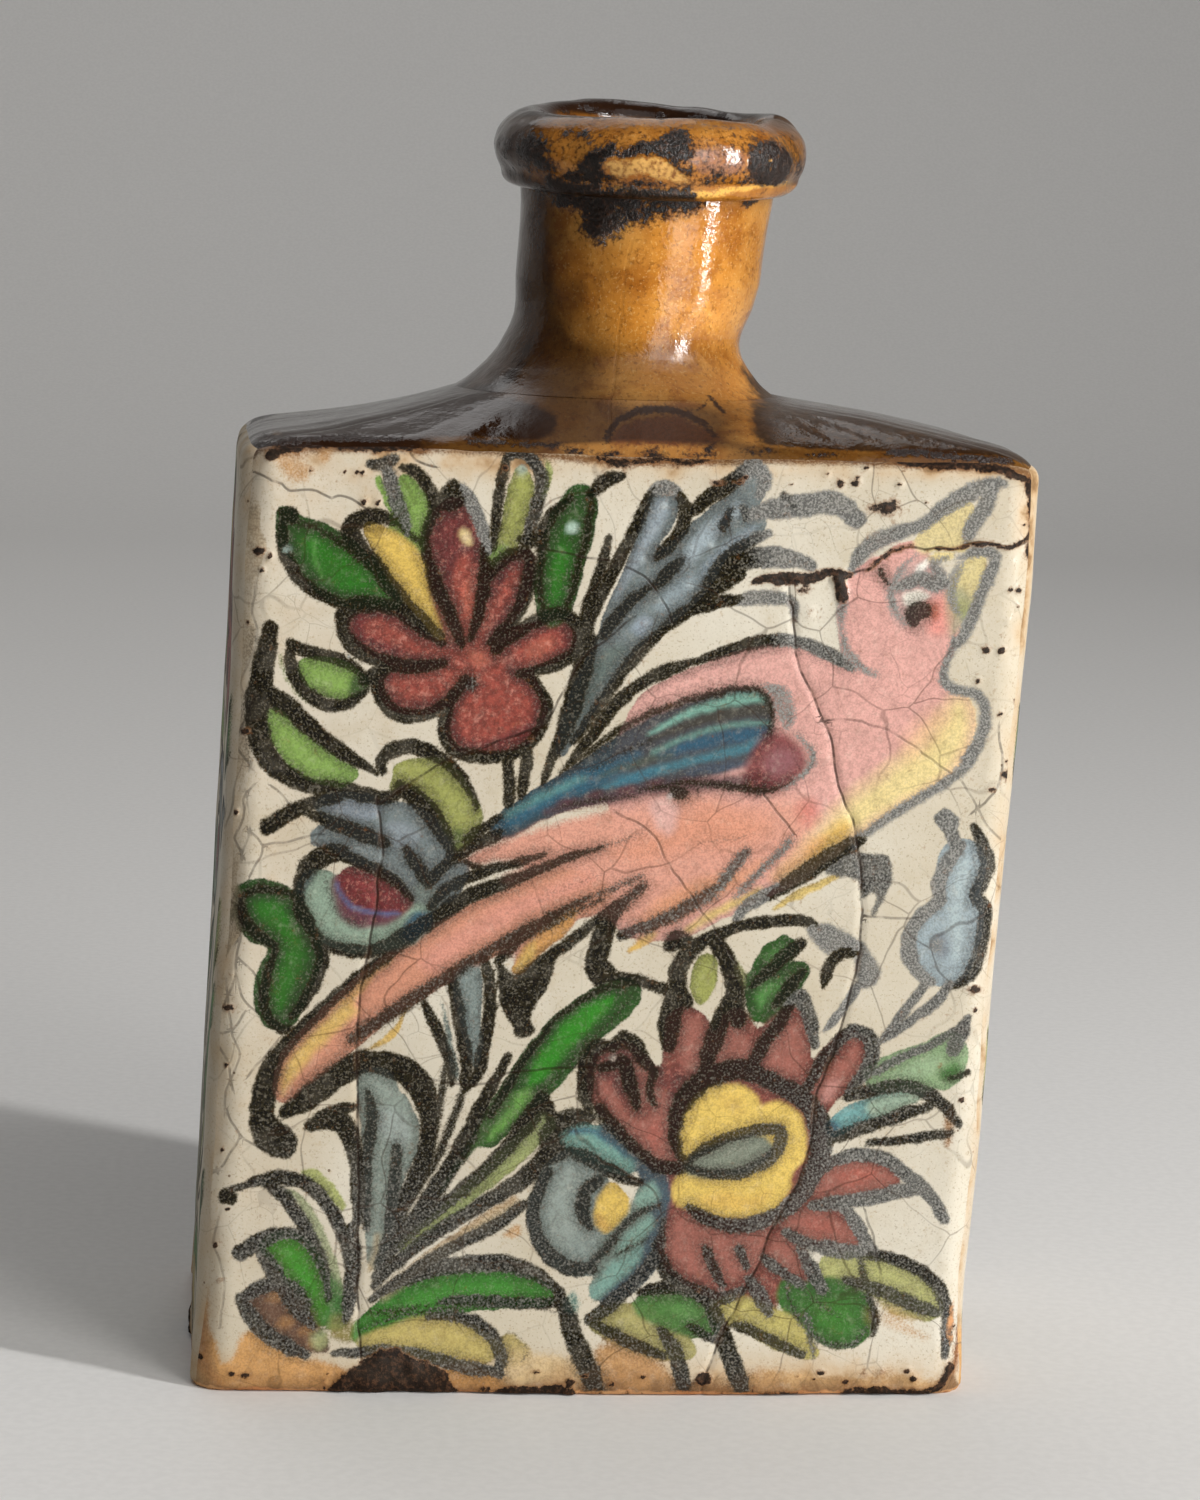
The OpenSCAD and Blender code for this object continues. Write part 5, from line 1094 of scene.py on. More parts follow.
def put_paint(ob, P, n_all):
    def full(v, fillv=0.0):
        out = np.full((n_all,) + v.shape[1:], fillv)
        out[: len(v)] = v
        return out
    put_color(ob, "fill", full(P.rgb, 0.6))
    put_float(ob, "fa", full(P.a))
    put_float(ob, "ink", full(P.ink))
    put_float(ob, "tone", full(P.tone))
    put_float(ob, "halo", full(np.clip(P.halo, 0, 1)))
    put_float(ob, "stain_and_shade", full(np.clip(P.stain_and_shade, 0, 1.4)))
    put_float(ob, "crust_and_shadow", full(np.clip(P.crust_and_shadow, 0, 1)))
    put_float(ob, "bare", full(np.clip(P.bare, 0, 1), 1.0))
    put_float(ob, "crs", full(P.crs, 9.0))
    put_float(ob, "crm", full(np.clip(P.crm, 0, 1)))
    put_float(ob, "dull", full(np.clip(P.dull, 0, 1), 1.0))


WALL = 5.0
ZROWS = None


def wall(name, which, step_u, step_v):
    """one slab: outer skin, mitred sides and a flat inner face, as one closed solid"""
    hw0 = 41.8 if which in ("front", "back") else HD
    nu = int(round(2 * hw0 / step_u))
    t = np.linspace(-1, 1, nu + 1)
    zs = np.linspace(0, 1, int(round(101.0 / step_v)) + 1)
    rows = [(s, 0.0) for s in np.linspace(WALL, 0, 6)[:-1]] + [(0.0, z) for z in zs]
    nv = len(rows)
    A, Y, Z = [], [], []
    for s, zz in rows:
        if which in ("front", "back"):
            sg = -1 if which == "front" else 1
            z_ = np.full(nu + 1, 0.0)
            hw = half_w(0.0 if zz == 0 else zz * 101.0)
            a = t * (hw - s)
            y = np.full(nu + 1, sg * (HD - s))
            z_ = zz * z_top(a, y)
        else:
            sg = -1 if which == "left" else 1
            y = t * (HD - s)
            a0 = sg * (half_w(0.0 if zz == 0 else zz * 101.0) - s)
            a = np.full(nu + 1, a0)
            z_ = zz * z_top(a, y)
        A.append(a), Y.append(y), Z.append(z_)
    A, Y, Z = np.concatenate(A), np.concatenate(Y), np.concatenate(Z)
    V = body_map(A, Y, Z)
    # the inner bottom edge is a clean line
    idx = np.arange(nu + 1)
    n_out = len(V)
    # inner edge points
    inner = []
    zi = Z.reshape(nv, nu + 1)
    ai = A.reshape(nv, nu + 1)
    yi = Y.reshape(nv, nu + 1)

    def inset(a, y, z):
        a_, y_, z_ = a.copy(), y.copy(), z.copy()
        if which in ("front", "back"):
            y_ = np.sign(y) * (HD - WALL)
            a_ = np.clip(a, -(half_w(z) - WALL), half_w(z) - WALL)
        else:
            a_ = np.sign(a) * (half_w(z) - WALL)
            y_ = np.clip(y, -(HD - WALL), HD - WALL)
        z_ = np.minimum(z, 101.0 - WALL)
        return np.stack([a_ + BX + z_ * LEAN, y_, z_], 1)

    left = inset(ai[:, 0], yi[:, 0], zi[:, 0])
    right = inset(ai[:, -1], yi[:, -1], zi[:, -1])
    top = inset(ai[-1, 1:-1], yi[-1, 1:-1], zi[-1, 1:-1])
    nb = 5
    # rows below nb+1 keep the outer row itself as their inner edge at the bottom
    VL = n_out
    VR = VL + nv - 1
    VT = VR + nv - 1
    V = np.vstack([V, left[1:], right[1:], top])
    li = np.concatenate([[0], VL + np.arange(nv - 1)])
    ri = np.concatenate([[nu], VR + np.arange(nv - 1)])
    ti = np.concatenate([[li[-1]], VT + np.arange(nu - 1), [ri[-1]]])
    flip = which in ("back", "left")
    g = np.arange(n_out).reshape(nv, nu + 1)
    faces, uv = [], []
    uu = 0.012 + 0.925 * np.linspace(0, 1, nu + 1)
    vrow = np.concatenate([np.linspace(0.008, 0.03, 5), np.linspace(0.034, 0.992, nv - 5)])

    def add(q, u):
        if flip:
            q, u = q[::-1], u[::-1]
        faces.append(q)
        uv.extend(u)
    for j in range(nv - 1):
        for i in range(nu):
            add([int(g[j, i]), int(g[j, i + 1]), int(g[j + 1, i + 1]), int(g[j + 1, i])],
                [(uu[i], vrow[j]), (uu[i + 1], vrow[j]), (uu[i + 1], vrow[j + 1]), (uu[i], vrow[j + 1])])
    sharp = []
    for j in range(nv - 1):
        a, b = vrow[j], vrow[j + 1]
        # left and right mitres
        q = [int(li[j]), int(g[j, 0]), int(g[j + 1, 0]), int(li[j + 1])]
        if q[0] == q[1]:
            add(q[1:], [(0.945, a), (0.945, b), (0.955, b)])
        else:
            add(q, [(0.955, a), (0.945, a), (0.945, b), (0.955, b)])
        q = [int(g[j, nu]), int(ri[j]), int(ri[j + 1]), int(g[j + 1, nu])]
        if q[0] == q[1]:
            add(q[1:], [(0.97, a), (0.97, b), (0.96, b)])
        else:
            add(q, [(0.96, a), (0.97, a), (0.97, b), (0.96, b)])
        sharp += [(int(g[j, 0]), int(g[j + 1, 0])), (int(g[j, nu]), int(g[j + 1, nu])), (int(li[j]), int(li[j + 1])), (int(ri[j]), int(ri[j + 1]))]
    for i in range(nu):
        a, b = i / nu, (i + 1) / nu
        add([int(g[-1, i]), int(g[-1, i + 1]), int(ti[i + 1]), int(ti[i])], [(0.974, a), (0.974, b), (0.98, b), (0.98, a)])
        sharp += [(int(g[-1, i]), int(g[-1, i + 1])), (int(ti[i]), int(ti[i + 1])), (int(g[0, i]), int(g[0, i + 1]))]
    # inner face in level strips
    loop = [int(x) for x in g[0, ::-1]] + [int(x) for x in li[1:]] + [int(x) for x in ti[1:]] + [int(x) for x in ri[-2:0:-1]]
    span = V[loop]
    hcoord = span[:, 0] if which in ("front", "back") else span[:, 1]
    lo, hi = hcoord.min(), hcoord.max()
    uvl = [(0.984 + 0.012 * float((h - lo) / (hi - lo)), 0.01 + 0.1 * float(z / 101.0)) for h, z in zip(hcoord, span[:, 2])]
    add(loop, uvl)
    ob = make_object(name, V, faces, True, sharp)
    put_uv(ob, np.array(uv))
    return ob, V, n_out


# ------------------------------------------------------------------ node helpers
class Mat:
    def __init__(self, name):
        self.m = bpy.data.materials.new(name)
        self.m.use_nodes = True
        self.nt = self.m.node_tree
        self.bsdf = next(n for n in self.nt.nodes if n.type == "BSDF_PRINCIPLED")
        self._obj = None

    def node(self, kind, **props):
        n = self.nt.nodes.new(kind)
        for k_, v in props.items():
            setattr(n, k_, v)
        return n

    def set(self, sock, v):
        if isinstance(v, bpy.types.NodeSocket):
            self.nt.links.new(v, sock)
        elif hasattr(sock.default_value, "__len__") and not hasattr(v, "__len__"):
            sock.default_value = [v] * len(sock.default_value)
        elif hasattr(sock.default_value, "__len__") and len(v) == 3 and len(sock.default_value) == 4:
            sock.default_value = (*v, 1.0)
        else:
            sock.default_value = v

    @property
    def obj(self):
        if self._obj is None:
            self._obj = self.node("ShaderNodeTexCoord").outputs["Object"]
        return self._obj

    def attr(self, name, out="Fac"):
        return self.node("ShaderNodeAttribute", attribute_name=name).outputs[out]

    def noise(self, size_mm, detail=2.0, rough=0.5, dist=0.0, vec=None, out="Fac"):
        n = self.node("ShaderNodeTexNoise")
        self.set(n.inputs["Vector"], vec or self.obj)
        n.inputs["Scale"].default_value = 1000.0 / size_mm
        n.inputs["Detail"].default_value = detail
        n.inputs["Roughness"].default_value = rough
        n.inputs["Distortion"].default_value = dist
        return n.outputs[out]

    def voro(self, size_mm, feature="F1", vec=None, out="Distance"):
        n = self.node("ShaderNodeTexVoronoi", feature=feature)
        self.set(n.inputs["Vector"], vec or self.obj)
        n.inputs["Scale"].default_value = 1000.0 / size_mm
        return n.outputs[out]

    def math(self, op, a, b=None, c=None, clamp=False):
        n = self.node("ShaderNodeMath", operation=op, use_clamp=clamp)
        for i, v in enumerate((a, b, c)):
            if v is not None:
                self.set(n.inputs[i], v)
        return n.outputs[0]

    def smooth(self, x, a, b, lo=0.0, hi=1.0, kind="SMOOTHSTEP"):
        n = self.node("ShaderNodeMapRange", interpolation_type=kind, clamp=True)
        self.set(n.inputs["Value"], x)
        n.inputs["From Min"].default_value, n.inputs["From Max"].default_value = a, b
        n.inputs["To Min"].default_value, n.inputs["To Max"].default_value = lo, hi
        return n.outputs["Result"]

    def mix(self, fac, a, b, blend="MIX"):
        n = self.node("ShaderNodeMix", data_type="RGBA", blend_type=blend, clamp_factor=True)
        self.set(n.inputs[0], fac)
        self.set(n.inputs[6], a)
        self.set(n.inputs[7], b)
        return n.outputs[2]

    def warp(self, size_mm, amount_mm):
        n = self.noise(size_mm, 2.0, out="Color")
        s = self.node("ShaderNodeVectorMath", operation="SUBTRACT")
        self.set(s.inputs[0], n)
        s.inputs[1].default_value = (0.5, 0.5, 0.5)
        k_ = self.node("ShaderNodeVectorMath", operation="SCALE")
        self.set(k_.inputs[0], s.outputs[0])
        k_.inputs["Scale"].default_value = amount_mm * 0.002
        a = self.node("ShaderNodeVectorMath", operation="ADD")
        self.set(a.inputs[0], self.obj)
        self.set(a.inputs[1], k_.outputs[0])
        return a.outputs[0]

    def bump(self, height, strength, dist_mm):
        n = self.node("ShaderNodeBump")
        n.inputs["Strength"].default_value = strength
        n.inputs["Distance"].default_value = dist_mm * 0.001
        self.set(n.inputs["Height"], height)
        self.set(self.bsdf.inputs["Normal"], n.outputs[0])

    def out(self, **kw):
        for k_, v in kw.items():
            self.set(self.bsdf.inputs[k_.replace("_", " ")], v)
        return self.m


def C(*c):
    return tuple(float(v) for v in lin(c))


def clay_color(m):
    """bare terracotta, fired buff to orange"""
    a = m.mix(m.smooth(m.noise(9.0, 4.0, 0.6), 0.35, 0.68), C(196, 150, 104), C(176, 116, 72))
    a = m.mix(m.smooth(m.noise(2.2, 3.0, 0.6), 0.55, 0.75), a, C(150, 98, 62))
    a = m.mix(m.smooth(m.noise(0.5, 2.0, 0.6), 0.62, 0.74), a, C(96, 66, 46))
    return a


def painted_material():
    m = Mat("painted_glaze")
    grain = m.noise(0.42, 2.0, 0.6)
    fine = m.noise(0.23, 1.0, 0.5)
    speck = m.noise(0.25, 1.0, 0.5)
    # tin white ground: warm cream, cloudy
    base = m.mix(m.smooth(m.noise(26.0, 4.0, 0.6), 0.35, 0.68), C(186, 176, 156), C(199, 192, 176))
    base = m.mix(m.smooth(m.noise(5.0, 4.0, 0.65), 0.48, 0.78, 0.0, 0.55), base, C(176, 163, 138))
    base = m.mix(m.smooth(grain, 0.56, 0.70, 0.0, 0.22), base, C(158, 138, 106))
    base = m.mix(m.smooth(speck, 0.62, 0.72, 0.0, 0.34), base, C(112, 94, 68))
    base = m.mix(m.smooth(m.noise(0.9, 3.0, 0.7), 0.60, 0.76, 0.0, 0.35), base, C(164, 138, 98))
    # stain_and_shade: brown stains along the worn edges, and painted shade down the left edge of the front
    stain_and_shade = m.attr("stain_and_shade")
    st = m.math("MULTIPLY", stain_and_shade, m.smooth(m.noise(3.5, 4.0, 0.65), 0.3, 0.7, 0.45, 1.15))
    base = m.mix(m.math("MINIMUM", st, 0.85), base, C(176, 142, 98))
    base = m.mix(m.smooth(st, 0.55, 1.2, 0.0, 0.85), base, C(108, 78, 46))
    # scattered pinholes
    pv = m.voro(2.6)
    pc = m.voro(2.6, out="Color")
    sep = m.node("ShaderNodeSeparateColor")
    m.set(sep.inputs[0], pc)
    hole = m.math("MULTIPLY", m.math("LESS_THAN", m.math("ADD", pv, m.math("MULTIPLY", grain, 0.05)), 0.085), m.math("GREATER_THAN", sep.outputs[0], 0.74))
    base = m.mix(m.math("MULTIPLY", hole, 0.75), base, C(86, 60, 40))
    # colours: granular, deeper beside the outlines
    fa = m.attr("fa")
    fcol = m.mix(0.07, m.attr("fill", "Color"), C(0, 0, 0))
    halo = m.attr("halo")
    stip = m.smooth(fine, 0.44, 0.60)
    fcol = m.mix(m.smooth(m.noise(2.6, 4.0, 0.65), 0.42, 0.70, 0.0, 0.42), fcol, m.mix(0.40, fcol, C(52, 38, 28)))
    fcol = m.mix(m.smooth(m.noise(1.1, 3.0, 0.6), 0.52, 0.76, 0.0, 0.28), fcol, m.mix(0.35, fcol, C(236, 226, 204)))
    fcol = m.mix(m.smooth(m.noise(0.62, 3.0, 0.68), 0.46, 0.66, 0.0, 0.36), fcol, m.mix(0.50, fcol, C(34, 16, 13)))
    rgb = m.node("ShaderNodeSeparateColor")
    m.set(rgb.inputs[0], m.attr("fill", "Color"))
    red = m.smooth(m.math("DIVIDE", rgb.outputs[1], m.math("ADD", rgb.outputs[0], 0.002)), 0.18, 0.36, 1.0, 0.0)
    fcol = m.mix(m.math("MULTIPLY", red, m.smooth(m.noise(0.85, 4.0, 0.72), 0.42, 0.58, 0.0, 0.66)), fcol, m.mix(0.62, fcol, C(44, 10, 16)))
    fcol = m.mix(m.math("MULTIPLY", red, m.smooth(m.noise(0.55, 3.0, 0.7), 0.52, 0.66, 0.0, 0.5)), fcol, m.mix(0.5, fcol, C(222, 140, 122)))
    fcol = m.mix(m.smooth(halo, 0.15, 1.0, 0.0, 0.62), fcol, m.mix(0.72, fcol, C(14, 9, 7)))
    fcol = m.mix(m.math("MULTIPLY", stip, m.smooth(halo, 0.0, 1.0, 0.26, 0.70)), fcol, m.mix(0.60, fcol, C(18, 11, 9)))
    fcol = m.mix(m.math("MULTIPLY", m.smooth(speck, 0.54, 0.68), m.smooth(halo, 0.0, 0.8, 0.10, 0.24)), fcol, m.mix(0.42, fcol, C(214, 204, 186)))
    fm = m.smooth(m.math("ADD", fa, m.math("MULTIPLY", m.math("SUBTRACT", fine, 0.5), 0.5)), 0.25, 0.70, 0.0, 0.97)
    col = m.mix(fm, base, fcol)
    # brush outlines: granular manganese that breaks into specks at the edges
    ink = m.attr("ink")
    g2 = m.math("ADD", m.math("MULTIPLY", m.math("SUBTRACT", grain, 0.5), 0.26), m.math("MULTIPLY", m.math("SUBTRACT", fine, 0.5), 0.55))
    im = m.smooth(m.math("ADD", ink, g2), 0.24, 0.66, 0.0, 1.0)
    im = m.math("MULTIPLY", im, m.smooth(m.noise(3.4, 4.0, 0.65), 0.46, 0.66, 1.0, 0.94))
    dark = m.mix(m.smooth(fine, 0.40, 0.62), C(8, 6, 1), C(33, 28, 12))
    dark = m.mix(m.smooth(ink, 0.40, 0.90), C(52, 44, 24), dark)
    dark = m.mix(m.math("MULTIPLY", fm, 0.6), dark, m.mix(0.78, fcol, C(6, 5, 3)))
    dark = m.mix(m.smooth(speck, 0.52, 0.66, 0.0, 0.25), dark, m.mix(0.3, C(112, 104, 84), col))
    # tone greys the ink: grey brushwork, and a painted reflection where the glaze's sheen greys the ink on the front
    tn = m.smooth(m.math("ADD", m.attr("tone"), m.math("MULTIPLY", m.math("SUBTRACT", speck, 0.5), 1.1)), 0.10, 0.90)
    inkc = m.mix(tn, dark, m.mix(m.smooth(fine, 0.40, 0.64), C(92, 91, 87), C(136, 134, 128)))
    col = m.mix(im, col, inkc)
    # fine crackle of the glaze
    wv = m.warp(9.0, 2.4)
    vis = m.smooth(m.noise(16.0, 2.0), 0.38, 0.62, 0.16, 0.85)
    l1 = m.math("MULTIPLY", m.smooth(m.voro(9.5, "DISTANCE_TO_EDGE", wv), 0.003, 0.014, 1.0, 0.0), vis)
    vis2 = m.smooth(m.noise(11.0, 2.0, vec=wv), 0.50, 0.68, 0.0, 0.5)
    l3 = m.math("MULTIPLY", m.smooth(m.voro(3.6, "DISTANCE_TO_EDGE", wv), 0.004, 0.024, 1.0, 0.0), vis2)
    lines = m.math("MAXIMUM", l1, l3)
    col = m.mix(m.math("MULTIPLY", lines, 0.82), col, m.mix(0.66, col, C(46, 28, 13)))
    # long open cracks with a brown seep beside them
    crs, crm = m.attr("crs"), m.attr("crm")
    ad = m.math("ABSOLUTE", crs)
    seep = m.math("MULTIPLY", m.smooth(ad, 1.0, 8.0, 0.45, 0.0), m.math("MULTIPLY", m.smooth(crm, 0.5, 1.0), m.smooth(m.noise(2.4, 3.0, 0.6), 0.45, 0.65)))
    col = m.mix(seep, col, m.mix(0.6, col, C(112, 74, 40)))
    l2 = m.math("MULTIPLY", m.smooth(ad, 0.5, 2.0, 1.0, 0.0), m.smooth(crm, 0.15, 0.5))
    l2 = m.math("MULTIPLY", l2, m.smooth(m.noise(1.6, 3.0, 0.6), 0.32, 0.55, 0.35, 1.0))
    col = m.mix(m.math("MULTIPLY", l2, m.smooth(crm, 0.2, 1.0, 0.58, 0.97)), col, m.mix(0.86, col, C(30, 18, 9)))
    # bare clay and dark kiln crust
    bare = m.attr("bare")
    bm = m.smooth(m.math("ADD", bare, m.math("MULTIPLY", m.math("SUBTRACT", m.noise(1.8, 4.0, 0.7), 0.5), 1.1)), 0.35, 0.62)
    clay = clay_color(m)
    col = m.mix(bm, col, clay)
    crust_and_shadow = m.attr("crust_and_shadow")
    rag = m.math("ADD", crust_and_shadow, m.math("MULTIPLY", m.math("SUBTRACT", m.noise(1.3, 6.0, 0.75), 0.5), 1.3))
    rag = m.math("ADD", rag, m.math("MULTIPLY", m.math("SUBTRACT", grain, 0.5), 0.5))
    col = m.mix(m.smooth(rag, 0.12, 0.45, 0.0, 0.6), col, C(124, 82, 46))
    cm = m.smooth(rag, 0.36, 0.52)
    col = m.mix(m.math("MULTIPLY", cm, 0.95), col, m.mix(m.smooth(m.noise(0.55, 3.0, 0.7), 0.46, 0.66), C(14, 10, 8), C(66, 44, 30)))
    rough = m.math("ADD", m.smooth(m.noise(3.0, 3.0), 0.3, 0.7, 0.10, 0.20), m.math("MULTIPLY", m.math("MAXIMUM", bm, cm), 0.45))
    rough = m.math("ADD", rough, m.math("MULTIPLY", m.math("MINIMUM", stain_and_shade, 1.0), 0.38))
    rough = m.math("ADD", rough, m.math("MULTIPLY", im, 0.05))
    rough = m.math("ADD", rough, m.math("MULTIPLY", m.attr("dull"), 0.5))
    h = m.math("ADD", m.math("MULTIPLY", m.noise(2.5, 3.0, 0.55), 0.7), m.math("MULTIPLY", fine, 0.12))
    h = m.math("SUBTRACT", h, m.math("MULTIPLY", l2, 0.3))
    h = m.math("SUBTRACT", h, m.math("MULTIPLY", lines, 0.10))
    h = m.math("SUBTRACT", h, m.math("MULTIPLY", m.math("MAXIMUM", bm, hole), 0.35))
    h = m.math("ADD", h, m.math("MULTIPLY", m.math("MULTIPLY", cm, m.noise(0.55, 3.0, 0.7)), 1.6))
    m.bump(h, 0.5, 0.22)
    return m.out(Base_Color=col, Roughness=rough, IOR=1.5, Specular_IOR_Level=0.17)


def amber_material(name, worn=0.0):
    m = Mat(name)
    grain = m.noise(0.44, 2.0, 0.6)
    fine = m.noise(0.30, 1.0, 0.5)
    a = m.mix(m.smooth(m.noise(7.0, 4.0, 0.6), 0.32, 0.70), C(188, 122, 44), C(214, 152, 72))
    a = m.mix(m.smooth(m.noise(4.2, 4.0, 0.6, 0.6), 0.44, 0.70, 0.0, 0.75), a, C(146, 82, 20))
    a = m.mix(m.smooth(m.noise(1.4, 4.0, 0.7), 0.52, 0.74, 0.0, 0.50), a, C(142, 82, 24))
    a = m.mix(m.smooth(grain, 0.54, 0.70, 0.0, 0.45), a, C(98, 56, 18))
    a = m.mix(m.smooth(fine, 0.60, 0.70, 0.0, 0.35), a, C(226, 182, 112))
    if worn:
        a = m.mix(m.smooth(m.noise(2.0, 4.0, 0.65), 0.36, 0.62, worn * 0.6, worn), a, C(96, 44, 3))
    a = m.mix(m.smooth(m.attr("pale"), 0.0, 1.0, 0.0, 0.8), a, m.mix(m.smooth(grain, 0.4, 0.65), C(222, 180, 104), C(168, 112, 50)))
    pv = m.attr("shade")
    sh = m.smooth(m.math("ADD", pv, m.math("MULTIPLY", m.math("SUBTRACT", m.noise(1.2, 4.0, 0.7), 0.5), 0.8)), 0.20, 0.75)
    a = m.mix(m.math("MULTIPLY", sh, 0.94), a, m.mix(m.smooth(m.noise(0.8, 3.0), 0.45, 0.7), C(22, 17, 13), C(58, 42, 28)))
    fa = m.attr("fa")
    a = m.mix(m.smooth(m.math("ADD", fa, m.math("MULTIPLY", m.math("SUBTRACT", grain, 0.5), 0.8)), 0.2, 0.7, 0.0, 0.9), a, m.mix(m.smooth(fine, 0.48, 0.64, 0.0, 0.4), m.attr("fill", "Color"), C(52, 32, 16)))
    ink = m.attr("ink")
    im = m.smooth(m.math("ADD", ink, m.math("MULTIPLY", m.math("SUBTRACT", grain, 0.5), 1.0)), 0.25, 0.75, 0.0, 0.95)
    a = m.mix(im, a, C(30, 22, 16))
    # crust_and_shadow: dark kiln crust, and painted shadow under the overhang of the lip
    crust_and_shadow = m.attr("crust_and_shadow")
    amp = m.smooth(crust_and_shadow, 0.0, 0.16, 0.30, 1.0)
    rag = m.math("ADD", m.math("MULTIPLY", m.math("SUBTRACT", m.noise(1.1, 6.0, 0.8), 0.5), 1.9), m.math("MULTIPLY", m.math("SUBTRACT", grain, 0.5), 1.1))
    rag = m.math("ADD", crust_and_shadow, m.math("MULTIPLY", rag, amp))
    halo = m.smooth(rag, 0.02, 0.48, 0.0, 0.80)
    a = m.mix(halo, a, C(58, 32, 12))
    cm = m.smooth(rag, 0.42, 0.62)
    pit = m.noise(0.48, 3.0, 0.7)
    a = m.mix(m.math("MULTIPLY", cm, 0.97), a, m.mix(m.smooth(pit, 0.50, 0.68), C(8, 5, 3), C(62, 38, 22)))
    bare = m.attr("bare")
    bm = m.smooth(m.math("ADD", bare, m.math("MULTIPLY", m.math("SUBTRACT", m.noise(1.1, 4.0, 0.7), 0.5), 0.9)), 0.35, 0.62)
    a = m.mix(bm, a, m.mix(m.smooth(m.noise(0.6, 3.0, 0.6), 0.4, 0.7), C(206, 158, 86), C(128, 78, 32)))
    crs, crm = m.attr("crs"), m.attr("crm")
    l2 = m.math("MULTIPLY", m.smooth(m.math("ABSOLUTE", crs), 0.6, 2.4, 1.0, 0.0), m.smooth(crm, 0.15, 0.5))
    a = m.mix(m.math("MULTIPLY", l2, m.smooth(crm, 0.2, 0.6, 0.25, 0.6)), a, m.mix(0.7, a, C(40, 24, 12)))
    # dim darkens the amber toward dark brown: partly painted shade (the neck's left flank, the crease at the foot of
    # the flare, inside the mouth), partly darker glaze (the flare, the right of the neck, the lip's ends, the
    # shoulder's front)
    a = m.mix(m.attr("dim"), a, m.mix(0.90, a, C(30, 10, 0)))
    matte = m.attr("matte")
    rough = m.math("ADD", m.smooth(m.noise(2.0, 3.0), 0.3, 0.7, 0.07, 0.16), m.math("MULTIPLY", m.math("MAXIMUM", cm, bm), 0.20))
    rough = m.math("ADD", rough, m.math("MULTIPLY", matte, 0.5))
    h = m.math("ADD", m.math("MULTIPLY", m.noise(2.2, 4.0, 0.6), 0.9), m.math("MULTIPLY", grain, 0.2))
    h = m.math("ADD", h, m.math("MULTIPLY", m.math("MULTIPLY", cm, pit), 2.6))
    h = m.math("SUBTRACT", h, m.math("MULTIPLY", l2, 0.3))
    m.bump(h, 0.5, 0.25)
    return m.out(Base_Color=a, Roughness=rough, IOR=1.5, Specular_IOR_Level=0.38)


def clay_material():
    m = Mat("bare_clay")
    grit = m.noise(0.45, 3.0, 0.65)
    h = m.math("ADD", m.noise(3.0, 4.0, 0.6), m.math("MULTIPLY", grit, 0.5))
    m.bump(h, 0.6, 0.3)
    return m.out(Base_Color=clay_color(m), Roughness=m.smooth(m.noise(1.2, 3.0), 0.3, 0.7, 0.72, 0.92))


def roughen(ob, V, P, out, amp, cut=None):
    """kiln crust stands proud as small lumps, and the open cracks are cut in"""
    q = np.clip(P.crust_and_shadow, 0, 1)
    n_all = len(ob.data.vertices)
    W = V.copy()
    lump = np.clip(0.55 + 0.6 * vnoise(V[: len(q)], 1.3, 71) + 0.5 * vnoise(V[: len(q)], 2.9, 72), 0, 1.6)
    W[: len(q)] += out[: len(q)] * (amp * q * lump)[:, None]
    if cut is not None:
        W[: len(q)] -= out[: len(q)] * (cut * np.clip(1.25 - np.abs(P.crs) / 4.5, 0, 1) * sstep(P.crm, 0.55, 0.9))[:, None]
    W[:, 2] = np.maximum(W[:, 2], 0.0)
    ob.data.vertices.foreach_set("co", (W * 0.001).ravel())
    ob.data.update()


def away(V, c):
    d = V - np.array(c)
    d[:, 2] = 0
    return d / np.maximum(np.linalg.norm(d, axis=1), 1e-6)[:, None]


# ------------------------------------------------------------------ build the walls
painted = painted_material()
clay = clay_material()
NODE_SLOT = {}


def px_local(V, which):
    xc = BX + V[:, 2] * LEAN
    s = 9.27
    yy = 1390 - V[:, 2] * s
    if which == "back":
        return 600 - (V[:, 0] - xc) * s, yy
    if which == "left":
        return 600 - V[:, 1] * s, yy
    return 600 + V[:, 1] * s, yy


for which, su, sv in (("front", 0.3, 0.3), ("back", 0.42, 0.42), ("left", 0.42, 0.42), ("right", 0.42, 0.42)):
    node = which + "_wall"
    ob, V, n_out = wall("painted_" + which, which, su, sv)
    W = V[:n_out]
    if which == "front":
        P = Paint(*project(W))
        front_painting(P)
    else:
        P = Paint(*px_local(W, which))
        (back_painting(P) if which == "back" else side_painting(P, which == "right"))
        P.dull += {"back": 0.0, "left": 0.85, "right": 0.35}[which]
        if which == "left":
            P.a, P.ink, P.halo, P.stain_and_shade = P.a * 0.66, P.ink * 0.62, P.halo * 0.6, P.stain_and_shade * 0.55
    # the bare foot ring under the glaze
    foot = np.clip(1 - W[:, 2] / 0.9, 0, 1)
    P.bare = np.maximum(P.bare, foot)
    put_paint(ob, P, len(V))
    out = {"front": (0, -1, 0), "back": (0, 1, 0), "left": (-1, 0, 0), "right": (1, 0, 0)}[which]
    inside = np.ones(len(W)).reshape(-1, int(round(2 * (41.8 if which in ("front", "back") else HD) / su)) + 1)
    inside[:, :2] = inside[:, -2:] = 0
    inside[:5] = inside[-2:] = 0
    P.crust_and_shadow = P.crust_and_shadow * inside.ravel()
    roughen(ob, V, P, np.tile(np.array(out, float), (len(V), 1)), 0.55, 0.16 * inside.ravel())
    ob.data.materials.append(painted)
    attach(ob, "root")
    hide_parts(node)

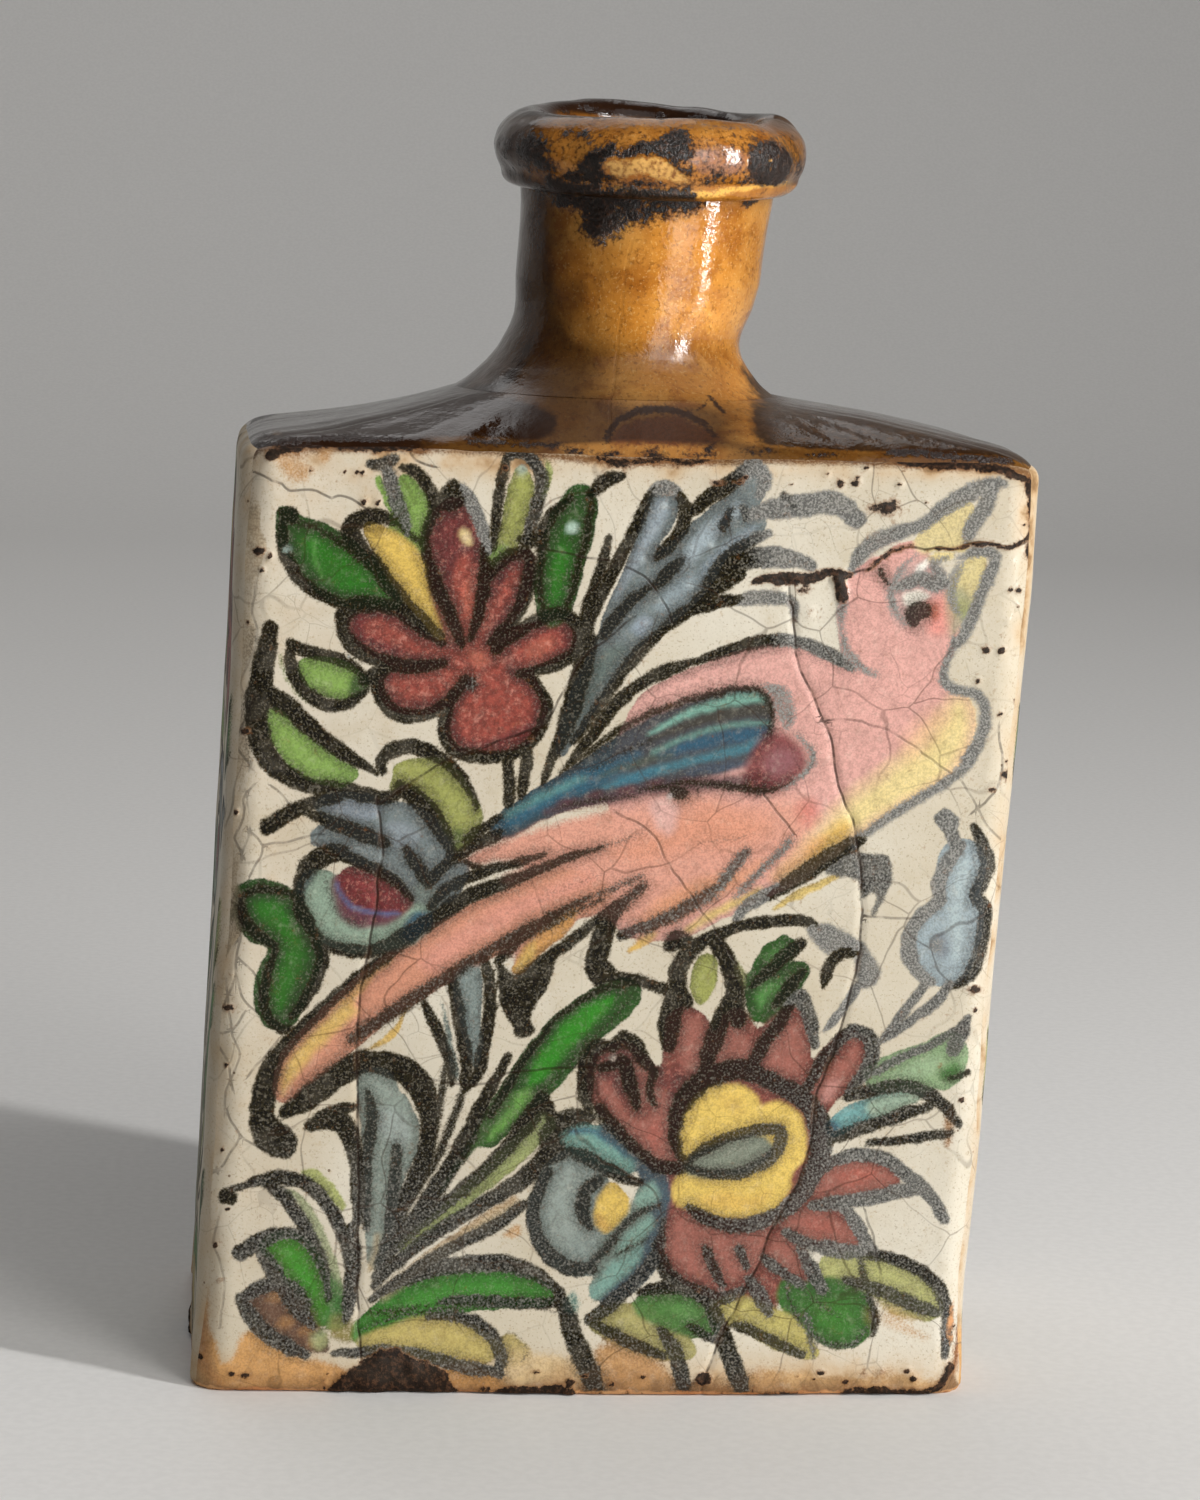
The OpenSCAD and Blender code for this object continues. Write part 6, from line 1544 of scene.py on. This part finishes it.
# ------------------------------------------------------------------ shoulder, neck and lip
NECK_Z = [106.2, 107.0, 107.7, 108.4, 109.0, 109.7, 110.3, 111.0, 111.7, 112.4, 113.1, 114.3, 115.6, 118.2, 122.1, 126.2, 128.6]
NECK_C = [0.80, 0.83, 0.90, 0.97, 1.05, 1.13, 1.22, 1.33, 1.48, 1.70, 1.95, 2.38, 2.70, 2.96, 3.25, 3.58, 3.70]
NECK_R = [17.4, 16.25, 15.45, 14.80, 14.25, 13.75, 13.36, 13.06, 12.85, 12.72, 12.66, 12.75, 12.98, 13.36, 13.48, 13.75, 13.95]
LIP = np.array([3.6, -0.9, 132.2])
NOD = math.radians(4.5)


NECK_RY = [17.4, 16.25, 15.45, 14.80, 14.25, 13.80, 13.48, 13.28, 13.16, 13.08, 13.04, 13.00, 12.98, 12.98, 13.00, 13.06, 13.20]


def neck_y(z):
    return 0.3 + 0.0 * z


def ring_pts(cx, cy, cz, r, th, tilt, ry=None):
    c, s = np.cos(th), np.sin(th)
    ry = r if ry is None else ry
    return np.stack([cx + r * c, cy + ry * s * math.cos(tilt), cz + ry * s * math.sin(tilt)], 1)


def loft(rings, closed=True):
    """rings of equal count joined round, first to last, and last to first when closed"""
    n = len(rings[0])
    V = np.vstack(rings)
    faces, uv = [], []
    m = len(rings)
    lim = m if closed else m - 1
    for j in range(lim):
        j2 = (j + 1) % m
        for i in range(n):
            i2 = (i + 1) % n
            faces.append([j * n + i, j * n + i2, j2 * n + i2, j2 * n + i])
    return V, faces


def loft_uv(ob, n, m, vs, lim):
    """around the ring in u, along the section in v (vs has lim + 1 values)"""
    uv = []
    for j in range(lim):
        a, b = vs[j], vs[j + 1]
        for i in range(n):
            u0, u1 = i / n, (i + 1) / n
            uv += [(u0, a), (u1, a), (u1, b), (u0, b)]
    put_uv(ob, np.array(uv))


def section_v(rings, main):
    """v shares: the rows up to main get 88 % of the height by length, the rest share 12 %"""
    c = [np.mean(np.linalg.norm(rings[(j + 1) % len(rings)] - rings[j], axis=1)) for j in range(len(rings))]
    a, b = np.array(c[:main]), np.array(c[main:])
    v = [0.004]
    for x in a:
        v.append(v[-1] + 0.88 * x / a.sum())
    v[-1] = 0.884
    w = 0.9
    v2 = []
    for x in b:
        v2.append((w, w + 0.095 * x / b.sum()))
        w += 0.095 * x / b.sum()
    return v, v2


def finish_loft(name, rings, main, node, mat, disp=0.12, hide_sharp=True):
    """rings: closed section; the first `main` spans are the outer skin"""
    n = len(rings[0])
    V, faces = loft(rings)
    ob = make_object(name, V, faces, True, [(main * n + i, main * n + (i + 1) % n) for i in range(n)] + [(i, (i + 1) % n) for i in range(n)])
    v, v2 = section_v(rings, main)
    uv = []
    for j in range(len(rings)):
        a, b = (v[j], v[j + 1]) if j < main else v2[j - main]
        for i in range(n):
            u0, u1 = 0.004 + 0.992 * i / n, 0.004 + 0.992 * (i + 1) / n
            uv += [(u0, a), (u1, a), (u1, b), (u0, b)]
    put_uv(ob, np.array(uv))
    ob.data.materials.append(mat)
    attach(ob, "root")
    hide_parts(node)
    return ob, V


def top_paint(V, c):
    """picture pixels of points on the top parts; the far half repeats the near half"""
    W = V.copy()
    far = W[:, 1] > c
    W[far, 1] = 2 * c - W[far, 1]
    P = Paint(*project(W))
    P.haze = np.zeros(len(V))
    P.shade = np.zeros(len(V))
    P.dim = np.zeros(len(V))
    P.pale = np.zeros(len(V))
    P.matte = np.zeros(len(V))
    return P


def top_both(V, c, cx, rad, kind):
    P = top_paint(V, c)
    top_painting(P, V, kind)
    U = V.copy()
    far = U[:, 1] > c
    U[far, 0] = 2 * cx - U[far, 0]
    Q = top_paint(U, c)
    top_painting(Q, U, kind)
    w = sstep((V[:, 1] - c) / rad, 0.10, 0.55)
    for nme in ("a", "ink", "shade", "dim", "pale", "matte", "crust_and_shadow", "bare", "crm"):
        setattr(P, nme, (1 - w) * getattr(P, nme) + w * getattr(Q, nme))
    P.rgb = np.where((w > 0.5)[:, None], Q.rgb, P.rgb)
    P.crs = np.where(w > 0.5, Q.crs, P.crs)
    return P


def put_top(ob, P):
    put_color(ob, "fill", np.where(P.a[:, None] > 0, P.rgb, 0.3))
    for nme in ("fa", "ink", "shade", "dim", "pale", "matte", "crust_and_shadow", "bare", "crs", "crm"):
        v = P.a if nme == "fa" else getattr(P, nme)
        put_float(ob, nme, v if nme == "crs" else np.clip(v, 0, 1))


def top_painting(P, V, kind):
    s = P.soft
    if kind == "shoulder":
        P.patch("shade", [(225, 470), (258, 436), (300, 412), (370, 400), (440, 390), (490, 394), (530, 404), (556, 418), (548, 438), (500, 448), (420, 450), (340, 451), (290, 460)], 1.0, 18)
        P.patch("shade", [(752, 412), (780, 402), (860, 410), (940, 424), (1010, 442), (1050, 478), (1010, 474), (930, 464), (850, 458), (790, 452), (758, 440)], 1.0, 18)
        P.line("crust_and_shadow", [(255, 447), (300, 441), (345, 438), (400, 440)], [8, 7, 6, 4], 0.9)
        P.line("crust_and_shadow", [(470, 441), (520, 444), (560, 446)], 5, 0.6)
        P.line("crust_and_shadow", [(890, 452), (950, 456), (1010, 462)], 6, 0.85)
        for c, r, v in (((606, 458), (14, 7), 0.9), ((652, 454), (11, 8), 0.9), ((709, 450), (6, 8), 0.8), ((575, 452), (10, 5), 0.5), ((690, 456), (16, 5), 0.5), ((760, 452), (20, 4), 0.5), ((830, 455), (22, 4), 0.5)):
            s("crust_and_shadow", c, r, v)
        s("bare", (276, 433), (9, 4), 0.7)
        s("crust_and_shadow", (268, 436), (10, 5), 0.7)
        s("shade", (620, 448), (160, 10), 0.35)
    P.fill((140, 74, 28), [(612, 444), (622, 425), (645, 417), (672, 415), (700, 424), (716, 444)], 14, 0.8)
    P.k([(606, 442), (612, 427), (630, 414), (655, 409), (682, 413), (704, 424), (716, 436)], 6.5, 0, 7, 1.0)
    P.k([(711, 397), (717, 404), (723, 412)], 4.5, 0, 5)
    P.k([(698, 409), (706, 403)], 3.5, 0, 5)
    P.k([(472, 395), (474, 404), (471, 412), (482, 414)], 4.5, 0, 5)
    P.k([(500, 412), (520, 416)], 4.5, 0, 5)
    P.line("shade", [(532, 340), (520, 362), (504, 382), (478, 394), (440, 401)], [6, 14, 20, 22, 20], 0.8, 20)
    P.line("shade", [(742, 366), (754, 386), (772, 399), (800, 408)], [4, 9, 14, 18], 0.85, 12)
    P.crack([(632, 240), (628, 260), (623, 290), (621, 320), (617, 350), (614, 380), (610, 405), (608, 440)], 0.30)
    P.crack([(560, 235), (566, 270), (558, 300), (570, 330)], 0.25)
    P.crack([(640, 300), (665, 318), (690, 330), (720, 322)], 0.2)
    low = sstep(V[:, 2], 112.0, 106.6)
    P.shade = np.maximum(P.shade, low * sstep(np.abs(V[:, 0] - SEAT[0]) + 3.0 * vnoise(V, 7.0, 73) + 1.5 * vnoise(V, 2.5, 74), 9.5, 19.0))
    edge = P.y + 4.0 * vnoise(V, 5.0, 75) - np.interp(P.x, [240, 300, 440, 600, 760, 900, 1000, 1036], [452, 446, 446, 452, 455, 462, 470, 478])
    P.shade *= 1 - 0.8 * sstep(edge, -17, -7) * sstep(P.x, 395, 450)
    # dim: the dark left flank of the neck, partly painted shade and partly darker glaze; a duller, browner flare that
    # darkens into the crease where it meets the shoulder, partly painted shade in that crease; the brown front of the
    # shoulder
    below = sstep(P.y, 168, 196)
    P.dim += below * (0.66 * sstep(P.x, 580, 532) + 0.40 * sstep(P.x, 650, 545)) + 0.62 * sstep(P.x, 545, 505) * (1 - below)
    P.dim += 0.66 * sstep(P.y + 9.0 * vnoise(V, 6.0, 76), 312, 366) * sstep(P.x, 800, 690)
    P.dim += 0.46 * sstep(P.y + 5.0 * vnoise(V, 4.0, 77), 390, 424) * (1 - 0.4 * sstep(P.x, 700, 780))
    P.dim += 0.46 * sstep(P.x, 700, 770) * (1 - sstep(P.y, 318, 378)) * below
    P.dim *= 1 - 0.55 * sstep(edge, -15, -4) * sstep(P.x, 790, 700)
    P.dim += 0.62 * sstep(edge, -17, -8) * sstep(P.x, 690, 790)
    P.matte += 0.95 * sstep(P.y, 340, 386) * sstep(np.abs(P.x - 650), 150, 90)
    s("dim", (605, 235), (40, 30), 0.25)
    s("dim", (585, 300), (46, 64), 0.34)
    s("dim", (650, 345), (60, 18), 0.08)
    # under the lip: kiln crust on the neck, with a painted shadow line along the underside of the lip's overhang
    P.patch("crust_and_shadow", [(546, 188), (556, 202), (568, 208), (580, 214), (583, 226), (590, 236), (598, 243), (607, 238), (622, 233), (634, 227), (648, 222), (662, 218), (682, 213), (698, 208), (704, 198), (690, 190), (650, 188), (600, 188), (570, 186)], 0.66, 16)
    s("crust_and_shadow", (598, 224), (16, 18), 0.5)
    s("crust_and_shadow", (600, 204), (10, 10), 0.4)
    s("crust_and_shadow", (629, 203), (7, 8), 0.6)
    s("crust_and_shadow", (690, 203), (13, 8), 0.5)
    s("crust_and_shadow", (568, 200), (14, 8), 0.4)
    # painted shadow under the lip's overhang, drawn with the crust mask
    P.line("crust_and_shadow", [(540, 190), (580, 196), (640, 198), (692, 199)], [12, 16, 14, 7], 0.55, 10)
    P.line("crust_and_shadow", [(746, 203), (757, 196), (766, 192)], 6, 0.9, 6)
    P.fill((132, 96, 78), [(606, 200), (622, 196), (650, 196), (680, 200), (676, 212), (650, 218), (626, 222), (612, 214)], 12, 0.5, 0)
    if kind == "lip":
        P.dim += 0.52 * sstep(P.x, 575, 515) + 0.62 * sstep(P.x, 748, 796)
        P.crust_and_shadow += 0.16 * sstep(P.y, 122, 140)
        # painted shade on the inner face of the lip and inside the mouth
        P.dim += 0.44 * sstep(P.y, 138, 122) + 0.48 * sstep(P.y, 123, 114)
        P.patch("crust_and_shadow", [(516, 150), (519, 139), (528, 133), (540, 132), (546, 140), (549, 152), (553, 163), (558, 170), (556, 178), (545, 174), (532, 169), (520, 163)], 0.72, 12)
        # partly kiln crust, partly painted shade: a dark band along the lower left of the lip above its overhang
        P.patch("crust_and_shadow", [(545, 172), (560, 177), (575, 182), (602, 184), (606, 196), (588, 199), (566, 194), (548, 187)], 0.8, 10)
        P.patch("crust_and_shadow", [(579, 167), (587, 155), (600, 148), (612, 142), (618, 150), (613, 157), (606, 161), (603, 170), (607, 180), (598, 185), (588, 183), (574, 183), (561, 178), (566, 172), (573, 170)], 0.85, 9)
        P.patch("crust_and_shadow", [(610, 150), (622, 152), (632, 147), (640, 139), (650, 142), (660, 139), (667, 131), (682, 129), (691, 136), (689, 148), (694, 156), (686, 161), (680, 166), (691, 170), (686, 177), (676, 168), (668, 158), (656, 154), (644, 153), (632, 157), (616, 157)], 0.85, 9)
        P.patch("crust_and_shadow", [(751, 152), (755, 137), (764, 142), (772, 139), (781, 146), (789, 152), (793, 164), (786, 179), (776, 187), (764, 189), (752, 185), (746, 172), (748, 160)], 0.8, 10)
        for c, r, v in (((565, 133), (5, 4), 0.7), ((584, 134), (7, 5), 0.75), ((590, 141), (4, 4), 0.6), ((612, 178), (9, 4), 0.5), ((640, 182), (14, 3), 0.5), ((708, 184), (12, 5), 0.55), ((690, 188), (8, 4), 0.45), ((742, 184), (5, 5), 0.5),
                        ((716, 174), (12, 7), 0.35), ((640, 196), (70, 3), 0.6), ((800, 165), (6, 12), 0.4), ((726, 152), (6, 5), 0.3), ((505, 150), (8, 22), 0.3)):
            s("crust_and_shadow", c, r, v)
        P.fill((150, 106, 84), [(690, 150), (704, 146), (728, 146), (748, 152), (746, 168), (736, 176), (714, 178), (696, 172), (690, 160)], 12, 0.6, 0)
        P.patch("bare", [(603, 162), (618, 158), (640, 157), (658, 157), (676, 167), (690, 178), (684, 185), (664, 180), (640, 176), (622, 179), (608, 173)], 0.72, 10)
        P.crust_and_shadow *= 1 - 0.9 * sstep(P.y, 182, 188) * sstep(P.x, 672, 712) * sstep(P.x, 806, 790)
        P.dim *= 1 - 0.6 * sstep(P.y, 182, 188) * sstep(P.x, 672, 712)
        # bright orange-yellow band along the lip's lower ridge, partly a painted highlight of light from above and the
        # right
        P.band((228, 172, 80), [(614, 187), (640, 191), (680, 193), (705, 195), (735, 190), (762, 185), (790, 182)], [3, 5, 6, 7, 6, 5, 6], 6, 0.85)
        s("bare", (769, 160), (4, 3), 0.9)
        s("bare", (722, 164), (14, 8), 0.35)
        s("bare", (790, 154), (3, 5), 0.5)
        # painted reflection: a greyish band along the crest of the lip; painted shade inside the mouth, with kiln crust
        # spots
        P.fill((128, 112, 96), [(505, 128), (540, 118), (600, 124), (660, 122), (720, 124), (770, 127), (760, 131), (700, 129), (640, 128), (590, 129), (540, 126)], 8, 0.5, 0)
        P.shade += 0.78 * sstep(P.y, 121, 113)
        for c, r in (((600, 113), (12, 5)), ((690, 115), (12, 4)), ((575, 108), (8, 4)), ((640, 112), (7, 4)), ((738, 119), (10, 3)), ((662, 117), (6, 4)), ((545, 112), (8, 4)), ((715, 112), (10, 4))):
            s("crust_and_shadow", c, r, 0.8)


amber = amber_material("amber_glaze")
worn = amber_material("worn_glaze", 0.45)

# shoulder: roof from the wall tops to the neck seat
cols = []
for (x0, y0), (x1, y1), n in (((-1, -1), (1, -1), 150), ((1, -1), (1, 1), 80), ((1, 1), (-1, 1), 150), ((-1, 1), (-1, -1), 80)):
    for i in range(n):
        t = i / n
        cols.append((x0 + (x1 - x0) * t, y0 + (y1 - y0) * t))
cols = np.array(cols)
qa, qy = cols[:, 0] * half_w(101.0), cols[:, 1] * HD
qz = z_top(qa, qy)
P0 = body_map(qa, qy, qz)
ang = np.arctan2(P0[:, 1] - SEAT[1], P0[:, 0] - SEAT[0])
P1 = np.stack([SEAT[0] + SEAT_R * np.cos(ang), SEAT[1] + SEAT_R * np.sin(ang), np.full(len(ang), SEAT[2])], 1)
L = np.linalg.norm((P1 - P0)[:, :2], axis=1)
dz = P1[:, 2] - P0[:, 2]
lam, cc = 1.1, 0.5
S = (dz - lam - cc) / (L - lam)
ts = np.concatenate([np.linspace(0, 0.18, 14)[:-1], np.linspace(0.18, 1.0, 30)])
rings = []
for t in ts:
    d = t * L
    z = P0[:, 2] + (1 - S) * lam * (1 - np.exp(-d / lam)) + S * d + cc * t ** 4
    err = dz - ((1 - S) * lam * (1 - np.exp(-L / lam)) + S * L + cc)
    z = z + err * t
    p = P0 + (P1 - P0) * t
    p[:, 2] = z
    bell = math.sin(math.pi * t)
    p[:, 2] += bell * (0.75 * (p[:, 0] - 0.8) / 42.0 + 0.25 * vnoise(p, 13.0, 7) + 0.08 * vnoise(p, 4.5, 8))
    rings.append(p)
main = len(rings) - 1
# underside: hole under the neck, then back out to the wall's inner edge
hole = np.stack([SEAT[0] + 10.3 * np.cos(ang), SEAT[1] + 10.3 * np.sin(ang), np.full(len(ang), SEAT[2] - 0.15)], 1)
hole2 = hole.copy()
hole2[:, 2] = SEAT[2] - 5.0
inz = 101.0 - WALL
ia, iy = np.clip(qa, -(half_w(inz) - WALL), half_w(inz) - WALL), np.clip(qy, -(HD - WALL), HD - WALL)
inn = np.stack([ia + BX + inz * LEAN, iy, np.full(len(ia), inz)], 1)
rings += [hole, hole2, inn]
ob, V = finish_loft("shoulder_roof", rings, main, "shoulder", amber)
P = top_both(V, SEAT[1], SEAT[0], 21.0, "shoulder")
put_top(ob, P)

th = np.linspace(0, 2 * math.pi, 241)[:-1]


def neck_ring(z, dr=0.0, tilt=0.0):
    cx, r = np.interp(z, NECK_Z, NECK_C), np.interp(z, NECK_Z, NECK_R) + dr
    p = ring_pts(cx, neck_y(z), z, r, th, tilt, np.interp(z, NECK_Z, NECK_RY) + dr)
    n = np.stack([np.cos(th), np.sin(th), 0 * th], 1)
    amp = float(sstep(np.array([z]), 106.2, 108.0)[0])
    return p + n * (amp * (0.16 * vnoise(p, 9.0, 9) + 0.06 * vnoise(p, 3.2, 10)))[:, None]


def neck_tilt(z):
    return NOD * float(sstep(np.array([z]), 113.0, 126.0)[0])


JOIN = 112.4
zs = np.linspace(106.2, JOIN, 26)
rings = [neck_ring(z) for z in zs]
main = len(rings) - 1
inner_top = ring_pts(np.interp(JOIN, NECK_Z, NECK_C), neck_y(JOIN), JOIN, 11.9, th, 0)
inner_bot = ring_pts(SEAT[0], SEAT[1], 106.2, 11.9, th, 0)
rings += [inner_top, inner_bot]
ob, V = finish_loft("neck_flare", rings, main, "neck_coil", amber)
P = top_both(V, 0.2, 1.2, 14.0, "neck")
put_top(ob, P)

zs = np.linspace(JOIN, 128.5, 58)
rings = [neck_ring(z, 0.0, neck_tilt(z)) for z in zs]
main = len(rings) - 1
for z, r in ((128.5, 9.8), (122.0, 9.7), (116.0, 9.6), (110.0, 9.55), (106.2, 9.55)):
    rings.append(ring_pts(np.interp(z, NECK_Z, NECK_C), neck_y(z), z, r, th, neck_tilt(z)))
rings.append(ring_pts(SEAT[0] + 0.1, SEAT[1], 106.2, 11.85, th, 0))
rings.append(ring_pts(np.interp(JOIN, NECK_Z, NECK_C), neck_y(JOIN), JOIN - 0.02, 11.85, th, 0))
ob, V = finish_loft("neck_tube", rings, main, "neck", amber)
P = top_both(V, 0.3, 3.0, 13.0, "neck")
put_top(ob, P)
P.crust_and_shadow[(main + 1) * len(th):] = 0
roughen(ob, V, P, away(V, (3.4, 0.3, 0)), 0.22)

LIP_PROFILE = [(13.3, -3.95), (14.2, -4.05), (14.95, -3.95), (15.5, -3.65), (15.85, -3.2), (15.98, -2.75), (16.05, -2.35), (16.3, -1.85), (16.62, -1.2), (16.84, -0.5), (16.9, 0.2), (16.8, 0.9), (16.55, 1.6),
               (16.1, 2.3), (15.5, 2.95), (14.8, 3.5), (14.1, 3.9), (13.4, 4.15), (12.7, 4.2), (12.0, 4.0), (11.45, 3.6), (11.0, 3.0), (10.6, 2.2), (10.25, 1.2), (9.95, 0.0), (9.8, -1.4), (9.75, -2.6), (9.75, -3.7)]
prof = spline(LIP_PROFILE, step=0.28)
rings = []
for r, h in prof:
    p = ring_pts(LIP[0], LIP[1], LIP[2], r, th, NOD)
    ax = np.array([0.0, -math.sin(NOD), math.cos(NOD)])
    p = p + ax * h
    n = np.stack([np.cos(th), np.sin(th), 0 * th], 1)
    w = min(1.0, max(0.0, (r - 10.2) / 3.0)) * min(1.0, max(0.0, (h + 3.75) / 0.8))
    p = p + n * (w * (0.34 * vnoise(p, 8.0, 12) + 0.20 * vnoise(p, 3.0, 13) + 0.07 * vnoise(p, 1.3, 15)))[:, None]
    up = min(1.0, max(0.0, (h + 0.5) / 4.0))
    p[:, 2] += up * (0.45 * np.exp(-((np.degrees(th) - 128) / 34) ** 2) - 0.30 * np.exp(-((np.degrees(th) - 345) / 30) ** 2))
    p[:, 2] += (0.25 * up + 0.20) * w * vnoise(p, 7.0, 14) + 0.10 * w * vnoise(p, 2.6, 16)
    rings.append(p)
main = len(rings) - 1
ob, V = finish_loft("lip_band", rings, main, "lip_ring", worn)
P = top_both(V, LIP[1], LIP[0], 16.0, "lip")
put_top(ob, P)
P.crust_and_shadow[np.hypot(V[:, 0] - LIP[0], V[:, 1] - LIP[1]) < 13.8] = 0
roughen(ob, V, P, away(V, LIP), 0.26)

# ------------------------------------------------------------------ CAD parts that stay: bare clay inside and underneath
for nm in ("base_slab", "corner_coils", "base_coil"):
    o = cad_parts[nm]
    o = o if hasattr(o, "data") else bpy.data.objects[nm]
    o.data.materials.clear()
    o.data.materials.append(clay)

# ------------------------------------------------------------------ floor, light, camera
fm = Mat("studio_floor")
fcol = fm.mix(fm.smooth(fm.noise(1.2, 2.0), 0.3, 0.7), C(216, 214, 211), C(221, 219, 216))
fm.out(Base_Color=fcol, Roughness=0.55)
gx = [-1.6, 1.6]
prof_f = [(-1.2, 0.0), (0.9, 0.0)] + [(0.9 + 0.6 * math.sin(a), 0.6 - 0.6 * math.cos(a)) for a in np.linspace(0.1, math.pi / 2, 14)] + [(1.5, 2.2)]
fv = [(x, y, z - 0.00002) for y, z in prof_f for x in gx]
ff = [(2 * i, 2 * i + 1, 2 * i + 3, 2 * i + 2) for i in range(len(prof_f) - 1)]
fme = bpy.data.meshes.new("studio_floor")
fme.from_pydata(fv, [], ff)
fme.polygons.foreach_set("use_smooth", np.ones(len(ff), bool))
floor = bpy.data.objects.new("studio_floor", fme)
bpy.context.scene.collection.objects.link(floor)
floor.data.materials.append(fm.m)


def area(name, az, dist, zc, sx, sy, power, el=0.0, color=(1, 1, 1)):
    """panel az degrees to the right of the front (-Y), centred at height zc, tipped down by el"""
    l = bpy.data.lights.new(name, "AREA")
    l.shape = "RECTANGLE"
    l.size, l.size_y = sx, sy
    l.energy = power
    l.color = color
    o = bpy.data.objects.new(name, l)
    bpy.context.scene.collection.objects.link(o)
    a, e = math.radians(az), math.radians(el)
    d = np.array([math.sin(a) * math.cos(e), -math.cos(a) * math.cos(e), math.sin(e)])
    o.location = (math.sin(a) * dist, -math.cos(a) * dist, zc)
    o.rotation_euler = mathutils.Vector(-d).to_track_quat("-Z", "Y").to_euler()
    return o


import mathutils
area("window", 31, 0.78, 0.42, 0.29, 0.82, 3.7, color=(1.0, 0.985, 0.96))
area("window_edge", 57, 0.76, 0.40, 0.036, 0.74, 8.4)
area("top", 20, 0.95, 1.08, 1.0, 1.0, 2.7, el=47)
area("fill_left", -138, 1.4, 0.7, 1.7, 1.3, 1.7, color=(1.0, 0.985, 0.965))
area("top_back", 192, 0.75, 1.25, 0.9, 0.9, 3.4, el=50)

w = bpy.data.worlds.new("studio")
bpy.context.scene.world = w
w.use_nodes = True
bg = next(n for n in w.node_tree.nodes if n.type == "BACKGROUND")
bg.inputs[0].default_value = (0.5, 0.505, 0.515, 1.0)
bg.inputs[1].default_value = 0.17
bpy.context.scene.view_settings.view_transform = "Standard"

cam_data = bpy.data.cameras.new("camera")
cam_data.lens = F / 1500.0 * 36.0
cam_data.sensor_width = 36.0
cam_data.sensor_fit = "AUTO"
cam_data.clip_start = 0.01
cam = bpy.data.objects.new("camera", cam_data)
bpy.context.scene.collection.objects.link(cam)
rot = mathutils.Matrix(((RV[0], UV[0], -FW[0]), (RV[1], UV[1], -FW[1]), (RV[2], UV[2], -FW[2])))
cam.matrix_world = mathutils.Matrix.Translation(mathutils.Vector(CAM * 0.001)) @ rot.to_4x4()
bpy.context.scene.camera = cam

bpy.context.view_layer.update()
